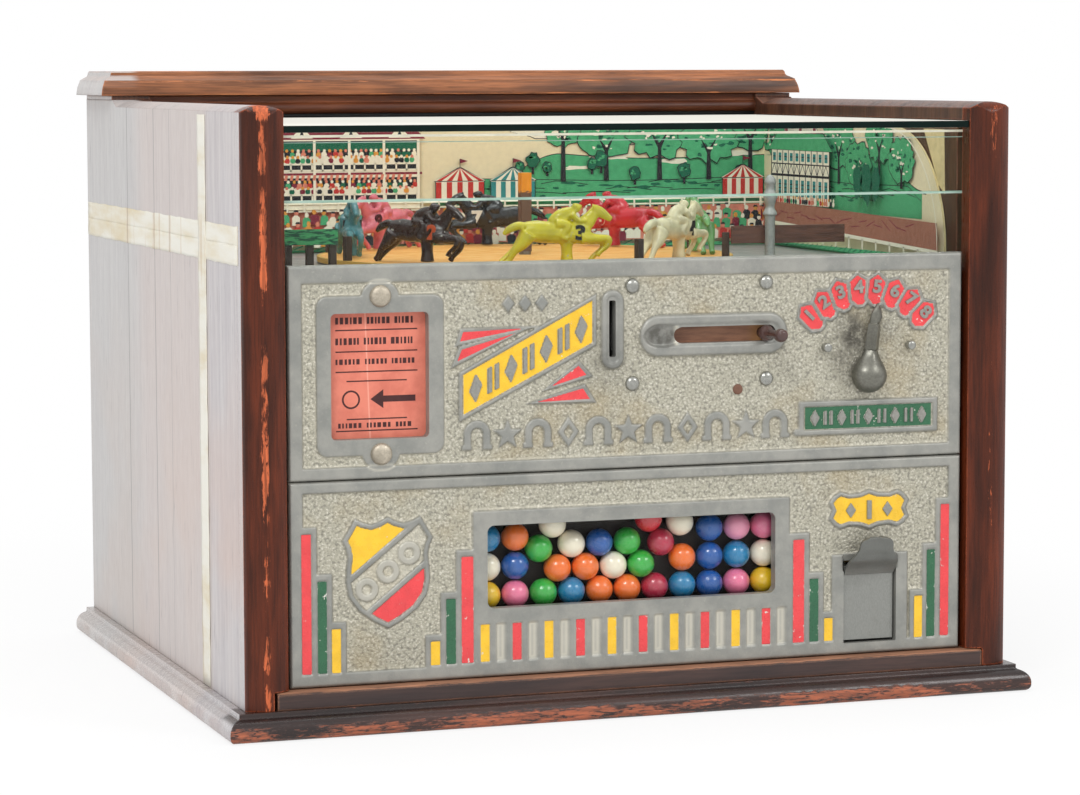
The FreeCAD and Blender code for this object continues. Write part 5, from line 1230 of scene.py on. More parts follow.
def raised_row(p):
    """A row of plain raised horseshoes, stars and diamonds."""
    for k in range(11):
        cx = -76.5 + 14.55 * k
        cz = 130.6
        if k % 2 == 0:
            far = np.hypot(p.x - cx, p.z - cz - 0.4)
            arch = 1.7 - np.abs(far - 4.6)
            below = np.maximum(-(p.z - cz - 0.4), 0)
            legs = 1.7 - np.abs(np.abs(p.x - cx) - 4.6) - np.maximum(below - 5.4, 0) * 2
            shoe = np.where(p.z > cz + 0.4, arch, legs)
            feet = p.box(cx - 7.2, cx - 2.6, cz - 6.6, cz - 4.4, r=0.5)
            feet = np.maximum(feet, p.box(cx + 2.6, cx + 7.2, cz - 6.6, cz - 4.4, r=0.5))
            p.lift(np.maximum(shoe, feet), 1.1, 0.8)
        elif k % 4 == 1:
            p.lift(p.outline(star(cx, cz - 0.2, 7.2)), 1.1, 0.8)
        else:
            p.lift(p.outline(diamond(cx, cz, 5, 7)), 1.1, 0.8)
            p.sink(p.outline(diamond(cx, cz, 2.2, 3.2)), 0.1, 0.7, 0.0)
    p.lift(p.disc(80.0, 126.0, 1.6), 1.0, 0.7)


# How far out of a plate's middle its number stands
DIGIT_PUSH = 1.4


def upper_paint():
    inlays("banner_field", "yellow", [BANNER], 0.72)
    inlays("banner_rays", "red", RAYS, 0.8)
    inlays("dial_plates", "red", [plaque(cx, cz, a, 8.9, 14.9) for cx, cz, a in arc_places()],
           0.72)
    inlays("plate_field", "green", [rectangle(83.7, 149.2, 127.0, 137.8)], 0.7)
    solid = Solid()
    for k, (cx, cz, a) in enumerate(arc_places()):
        points, faces = lettering(str(k + 1), 8.2, 0.3, 1.15, 0.25)
        place = facing(cx + DIGIT_PUSH * math.cos(a), GROUND_Y - 0.72,
                       cz + DIGIT_PUSH * math.sin(a), a - math.pi / 2)
        solid.add(points, faces, 0, place)
    for outline in banner_marks():
        solid.add(*slab(outline, 0.3, 1.15), 0, facing(0, GROUND_Y, 0))
    for outline in plate_marks():
        solid.add(*slab(outline, 0.3, 1.22), 0, facing(0, GROUND_Y, 0))
    solid.piece("raised_figures", "cabinet", [LOOKS["smooth_cast"]], "cast_aluminium", 40,
                (0.15, 1))


# Hardware on the front

def fasteners():
    solid = Solid()
    profile = curved([(3.5, -0.3), (3.45, 0.3), (3.0, 1.2), (2.0, 1.9), (1.0, 2.15), (0, 2.2)], 4)
    for x, z in ((-1.6, 196.2), (64.4, 196.4), (-1.6, 151.6), (64.6, 151.8)):
        solid.add(*lathe(profile, 28), 0, facing(x, GROUND_Y, z))
    big = curved([(5.0, 0.0), (4.95, 0.5), (4.2, 1.7), (2.6, 2.4), (1.0, 2.6), (0, 2.6)], 4)
    for x, z in ((-121.6, 194.4), (-121.6, 124.0)):
        solid.add(*lathe(big, 32), 1, facing(x, FACE_Y, z))
    screw = [(2.4, -0.2), (2.4, 0.3), (2.0, 0.7), (0.8, 0.8), (0, 0.3)]
    solid.add(*lathe(screw, 24), 2, facing(50.4, GROUND_Y, 147.2))
    pin = curved([(2.0, -0.3), (2.0, 1.6), (2.1, 3.2), (1.9, 4.0), (1.0, 4.4), (0, 4.45)], 3)
    for angle in (149.0, 31.0):
        a = math.radians(angle)
        solid.add(*lathe(pin, 24), 0, facing(PICK[0] + 25 * math.cos(a), GROUND_Y,
                                           PICK[1] + 25 * math.sin(a)))
    bright = metal("rivet_metal", (168, 168, 162), 0.28, 0.85, dirt=0.5)
    tan = metal("frame_screw_metal", (196, 186, 168), 0.4, 0.7, dirt=0.5)
    rust = plain("rusty_screw", (122, 88, 72), 0.7)
    made = solid.piece("front_rivets", "cabinet", [bright, tan, rust], "steel", 50)
    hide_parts("front_fasteners")


def lever_knob():
    foot = 144.2
    profile = [(2.6, 0), (2.6, 4.6), (3.5, 4.9), (3.7, 6.0), (3.3, 7.4), (2.3, 9.2), (2.0, 12.5),
               (2.1, 18.2), (2.4, 19.5), (3.0, 21.0), (3.15, 22.6), (2.8, 24.3), (1.9, 25.4),
               (0.9, 25.75), (0, 25.8)]
    solid = Solid()
    solid.add(*lathe(curved(profile, 4), 36), 0, facing(LEVER[0], -foot, LEVER[1]))
    look = gloss_paint("knob_brown", (86, 62, 58), rough=0.10, chip=0.8)
    made = solid.piece("turned_knob", "lever", [look], "brown_knob", 50)
    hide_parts("lever_knob")


# The pointer's direction at rest, in degrees
POINTER_REST = 83.2


def pick_pointer():
    """Teardrop bulb that narrows to a ridged neck and a leaf tip."""
    solid = Solid()
    sides = 40
    stations = [(-8.9, 0.9, 0.7, 0), (-8.4, 3.2, 2.4, 0), (-7.2, 5.4, 4.4, 0), (-5.0, 7.4, 6.4, 0),
                (-2.4, 8.5, 7.5, 0), (0.0, 8.7, 7.8, 0), (2.4, 8.0, 7.2, 0), (5.0, 6.6, 5.6, 0.1),
                (7.4, 5.0, 4.0, 0.25), (9.4, 3.9, 3.1, 0.4), (10.8, 3.3, 2.8, 0.5),
                (11.2, 3.2, 2.8, 0.8), (11.5, 3.5, 4.4, 1), (12.4, 3.5, 4.7, 1), (22.6, 3.2, 4.3, 1),
                (23.3, 3.1, 4.0, 1), (23.7, 2.5, 2.4, 0.8), (24.6, 2.7, 1.9, 0.5),
                (27.0, 3.0, 1.7, 0.4), (29.5, 2.3, 1.6, 0.4),
                (32.0, 1.1, 1.5, 0.4), (33.3, 0.25, 1.2, 0.4)]
    points = []
    for height, wide, deep, ridge in stations:
        lift = 0.6 + 1.2 * min(max((height - 23.5) / 3.5, 0), 1)
        for c, s in circle(sides):
            if s >= 0:
                dome = deep * s ** 0.9
                gable = deep * max(0, 1 - abs(c))
                w = dome * (1 - ridge) + gable * ridge
            else:
                w = 0.6 * s
            points.append((wide * c, height, w + lift))
    turn = math.radians(POINTER_REST - 90)
    solid.add(points, ring_faces(len(stations), sides), 0,
              facing(PICK[0], GROUND_Y - 1.5, PICK[1], turn))
    solid.add(*lathe([(2.5, -12.8), (2.5, 4)], 24), 0, facing(PICK[0], GROUND_Y, PICK[1]))
    look = metal("pointer_metal", (126, 125, 116), 0.36, 0.8, dirt=0.5)
    made = solid.piece("cast_pointer", "pointer", [look], "sheet_aluminium", 42)
    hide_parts("pick_pointer")


def gum_flap():
    """Pressed gate with a neck that leans out to a rolled thumb tab."""
    x0, x1 = FLAP_X
    middle = (x0 + x1) / 2
    gate = x1 - x0
    y = GROUND_Y + 0.4
    line = [(y - out, z, gate * share) for out, z, share in (
        (0, 26.8, 1), (0, 45, 1), (0, 56.6, 1), (0.7, 57.9, 1), (2.0, 59.6, 1), (3.5, 61.4, 1),
        (5.4, 63.2, 0.99), (7.0, 64.9, 0.95), (8.0, 66.6, 0.86), (8.8, 68.6, 0.74),
        (9.5, 70.8, 0.67), (10.1, 72.8, 0.66), (10.6, 74.3, 0.61), (11.0, 75.2, 0.50),
        (11.3, 75.8, 0.33), (11.5, 76.1, 0.16))]
    rows = curved(line, 4)
    count = 14
    thick = 1.3
    points = []
    for layer in (0, 1):
        for i, (ry, rz, wide) in enumerate(rows):
            ahead = (Vector(rows[min(i + 1, len(rows) - 1)][:2])
                     - Vector(rows[max(i - 1, 0)][:2]))
            normal = Vector((ahead.y, -ahead.x)).normalized()
            for k in range(count + 1):
                u = (k / count - 0.5) * wide
                crown = 0.0
                if rz > 68:
                    crown = (1 - (2 * k / count - 1) ** 2) * min(0.5, (rz - 68) * 0.2)
                points.append((middle + u, ry + 0.5 - crown + layer * thick * normal.x,
                               rz + layer * thick * normal.y))
    size = len(rows) * (count + 1)
    faces = grid_faces(len(rows) - 1, count) + grid_faces(len(rows) - 1, count, size)
    rim = list(range(count + 1)) + [i * (count + 1) + count for i in range(1, len(rows))]
    rim += [(len(rows) - 1) * (count + 1) + k for k in range(count - 1, -1, -1)]
    rim += [i * (count + 1) for i in range(len(rows) - 2, 0, -1)]
    for a, b in zip(rim, rim[1:] + rim[:1]):
        faces.append([a, b, size + b, size + a])
    solid = Solid()
    solid.add(points, faces)
    eye = lathe([(1.15, 0), (2.1, 0), (2.1, 2.0), (1.15, 2.0)], 20)
    across = Matrix.Rotation(math.radians(90), 4, "Y")
    for x in (x0, x1 - 2.0):
        solid.add(*eye, 0, Matrix.Translation((x, *FLAP_AXIS)) @ across)
        solid.add(*box_shape(x, x + 2, y, -143.6, 58.0, 62.0))
    look = metal("flap_metal", (150, 151, 146), 0.42, 0.6, brushed=(8, 1, 1), dirt=0.25)
    # Painted shade on the flap's leaning neck and tab.
    shaded_from(look, 0.0660, 0.0572, srgb(84, 86, 82), 0.55)
    made = solid.piece("pressed_flap", "flap", [look], "sheet_aluminium", 50, (0.25, 2), True)
    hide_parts("gum_flap")


def instruction_card():
    """Salmon card with ruled lines and a plain coin and arrow sign, under the frame."""
    front = -144.4
    card = Solid()
    card.add(*box_shape(-147.5, -96.5, front, -143.5, 128, 190), 0)
    y0, y1 = front - 0.06, front + 0.02
    rules = [(-141, -103, 179.2), (-141, -103, 169.6), (-141, -103, 160.6), (-136, -108, 156.4),
             (-136, -108, 139.4), (-141, -103, 134.2)]
    for x0, x1, z in rules:
        card.add(*box_shape(x0, x1, y0, y1, z - 0.28, z + 0.28), 1)
    rng = random.Random(5)
    for x0, x1, z, tall in ((-141, -103, 183.4, 3.0), (-141, -103, 174.2, 3.0),
                            (-141, -103, 165.1, 2.4), (-140, -104, 136.6, 2.2)):
        x, count = x0, 0
        while x < x1 - 2:
            count += 1
            wide = rng.uniform(0.7, 1.7)
            card.add(*box_shape(x, min(x + wide, x1), y0, y1, z - tall * 0.5, z + tall * 0.5), 1)
            x += wide + rng.uniform(0.55, 0.9) + (1.7 if count % 6 == 0 else 0)
    place = facing(0, front, 0)
    card.add(*slab(circle(24, 4.2, -134, 148.2), 0.0, 0.05), 1, place)
    card.add(*slab(circle(24, 3.36, -134, 148.2), 0.04, 0.09), 0, place)
    arrow = [(-125, 148.2), (-119, 152.4), (-119, 149.6), (-104, 149.6), (-104, 146.8),
             (-119, 146.8), (-119, 144.0)]
    card.add(*slab(arrow, 0.0, 0.06), 1, place)
    look = Look("card_paper", Specular_IOR_Level=0.5)
    base = look.blend(look.span(look.noise(90.0, 4, 0.6), 0.35, 0.7),
                      srgb(226, 130, 108), srgb(208, 112, 92))
    crease = look.cells(26.0, "DISTANCE_TO_EDGE", (1, 1, 0.25))
    line = look.span(crease, 0.0, 0.012, 0.5, 0.0)
    look.set("Base Color", look.blend(line, base, srgb(250, 190, 170)))
    look.set("Roughness", look.span(look.noise(60.0), 0.3, 0.7, 0.35, 0.6))
    look.set("Normal", look.relief(look.noise(300.0), 0.08, 0.4))
    ink = plain("card_ink", (70, 34, 34), 0.6)
    made = card.piece("printed_instruction", "cabinet", [look.material, ink], "printed_card", None)
    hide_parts("instruction_card")


# Ball gum

GUM_COLOURS = {
    "yellow": (255, 206, 40), "pink": (252, 128, 166), "green": (58, 182, 70),
    "teal": (36, 132, 184), "orange": (255, 122, 46), "crimson": (192, 44, 74),
    "blue": (34, 92, 172), "white": (255, 243, 220), "red": (222, 44, 58),
    "rose": (252, 160, 190),
}


def gum_heap():
    """Places and tones of the balls that show behind the pane, as they lie on each other."""
    d = BALL
    pitch = d + 0.88
    climb = math.sqrt((d + 0.08) ** 2 - (pitch / 2) ** 2)
    bottom = ("yellow", "pink", "green", "teal", "orange", "orange", "crimson", "teal", "blue",
              "pink", "yellow")
    heap = [(k, 0.0, tone) for k, tone in enumerate(bottom)]
    for k, tone in zip((0, 1, 7, 8, 9, 10), ("white", "blue", "orange", "blue", "teal", "white")):
        heap.append((k, d + 0.2, tone))
    for k, tone in zip((0, 1, 8, 9, 10), ("teal", "orange", "blue", "rose", "pink")):
        heap.append((k, 2 * d + 0.6, tone))
    for k, tone in zip((2, 3, 4, 5), ("orange", "orange", "white", "green")):
        heap.append((k + 0.5, climb, tone))
    for k, tone in zip((3, 4, 5), ("white", "blue", "green")):
        heap.append((k, 2 * climb, tone))
    heap += [(1.84, 1.59 * d, "green"), (2.33, 2.45 * d, "white"), (5.78, 2.49 * d, "red"),
             (6.22, 1.6 * d, "crimson"), (6.92, 2.3 * d, "white")]
    left = -71.9 - 2.6 + d / 2 + 0.6
    low = 51.6 - 3.6
    return [(left + k * pitch, low + d / 2 + 0.2 + h, tone) for k, h, tone in heap]


def gum_balls():
    low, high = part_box("gum_balls")
    y = (low.y + high.y) / 2 / MM
    base = low.z / MM
    shells = {}
    radius = BALL / 2
    ball = lathe([(radius * math.sin(math.pi * k / 18), -radius * math.cos(math.pi * k / 18))
                  for k in range(19)], 28)
    found = gum_heap()
    drop = min(z for _, z, _ in found) - radius - base
    rng = random.Random(3)
    for x, z, tone in found:
        shell = shells.setdefault(tone, Solid())
        turn = Matrix.Rotation(rng.uniform(0, 3), 4, "X") @ Matrix.Rotation(
            rng.uniform(0, 3), 4, "Z")
        shell.add(*ball, 0, Matrix.Translation((x, y, z - drop)) @ turn)
    first = None
    for tone, shell in shells.items():
        made = shell.piece("gum_" + tone, "cabinet", [candy("candy_" + tone, GUM_COLOURS[tone])],
                           "ball_gum", 60)
        first = first or made
    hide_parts("gum_balls")


# Race compartment

def horse_mesh():
    """One cast runner with its rider: tubes joined into a single smooth skin."""
    solid = Solid()

    def limb(path, radii, y=0.0, flat=1.0):
        """A tube through (along, up) places, or (along, up, out to one side)."""
        run = curved([(u, y + 1.1 * sum(out), v) for u, v, *out in path], 5)
        sizes = [r * 1.22 for (r,) in curved([(r,) for r in radii], 5)]
        solid.add(*tube(run, sizes, 14, flat))

    limb([(-16, 16.2), (-10, 15.6), (-2, 14.8), (6, 14.8), (12, 15.2),
          (15.5, 16.2)], [3.4, 4.4, 4.3, 4.6, 4.3, 2.4], flat=0.8)
    limb([(10, 16.4), (14.5, 20.4), (17.4, 24.2), (18.6, 26.2)],
         [4.0, 3.1, 2.3, 1.7], flat=0.6)
    limb([(17.2, 26.4), (20.6, 24.6), (24.4, 22.0), (26.0, 20.9)],
         [1.9, 2.1, 1.45, 1.15], flat=0.75)
    for side in (1, -1):
        limb([(17.6, 26.6), (17.0, 28.6)], [0.9, 0.35], side * 0.9)
    limb([(-15, 17.8), (-19, 18.4), (-23.4, 16.6), (-26.2, 14.2)],
         [1.5, 1.7, 1.5, 0.7])
    for side in (-1, 1):
        limb([(-14, 14.6, side * 1.6), (-17.6, 9.6, side * 2.2), (-21.0, 6.2, side * 2.3),
              (-24.6 - side, 2.0, side * 2.2), (-26 - side, 0.5, side * 2.2)],
             [3.4, 2.4, 1.4, 1.15, 1.35])
    limb([(11, 12.6, 1.8), (17.0, 11.0, 2.2), (22.2, 10.6, 2.4), (22.0, 7.0, 2.4),
          (17.8, 3.2, 2.3), (16.2, 1.0, 2.3)], [2.9, 1.9, 1.4, 1.15, 1.05, 1.3])
    limb([(11, 12.6, -1.8), (18.0, 12.0, -2.2), (24.0, 11.8, -2.4), (23.6, 8.6, -2.4),
          (19.6, 5.2, -2.3), (18.6, 3.4, -2.3)], [2.9, 1.9, 1.4, 1.1, 1.0, 1.2])
    limb([(4.2, 11), (4.4, 5), (4.4, 0.3)], [2.6, 2.2, 2.7], flat=1.1)
    limb([(-2.5, 19.2), (1.2, 22.4), (5.8, 24.2), (8.4, 24.6)],
         [2.6, 3.0, 2.6, 1.8], flat=0.8)
    limb([(8.2, 25.2), (9.2, 27.4), (9.8, 28.2)], [1.5, 2.0, 1.0])
    limb([(8.8, 28.0), (12.0, 27.4)], [1.0, 0.5], flat=1.3)
    for side in (-1, 1):
        limb([(6.4, 24.0, side * 2.0), (9.6, 20.8, side * 2.4), (13.6, 20.8, side * 1.7)],
             [1.4, 1.1, 0.9])
        limb([(-1.6, 19.4, side * 2.2), (4.6, 18.6, side * 3.3), (1.6, 13.4, side * 3.6),
              (4.2, 11.8, side * 3.6)], [1.9, 1.5, 1.05, 1.0])
    mesh = bpy.data.meshes.new("runner")
    mesh.from_pydata([p * MM for p in solid.points], [], solid.faces)
    obj = bpy.data.objects.new("runner_blank", mesh)
    bpy.context.scene.collection.objects.link(obj)
    skin = obj.modifiers.new("skin", "REMESH")
    skin.mode = "VOXEL"
    skin.voxel_size = 0.55 * MM
    soft = obj.modifiers.new("soft", "SMOOTH")
    soft.factor = 0.5
    soft.iterations = 3
    graph = bpy.context.evaluated_depsgraph_get()
    result = bpy.data.meshes.new_from_object(obj.evaluated_get(graph))
    bpy.data.objects.remove(obj)
    return result


RUNNERS = [(74, 132, 138), (52, 34, 30), (222, 208, 50), (232, 222, 182), (112, 170, 100),
           (206, 40, 54), (34, 34, 36), (226, 116, 130)]
NUMBER_INK = [(20, 24, 26), (206, 90, 50), (28, 24, 20), (28, 24, 20), (26, 40, 24),
              (240, 220, 210), (226, 222, 214), (70, 20, 30)]


def runners():
    blank = horse_mesh()
    xs = [v.co.x for v in blank.vertices]
    zs = [v.co.z for v in blank.vertices]
    long_way = 53.0 / ((max(xs) - min(xs)) / MM)
    for v in blank.vertices:
        v.co.x = (v.co.x - (max(xs) + min(xs)) / 2) * long_way
        v.co.z = (v.co.z - min(zs)) * 28.1 * MM / (max(zs) - min(zs))
    for k, (paint, ink_colour) in enumerate(zip(RUNNERS, NUMBER_INK)):
        number = str(k + 1)
        black = k == 1
        angle = math.radians(FIRST_ANGLE + 45 * k)
        x = DISC[0] + RING_R * math.cos(angle)
        y = DISC[1] + RING_R * math.sin(angle)
        turn = Matrix.Rotation(angle + math.pi / 2, 4, "Z")
        place = Matrix.Translation((x * MM, y * MM, DISC_TOP * MM)) @ turn
        mesh = blank.copy()
        mesh.transform(place)
        mesh.materials.clear()
        mesh.materials.append(gloss_paint("runner_paint_" + number, paint,
                                          chip=0.67 if black else 0.695,
                                          fleck=srgb(214, 210, 198) if black else None))
        made = finish_piece(mesh, "runner_" + number, "turntable", 70, weld=False)
        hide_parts("horse_" + number)
        digits = Solid()
        digit = lettering(number, 9.0, 0.35, 1.15, 0.35)
        for side in (-1, 1):
            stand = Matrix.Translation((10.6, side * 4.05, 14.6))
            stand = stand @ Matrix.Rotation(math.radians(90), 4, "X")
            if side > 0:
                stand = stand @ Matrix.Rotation(math.pi, 4, "Y")
            digits.add(*digit, 0, stand)
        whole = Matrix.Translation((x, y, DISC_TOP)) @ turn
        digits.points = [whole @ p for p in digits.points]
        digits.piece("runner_number_" + number, "turntable",
                     [plain("number_ink_" + number, ink_colour, 0.4)], "runner_paint", 40)


# The card's back, half its width, the front end of its wings, their rounded corner, foot and top
CARD_Y = 89.94
CARD_HALF = 164.6
WING_LOW = -129.0
CORNER_R = 58
BOTTOM, TOP = 201.2, 266.2
CARD_END = CARD_HALF + CARD_Y - WING_LOW
# How far each layer of ink stands over the last, and a full turn as the ridges and trees take it
LAYER = 0.022
ROUND = 6.28


def card_point(u, v, lift):
    """Folds the flat print onto the back and both wings of the card."""
    off = 0.06 + lift
    if u < -CARD_HALF:
        return (-CARD_HALF + off, CARD_Y + (u + CARD_HALF), v)
    if u > CARD_HALF:
        return (CARD_HALF - off, CARD_Y - (u - CARD_HALF), v)
    return (u, CARD_Y - off, v)


def card_corner(degrees, side=1):
    """A place on the rounded corner of a wing, from its front end up to its top."""
    a = math.radians(degrees)
    return (side * (CARD_END - CORNER_R * (1 - math.cos(a))),
            TOP - CORNER_R + CORNER_R * math.sin(a))


def steps(start, stop, step):
    """Places from start up to stop, as a running sum."""
    while start < stop:
        yield start
        start += step


# Inks of the print: material, colour, and how dark their mottling goes
INKS = {
    "sky": ("sky", (246, 234, 196), 0.93), "green": ("green", (86, 184, 128), 0.8),
    "deep": ("deep", (34, 112, 84), 0.8), "dark": ("outline", (44, 46, 50), 0.8),
    "cream": ("cream", (252, 246, 224), 0.95), "maroon": ("maroon", (140, 48, 66), 0.8),
    "rose": ("rose", (236, 146, 122), 0.8), "brown": ("track", (176, 116, 94), 0.8),
    "red": ("red", (212, 66, 60), 0.8), "orange": ("orange", (240, 168, 78), 0.8),
    "teal": ("teal", (60, 150, 150), 0.8),
}


class Print:
    """Flat inks laid on the folded card, each layer a hair above the last."""

    def __init__(self):
        self.inks = [plain("print_" + name, colour, 0.7, vary, 420.0, bump=0.05, spec=0.3)
                     for name, colour, vary in INKS.values()]
        self.solid = Solid()
        self.layer = 0
        self.low = 0.4 - CARD_END
        self.high = -self.low

    def lay(self, tone, outlines, raise_layer=True):
        if raise_layer:
            self.layer += 1
        for outline in outlines:
            for part in self.clipped(outline):
                flat = [Vector((x, y, 0)) for x, y in part]
                faces = [list(t) for t in tessellate_polygon([flat])]
                if faces:
                    self.solid.add([card_point(x, y, LAYER * self.layer) for x, y in part],
                                   faces, list(INKS).index(tone))

    def lay_groups(self, *groups):
        """Lays shapes that are sorted by ink, one layer to a group."""
        for group in groups:
            for tone, shapes in group.items():
                self.lay(tone, shapes, False)
            self.layer += 1

    def clipped(self, outline):
        """Cuts an outline at the card's folds, its foot, top and rounded ends."""
        outline = cut_by(outline, 0, 1, BOTTOM + 0.1)
        outline = cut_by(outline, 0, -1, -(TOP - 0.15)) if outline else outline
        pieces = []
        for low, high in ((self.low, -CARD_HALF), (-CARD_HALF, CARD_HALF), (CARD_HALF, self.high)):
            part = cut_by(outline, 1, 0, low) if outline else []
            part = cut_by(part, -1, 0, -high) if part else []
            if len(part) > 2:
                side = -1 if low < -CARD_HALF else 1
                for k in range(0 if low == -CARD_HALF else 12):
                    (u0, v0), (u1, v1) = card_corner(7.5 * k), card_corner(7.5 * (k + 1))
                    nu, nv = v0 - v1, u1 - u0
                    if len(part) > 2:
                        part = cut_by(part, side * nu, nv, nu * u0 + nv * v0)
                if len(part) > 2:
                    pieces.append(part)
        return pieces


def wavy(x0, x1, base, height, seed, waves, foot, taper=0.0, step=3.0):
    """Outline of a rolling ridge, closed along its foot; a taper lowers both its ends."""
    rng = random.Random(seed)
    parts = [(rng.uniform(0.4, 1.0), rng.uniform(0.5, 2.2), rng.uniform(0, 6)) for _ in range(waves)]
    total = sum(p[0] for p in parts)
    points = []
    x = x0
    while x <= x1 + 0.01:
        t = (x - x0) / max(x1 - x0, 1)
        wave = 0.5 + 0.5 * sum(a * math.sin(f * t * ROUND + ph) for a, f, ph in parts) / total
        ends = 1.0
        if taper:
            ends = min(1.0, t / taper, (1 - t) / taper)
            ends = ends * ends * (3 - 2 * ends)
        points.append((x, base + (height * wave) * ends - (1 - ends) * height * 0.6))
        x += step
    return points + [(points[-1][0], foot), (x0, foot)]


def blob(cx, cy, rx, ry, seed, count=18, rough=0.2):
    """Closed outline round a middle, uneven by a share of its radius."""
    rng = random.Random(seed)
    bumps = [1 + rng.uniform(-rough, rough) for _ in range(count)]
    return [(cx + rx * bumps[k] * math.cos(2 * math.pi * k / count),
             cy + ry * bumps[k] * math.sin(2 * math.pi * k / count)) for k in range(count)]


def stroke(points, width):
    """A line with some width, as an outline."""
    left, right = [], []
    for i, p in enumerate(points):
        a = Vector(points[max(i - 1, 0)])
        b = Vector(points[min(i + 1, len(points) - 1)])
        d = (b - a).normalized()
        nrm = Vector((-d.y, d.x)) * width / 2
        left.append((p[0] + nrm.x, p[1] + nrm.y))
        right.append((p[0] - nrm.x, p[1] - nrm.y))
    return left + right[::-1]


def backdrop():
    """A generic race meeting: stands, marquees, trees, a clubhouse, rails and a crowd."""
    p = Print()
    p.lay("sky", [rectangle(p.low, p.high, BOTTOM, TOP)])
    for scene_part in (country, marquees, stands, clubhouse, rail_and_crowd):
        scene_part(p)
    p.lay("cream", [stroke([card_corner(a, side) for a in range(0, 91, 5)], 1.6)
                    for side in (-1, 1)])
    p.solid.piece("track_print", "cabinet", p.inks, "printed_card", None)
    apply("backdrop_card", plain("card_board", (232, 214, 160), 0.75))


def outlined(p, ridge, line):
    """A green ridge with a dark line along it."""
    p.lay("dark", [[(x, y + line) for x, y in ridge]])
    p.lay("green", [ridge])


def country(p):
    """Hills, woods, clouds and field lines behind the course."""
    rng = random.Random(11)
    clouds = ((44, 262, 20, 3.4), (96, 258, 15, 3.0), (150, 263, 22, 4), (214, 262, 20, 4))
    for tone, wider in (("dark", 0.4), ("cream", 0)):
        p.lay(tone, [blob(x, y, rx + wider, ry + wider, 30 + i, 22, 0.14)
                     for i, (x, y, rx, ry) in enumerate(clouds)])
    outlined(p, wavy(8, 360, 243, 13, 3, 4, 222, 0.12), 0.45)
    p.lay("cream", [blob(x, y, rx, ry, 60 + i, 15, 0.35) for i, (x, y, rx, ry) in enumerate(
        ((78, 249, 11, 2.0), (112, 246, 8, 1.3), (58, 243, 7, 1.0), (150, 250, 9, 1.6)))])
    outlined(p, wavy(-20, 360, 234, 6, 8, 3, 222, 0.05), 0.4)
    creases = []
    for k in range(30):
        x = -10 + k * 12
        v = 229 + 6 * rng.random()
        creases.append(stroke([(x, v), (x + 8, v + 1.4 * rng.random()), (x + 17, v + rng.random()),
                               (x + 26, v - 1.2 * rng.random())], 0.4))
    p.lay("dark", creases)
    p.lay("deep", [blob(x, 228 + rng.uniform(0, 8), rng.uniform(1.5, 4), rng.uniform(0.5, 1.0),
                        int(x * 7) + 900, 11, 0.3) for x in range(-10, 330, 7)])
    for x, y, r in ((176, 262, 15), (262, 259, 19), (286, 246, 15), (50, 263, 11), (156, 264, 15),
                    (74, 259, 15), (104, 262, 18), (132, 258, 16), (312, 261, 16),
                    (338, 250, 14)):
        big_crown(p, x, y, r)
    crowns, trunks = [], []
    for x, y, r in ((26, 244, 2.4), (33, 247, 3.4), (41, 243.5, 2.2), (66, 245, 2.6), (71, 247.5, 3.6),
                    (90, 240, 3.0), (118, 241, 3.4), (150, 240, 3.0)):
        crowns.append(blob(x, y, r, r * 1.15, int(x) + 91, 18, 0.16))
        trunks.append([(x - 0.5, y - r * 0.6), (x - 0.8, y - r * 2.1), (x + 0.8, y - r * 2.1),
                       (x + 0.5, y - r * 0.6)])
    p.lay("dark", trunks + [drawn_in(c, -0.4) for c in crowns])
    p.lay("deep", crowns)
    lights = []
    for c in crowns:
        cx = sum(x for x, _ in c) / len(c)
        cy = sum(y for _, y in c) / len(c)
        for _ in range(4):
            lights.append(blob(cx + rng.uniform(-1.6, 1.2), cy + rng.uniform(-0.6, 1.8),
                               rng.uniform(0.6, 1.3), rng.uniform(0.4, 0.8), rng.randrange(9999), 8))
    p.lay("green", lights)


def big_crown(p, x, y, r):
    """A tall tree: lobed crown with gaps of sky and dark hollows, over a forked trunk."""
    rng = random.Random(int(x * 3 + y))
    foot = 236.0
    trunk = [(x - 1.3, foot), (x - 0.9, y - r * 0.5), (x - r * 0.3, y), (x, y - r * 0.35),
             (x + r * 0.3, y + 0.5), (x + 1.1, y - r * 0.5), (x + 1.6, foot)]
    crown = blob(x, y, r, r * 0.78, int(x) + 400, 34, 0.13)
    p.lay("dark", [[(a + (a - x) * 0.03, b + (b - y) * 0.05) for a, b in crown]])
    p.lay("green", [crown])
    inside = []
    for _ in range(26):
        angle, far = rng.uniform(0, ROUND), rng.uniform(0.1, 0.86)
        inside.append((x + r * far * math.cos(angle), y + r * 0.78 * far * math.sin(angle)))
    p.lay("deep", [blob(a, b - 0.6, rng.uniform(0.8, 2.4), rng.uniform(0.4, 1.1),
                        rng.randrange(9999), 10, 0.35) for a, b in inside[:14]])
    p.lay("dark", [trunk])
    p.lay("cream", [blob(a, b, rng.uniform(0.5, 1.7), rng.uniform(0.3, 0.8),
                         rng.randrange(9999), 9, 0.4) for a, b in inside[14:]])


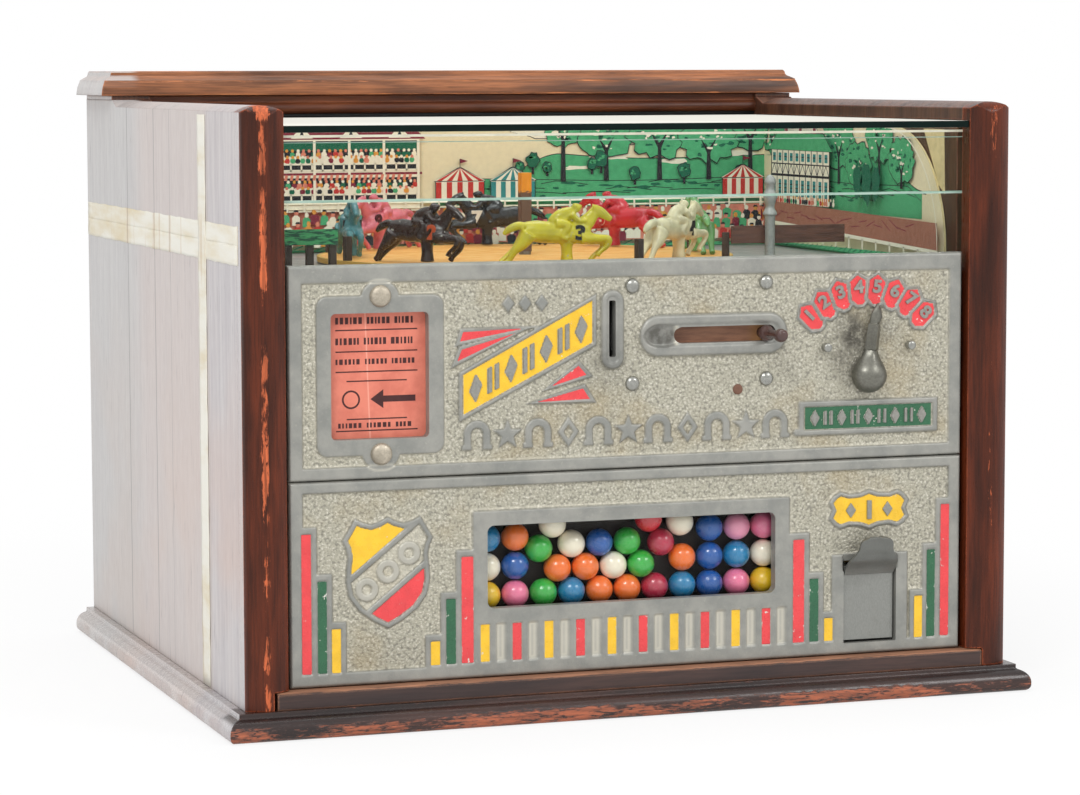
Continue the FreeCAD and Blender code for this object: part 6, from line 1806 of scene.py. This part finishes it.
def marquees(p):
    """Three striped tents beside the stands."""
    for tent, (x0, x1) in enumerate(((-20, 6), (10, 34), (140, 163))):
        middle = (x0 + x1) / 2
        p.lay("dark", [[(x0 - 1.4, 236.6), (x1 + 1.4, 236.6), (middle + 1, 243.9),
                        (middle - 1, 243.9)], rectangle(x0 - 0.4, x1 + 0.4, 226, 237)])
        p.lay("cream", [[(x0 - 0.9, 237), (x1 + 0.9, 237), (middle + 0.6, 243.4),
                         (middle - 0.6, 243.4)], rectangle(x0, x1, 226, 236.6)])
        stripes = []
        for i in range(0, 9, 2):
            a, b = (x0 + (x1 - x0) * k / 9 for k in (i, i + 1))
            top_a, top_b = (middle + (x - middle) * 0.05 for x in (a, b))
            stripes.append([(a, 237), (b, 237), (top_b, 243.4), (top_a, 243.4)])
            stripes.append(rectangle(a, b, 226, 236.4))
        p.lay("red" if tent % 2 == 0 else "teal", stripes)
        p.lay("dark", [rectangle(middle - 0.2, middle + 0.2, 243.4, 248.4)])
        p.lay("maroon", [[(middle + 0.2, 248.4), (middle + 4.4, 247.2), (middle + 0.2, 246)]])


def seats(p, x0, x1, levels, seed):
    """Rows of seated spectators."""
    rng = random.Random(seed)
    coats, heads = {}, {}
    for level in levels:
        x = x0 + 1.4
        while x < x1 - 1.2:
            coat = rng.choice(("green", "red", "rose", "cream", "orange", "deep", "cream", "maroon",
                               "dark"))
            coats.setdefault(coat, []).append(blob(x, level, 1.45, 1.5, rng.randrange(9999), 7, 0.15))
            head = rng.choice(("rose", "orange", "cream"))
            heads.setdefault(head, []).append(
                blob(x + rng.uniform(-0.2, 0.2), level + 1.9, 0.85, 0.9, rng.randrange(9999), 6, 0.1))
            x += rng.uniform(2.4, 3.3)
    p.lay_groups(coats, heads)


def stands(p):
    """Tiered pavilions full of spectators, with balustrades and striped blinds."""
    for index, (x0, x1, tall) in enumerate(((-374, -262, 0), (-252, -172, 2), (-166, -108, 0),
                                            (-104, -30, 3))):
        roof = 256 + tall
        p.lay("dark", [rectangle(x0 - 0.4, x1 + 0.4, 222, roof + 1)])
        p.lay("cream", [rectangle(x0, x1, 222, roof + 0.6)])
        p.lay("maroon", [[(x0 - 4, roof), (x1 + 4, roof), (x1 - 4, roof + 7.5), (x0 + 4, roof + 7.5)],
                         rectangle(x0 - 2, x1 + 2, 240.8, 242.0)])
        gables = list(steps(x0 + 12, x1 - 8, 26))
        p.lay("cream", [[(x - 6, roof + 0.6), (x + 6, roof + 0.6), (x, roof + 6.4)] for x in gables])
        p.lay("dark", [[(x, roof + 5.2), (x + 1.4, roof + 1.2), (x - 1.4, roof + 1.2)]
                       for x in gables])
        p.lay("dark", [rectangle(x0 + 0.8, x1 - 0.8, 250.6, roof - 0.8),
                       rectangle(x0 + 0.8, x1 - 0.8, 234.6, 239.4)])
        p.lay("deep", [rectangle(x0 + 0.8, x1 - 0.8, 253.4, roof - 1.4)])
        seats(p, x0, x1, (248.2, 251.4), 70 + index)
        seats(p, x0, x1, (232.4, 235.6), 80 + index)
        rails = [rectangle(x0, x1, z, z + 0.9) for z in (242.8, 246.0, 227.2, 230.4)]
        rails += [rectangle(x, x + 0.9, z, z + 3.8) for x in steps(x0, x1, 5.6)
                  for z in (242.8, 227.2)]
        p.lay("dark", [rectangle(x0, x1, 243.7, 246.0), rectangle(x0, x1, 228.1, 230.4)])
        p.lay("cream", rails)
        count = max(3, round((x1 - x0) / 19))
        columns = [x0 + (x1 - x0) * k / count for k in range(count + 1)]
        p.lay("cream", [rectangle(x - 0.7, x + 0.7, 222, roof) for x in columns])
        p.lay("rose", [[(x, 241.0), (x + 1.5, 241.0), (x + 0.9, 238.2), (x - 0.6, 238.2)]
                       for x in steps(x0, x1 - 2, 3.0)])


def clubhouse(p):
    """Timbered clubhouse with a veranda, on the right wing of the card."""
    x0, x1, bay = 182, 256, 7.4
    p.lay("dark", [rectangle(x0 - 0.6, x1 + 0.6, 224, 252.6),
                   [(x0 - 5, 251.6), (x1 + 5, 251.6), (x1 - 7, 261.6), (x0 + 7, 261.6)]])
    p.lay("cream", [rectangle(x0, x1, 224, 252)])
    p.lay("green", [[(x0 - 4, 252.2), (x1 + 4, 252.2), (x1 - 7.4, 261), (x0 + 7.4, 261)]])
    beams = [rectangle(x0, x1, 238.4, 239.6), rectangle(x0, x1, 244.6, 245.2)]
    for x in steps(x0, x1, bay):
        beams.append(rectangle(x - 0.4, x + 0.4, 224, 252))
        beams += [stroke([(foot, 239.4), (x + bay / 2, 244.8)], 0.5) for foot in (x, x + bay)]
    p.lay("dark", beams)
    panes = [x0 + 2.0 + bay * k for k in range(10)]
    p.lay("teal", [rectangle(x, x + 3.6, low, high) for x in panes
                   for low, high in ((246.4, 250.6), (228.0, 236.6))])
    p.lay("dark", [rectangle(x, x + 3.6, z, z + 0.5) for x in panes
                   for z in (230.0, 232.0, 234.0, 248.4)])
    p.lay("maroon", [rectangle(x, x + 3.4, 261, 264.6) for x in (200, 218, 236)])
    seats(p, x0 - 6, x1 + 8, (225.6,), 97)


def rail_and_crowd(p):
    """White rail over a bank of spectators, with a green verge at its foot."""
    rng = random.Random(55)
    low, high = p.low, p.high
    p.lay("rose", [rectangle(low, 172, 205.0, 223.0)])
    p.lay("brown", [[(172, 215), (high, 208), (high, 221), (172, 225)]])
    p.lay("maroon", [stroke([(176 + 9 * k, 219 + rng.uniform(-4, 2)),
                             (186 + 9 * k, 218.6 + rng.uniform(-4, 2))], 0.5)
                     for k in range(20)])
    for row, y in enumerate((218.6, 213.6, 208.4)):
        coats, heads, hats = {}, {}, []
        x = low + 2 + 1.6 * row
        while x < 168:
            tone = rng.choice(("dark", "cream", "red", "green", "orange", "cream", "dark", "maroon"))
            z = y + rng.uniform(-0.9, 0.9)
            coats.setdefault(tone, []).append([
                (x - 2.0, z - 3.6), (x + 2.0, z - 3.6), (x + 1.7 + rng.uniform(0, 1.0), z + 0.4),
                (x + 0.8, z + 1.6), (x - 0.8, z + 1.6), (x - 1.7 - rng.uniform(0, 1.0), z + 0.4)])
            heads.setdefault(rng.choice(("rose", "cream", "orange")), []).append(
                blob(x + rng.uniform(-0.3, 0.3), z + 2.7, 1.15, 1.35, rng.randrange(9999), 8, 0.1))
            if rng.random() < 0.6:
                hats.append([(x - 1.5, z + 3.3), (x + 1.5, z + 3.3), (x + 0.8, z + 4.3),
                             (x - 0.8, z + 4.3)])
            x += rng.uniform(4.0, 5.8)
        p.lay_groups(coats, heads)
        p.lay("dark", hats)
    posts = [rectangle(x - 0.5, x + 0.5, 222.0, 227.0) for x in np.arange(low + 4, 172, 9.0)]
    p.lay("cream", posts + [rectangle(low, 172, 226.0, 227.4), rectangle(low, 172, 223.4, 224.2)])
    near = [[(180, 213.0), (high, 206.2), (high, 208.0), (180, 214.8)]]
    for x in np.arange(186, high, 16):
        top = 213.8 - (x - 180) * 6.8 / (high - 180)
        near.append(rectangle(x - 0.7, x + 0.7, 203, top))
    p.lay("cream", near)
    p.lay("deep", [blob(x, 238, rx, ry, int(x), 20, 0.2) for x, rx, ry in
                   ((292, 5, 9), (302, 6, 11), (313, 5, 9))])
    p.lay("green", [wavy(low, high, 202.0, 3.0, 15, 5, 200, step=4.0)])
    tufts = [stroke([(x, 202 + rng.random()), (x + 5, 204 + rng.random())], 0.5)
             for x in np.arange(low + 4, high - 6, 6.0)]
    p.lay("deep", tufts)


def hedge_fence():
    """Painted hedge board over three worn posts."""
    look = Look("hedge_board")
    z = look.axis("Z")
    strokes = look.fibres((160, 200, 700), 3, 0.6, 0.5)
    hedge = look.blend(look.span(strokes, 0.46, 0.54), srgb(72, 168, 104), srgb(30, 84, 62))
    stem = look.blend(look.span(look.fibres((900, 900, 90)), 0.3, 0.7), srgb(78, 62, 50),
                      srgb(52, 42, 36))
    up = look.span(z, 0.2146, 0.2152)
    look.set("Base Color", look.blend(up, stem, hedge))
    look.set("Roughness", look.span(strokes, 0.3, 0.7, 0.5, 0.75))
    look.set("Normal", look.relief(strokes, 0.1, 0.4))
    apply("track_fence", look.material)


def turntable_looks():
    look = Look("track_paint")
    x = look.less(look.axis("X"), DISC[0] * MM)
    y = look.less(look.axis("Y"), DISC[1] * MM)
    r = look.length(x, y)
    wear = look.noise(90.0, 5, 0.65)
    tone = look.blend(look.span(wear, 0.35, 0.7), srgb(240, 182, 98), srgb(226, 160, 78))
    tone = look.blend(look.span(r, 0.0985, 0.1005, 0, 0.8), tone, srgb(196, 160, 76))
    tone = look.blend(look.span(look.noise(500.0), 0.66, 0.72, 0, 0.6), tone, srgb(150, 100, 60))
    look.set("Base Color", tone)
    look.set("Roughness", look.span(wear, 0.3, 0.7, 0.45, 0.7))
    look.set("Normal", look.relief(wear, 0.15, 0.3))
    apply("turntable", look.material)
    apply("turntable_pegs", plain("peg_wood", (72, 56, 46), 0.65, 0.6, 500.0, (1, 1, 0.15)))
    post = Look("judge_post")
    z = post.axis("Z")
    grain = post.fibres((900, 900, 80), 4, 0.6)
    upper = post.blend(post.span(grain, 0.3, 0.7), srgb(238, 160, 40), srgb(222, 140, 30))
    lower = post.blend(post.span(grain, 0.3, 0.7), srgb(110, 84, 66), srgb(84, 62, 50))
    ragged = post.plus(z, post.span(post.noise(900.0), 0.3, 0.7, -0.0012, 0.0012))
    post.set("Base Color", post.blend(post.span(ragged, 0.2350, 0.2353), lower, upper))
    post.set("Roughness", post.span(grain, 0.3, 0.7, 0.45, 0.65))
    post.set("Normal", post.relief(grain, 0.1, 0.4, post.eased(0.4, 4)))
    apply("finish_post", post.material)
    apply("race_floor", metal("floor_sheet", (170, 172, 170), 0.42, 0.5, brushed=(0.08, 1, 1),
                              dirt=0.3))
    strip = Look("click_board")
    fleck = strip.fibres((120, 700, 700), 4, 0.6)
    tone = strip.blend(strip.span(fleck, 0.35, 0.7), srgb(104, 66, 50), srgb(76, 46, 36))
    strip.set("Base Color", strip.blend(strip.span(strip.noise(700.0), 0.66, 0.7, 0, 0.7), tone,
                                        srgb(160, 130, 110)))
    strip.set("Roughness", strip.span(fleck, 0.3, 0.7, 0.4, 0.6))
    strip.set("Normal", strip.relief(fleck, 0.1, 0.4))
    apply("click_strip", strip.material)


def click_post():
    """Turned grey post with a finial, notched for the strip."""
    solid = Solid()
    profile = [(4.1, 0), (4.1, 1.8), (2.9, 3.4), (2.5, 6), (2.5, 22), (3.4, 23.4), (3.3, 24.6),
               (2.2, 26.6), (2.3, 28.4), (3.1, 30.6), (3.2, 33.4), (2.3, 35.4), (2.4, 37.6),
               (2.9, 39.0), (2.2, 41.2), (0.8, 42.5), (0, 42.7)]
    low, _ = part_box("click_post")
    foot = profile[0][0]
    solid.add(*lathe(curved(profile, 3), 28), 0,
              Matrix.Translation((low.x / MM + foot, low.y / MM + foot, 201.0)))
    made = solid.piece("turned_post", "cabinet", [metal("post_metal", (168, 170, 166), 0.45, 0.35,
                                                        dirt=0.6)], "painted_wood", 50)
    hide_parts("click_post")


# Cabinet

def cabinet_looks():
    # The side panels, posts, base moulding and lid get painted glare on their left-facing faces.
    panel = wood("panel_wood", "Z", (70, 43, 32), (108, 70, 50), (170, 110, 84), 0.36, 0.8,
                 glare=left_glare, gloss=0.38)
    for side in ("left", "right"):
        apply("side_panel_" + side, panel)
        apply("post_" + side, wood("post_wood_" + side, "Z", (56, 24, 12), (108, 47, 24),
                                   (216, 110, 68), 0.465, 0.65, post_crest, left_glare, 0.3,
                                   (1000, 150), 0.06, 0.25))
    apply("front_rail", wood("rail_wood", "X", (54, 38, 36), (74, 52, 46), (176, 124, 94), 0.44,
                             0.9, rail_wear, gloss=0.42))
    apply("base_moulding", wood("moulding_wood", "X", (38, 27, 26), (70, 45, 38), (188, 106, 74),
                                0.5, 0.25, moulding_wear, left_glare, 0.24, (1000, 170), 0.14))
    apply("base_board", wood("board_wood", "X", (70, 48, 38), (98, 68, 52), (150, 104, 80), 0.3,
                             0.3))
    apply("lid", wood("lid_wood", "X", (78, 52, 40), (176, 112, 72), (228, 144, 94), 0.485, 0.7,
                      lid_wear, left_glare, 0.34, (620, 60), 0.14, 0.3))
    partition = wood("partition_wood", "X", (84, 44, 28), (138, 78, 46), (196, 120, 76), 0.4, 0.5,
                     chip=(620, 60), shine=0.3)
    # Painted shadow along the lid rail's lower edge, over the top glass.
    apply("lid_rail", shaded_from(partition, 0.2719, 0.2723, (0.004, 0.005, 0.005)))
    back = wood("back_wood", "Z", (74, 48, 36), (104, 70, 50), (160, 110, 82), 0.36, 0.7,
                gloss=0.5)
    apply("back_frame", back)
    apply("back_door", wood("door_wood", "Z", (64, 42, 34), (94, 62, 46), (160, 106, 78), 0.36, 0.7,
                            gloss=0.5))
    lid_seats(panel)
    pane_edge_glints()


def shaded_from(material, low, high, tone, share=1.0):
    """Mixes a share of a painted shade tone into a finished material at one height, fading to none at
    the other.
    """
    tree = material.node_tree
    shader = next(n for n in tree.nodes if n.type == "BSDF_PRINCIPLED")
    link = shader.inputs["Base Color"].links[0]
    mix = tree.nodes.new("ShaderNodeMix")
    mix.data_type = "RGBA"
    place = tree.nodes.new("ShaderNodeTexCoord")
    split = tree.nodes.new("ShaderNodeSeparateXYZ")
    tree.links.new(place.outputs["Object"], split.inputs[0])
    near = tree.nodes.new("ShaderNodeMapRange")
    near.inputs["From Min"].default_value = low
    near.inputs["From Max"].default_value = high
    near.inputs["To Min"].default_value = 1.0 - share
    tree.links.new(split.outputs["Z"], near.inputs["Value"])
    tree.links.new(near.outputs[0], mix.inputs["Factor"])
    mix.inputs["A"].default_value = (*tone, 1)
    tree.links.new(link.from_socket, mix.inputs["B"])
    tree.links.new(mix.outputs["Result"], shader.inputs["Base Color"])
    return material


def lid_seats(panel):
    """Thin packing strips that fill the joint between the side panels and the lid."""
    for side, x in (("left", SIDE_X), ("right", 166.2)):
        solid = Solid()
        solid.add(*box_shape(x, x + 19.8, 106.0, 166.6, 279.5, 281.55))
        solid.piece("lid_seat_" + side, "cabinet", [panel], "cabinet_wood", 30, (0.15, 1))


def pane_edge_glints():
    """Ground edges of the front window's two panes, drawn as wider pale strips: a painted glint where
    they catch the light.
    """
    solid = Solid()
    for z, tall, mark in ((236.5, 1.2, 0), (265.2, 1.1, 1), (262.4, 0.4, 0)):
        solid.add(*box_shape(-166.0, 166.0, -144.62, -144.42, z - tall / 2, z + tall / 2), mark)
    look = Look("pane_edge_glint", Specular_IOR_Level=0.6, Alpha=0.72)
    streak = look.fibres((60, 900, 900), 4, 0.6)
    look.set("Base Color", look.blend(look.span(streak, 0.35, 0.7), srgb(188, 214, 200),
                                      srgb(140, 178, 160)))
    look.set("Roughness", look.span(streak, 0.3, 0.7, 0.15, 0.35))
    cream = plain("pane_edge_glint_cream", (232, 228, 206), 0.3, 0.8, 90.0)
    solid.piece("pane_edge_glints", "cabinet", [look.material, cream], "clear_glass", 30)


def side_tape():
    """Old adhesive tape on the left side: two strips across and one up."""
    rng = random.Random(9)

    def ribbon(u0, u1, v0, v1, upright, out):
        """Faces of one strip, with a slightly uneven edge and a little buckle."""
        rows, columns = 46, 6
        points = []
        near, far = ([rng.uniform(-0.35, 0.35) for _ in range(rows + 1)] for _ in range(2))
        for i in range(rows + 1):
            t = i / rows
            for k in range(columns + 1):
                s = k / columns
                uneven = near[i] * (1 - s) + far[i] * s
                if upright:
                    v = v0 + (v1 - v0) * t
                    u = u0 + (u1 - u0) * s + uneven * 0.5
                else:
                    u = u0 + (u1 - u0) * t
                    v = v0 + (v1 - v0) * s + uneven * 0.6
                lift = 0.12 + 0.10 * math.sin(i * 1.7 + k) * math.sin(i * 0.37)
                points.append((SIDE_X - out - lift, u, v))
        return points, grid_faces(rows, columns)

    solid = Solid()
    solid.add(*ribbon(-148.5, 166.5, 217.4, 226.2, False, 0.0))
    solid.add(*ribbon(-148.5, 166.5, 209.0, 217.8, False, 0.08))
    solid.add(*ribbon(-90.6, -76.0, 12.6, 274.4, True, 0.18))
    look = Look("tape", Specular_IOR_Level=0.5)
    stain = look.fibres((40, 14, 60), 4, 0.6)
    tone = look.blend(look.span(stain, 0.42, 0.75), srgb(236, 233, 221), srgb(222, 208, 176))
    stripe = look.fibres((20, 210, 12), 2, 0.5)
    tone = look.blend(look.span(stripe, 0.62, 0.72, 0, 0.5), tone, srgb(200, 174, 138))
    for joint in BOARD_JOINTS[:3]:
        off = look.distance_to(look.axis("Y"), joint)
        tone = look.blend(look.span(off, 0.0004, 0.0034, 0.45, 0.0), tone, srgb(196, 164, 124))
        tone = look.blend(look.span(off, 0.0002, 0.0006, 0.5, 0.0), tone, srgb(120, 104, 90))
    look.set("Base Color", tone)
    look.set("Roughness", look.span(stain, 0.3, 0.7, 0.35, 0.55))
    look.set("Normal", look.relief(look.noise(300.0), 0.1, 0.4))
    made = solid.piece("side_tape", "cabinet", [look.material], "cabinet_wood", 60)
    thick = made.modifiers.new("thick", "SOLIDIFY")
    thick.thickness = 0.12 * MM
    thick.offset = -1


def inner_looks():
    steel = metal("steel_plate", (138, 138, 136), 0.38, 0.8, dirt=0.5)
    for node in ("hinge_leaves", "hinge_pins", "door_straps", "lid_straps", "lock_cam",
                 "coin_chute", "lever_slide", "slide_rails", "spring_anchor", "kicker_arm",
                 "mechanism_plate", "gum_chute", "pointer_nut", "spindle", "turntable_hub"):
        apply(node, steel)
    apply("lock_barrel", metal("lock_metal", (176, 168, 140), 0.26, 0.9, dirt=0.5))
    apply("gum_tray", plain("tray_dark", (52, 42, 38), 0.6, 0.7, 120.0))
    apply("cash_box", metal("box_metal", (150, 152, 150), 0.4, 0.6, dirt=0.4))
    apply("gum_wheel", metal("wheel_brass", (170, 138, 84), 0.35, 0.85, dirt=0.6))
    fibre = Look("shutter_fibre")
    grain = fibre.fibres((60, 900, 400), 4, 0.6)
    tone = fibre.blend(fibre.span(grain, 0.3, 0.7), srgb(150, 104, 76), srgb(112, 74, 56))
    fibre.set("Base Color", fibre.blend(fibre.span(fibre.axis("X"), 0.055, 0.064, 0, 0.8), tone,
                                        srgb(190, 140, 90)))
    fibre.set("Roughness", fibre.span(grain, 0.3, 0.7, 0.4, 0.6))
    fibre.set("Normal", fibre.relief(grain, 0.08, 0.3))
    apply("lever_shutter", fibre.material)
    # The top pane gets a painted reflection where it is seen at a flat angle.
    apply("top_glass", clear("top_pane", edge=(3, 20, 17), face="Z", grazing_glare=0.9))
    apply("front_glass", clear("front_pane", edge=(140, 190, 168)))
    apply("gum_glass", clear("gum_pane"))


def spring():
    """Coil between the slide and its anchor, which the lever stretches; made at one fixed length."""
    turns, radius, wire = 11, 2.9, 0.45
    start, length = 100.0, 44.0
    y, z = SPRING_AXIS
    around, sides = 16, 8
    steps_round = turns * around
    points = []
    for k in range(steps_round + 1):
        a = 2 * math.pi * k / around
        out = Vector((0, math.cos(a), math.sin(a)))
        middle = Vector((start + length * k / steps_round, y, z)) + out * radius
        points += [middle + out * wire * c + Vector((wire * s, 0, 0)) for c, s in circle(sides)]
    solid = Solid().add(points, ring_faces(steps_round + 1, sides))
    made = solid.piece("coil_spring", None, [metal("spring_steel", (120, 120, 120), 0.3, 0.9)],
                       "steel", 60)
    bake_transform(made)
    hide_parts("lever_spring")


def build():
    camera()
    studio()
    enamels()
    cast = cast_metal("cast_aluminium")
    LOOKS["smooth_cast"] = metal("smooth_cast", (154, 153, 146), 0.4, 0.4, dirt=0.3)
    bars, right = lower_panel(cast)
    lower_paint(bars, right)
    upper_panel(cast)
    upper_paint()
    fasteners()
    lever_knob()
    pick_pointer()
    gum_flap()
    instruction_card()
    gum_balls()
    runners()
    backdrop()
    hedge_fence()
    turntable_looks()
    click_post()
    cabinet_looks()
    side_tape()
    inner_looks()
    spring()


build()
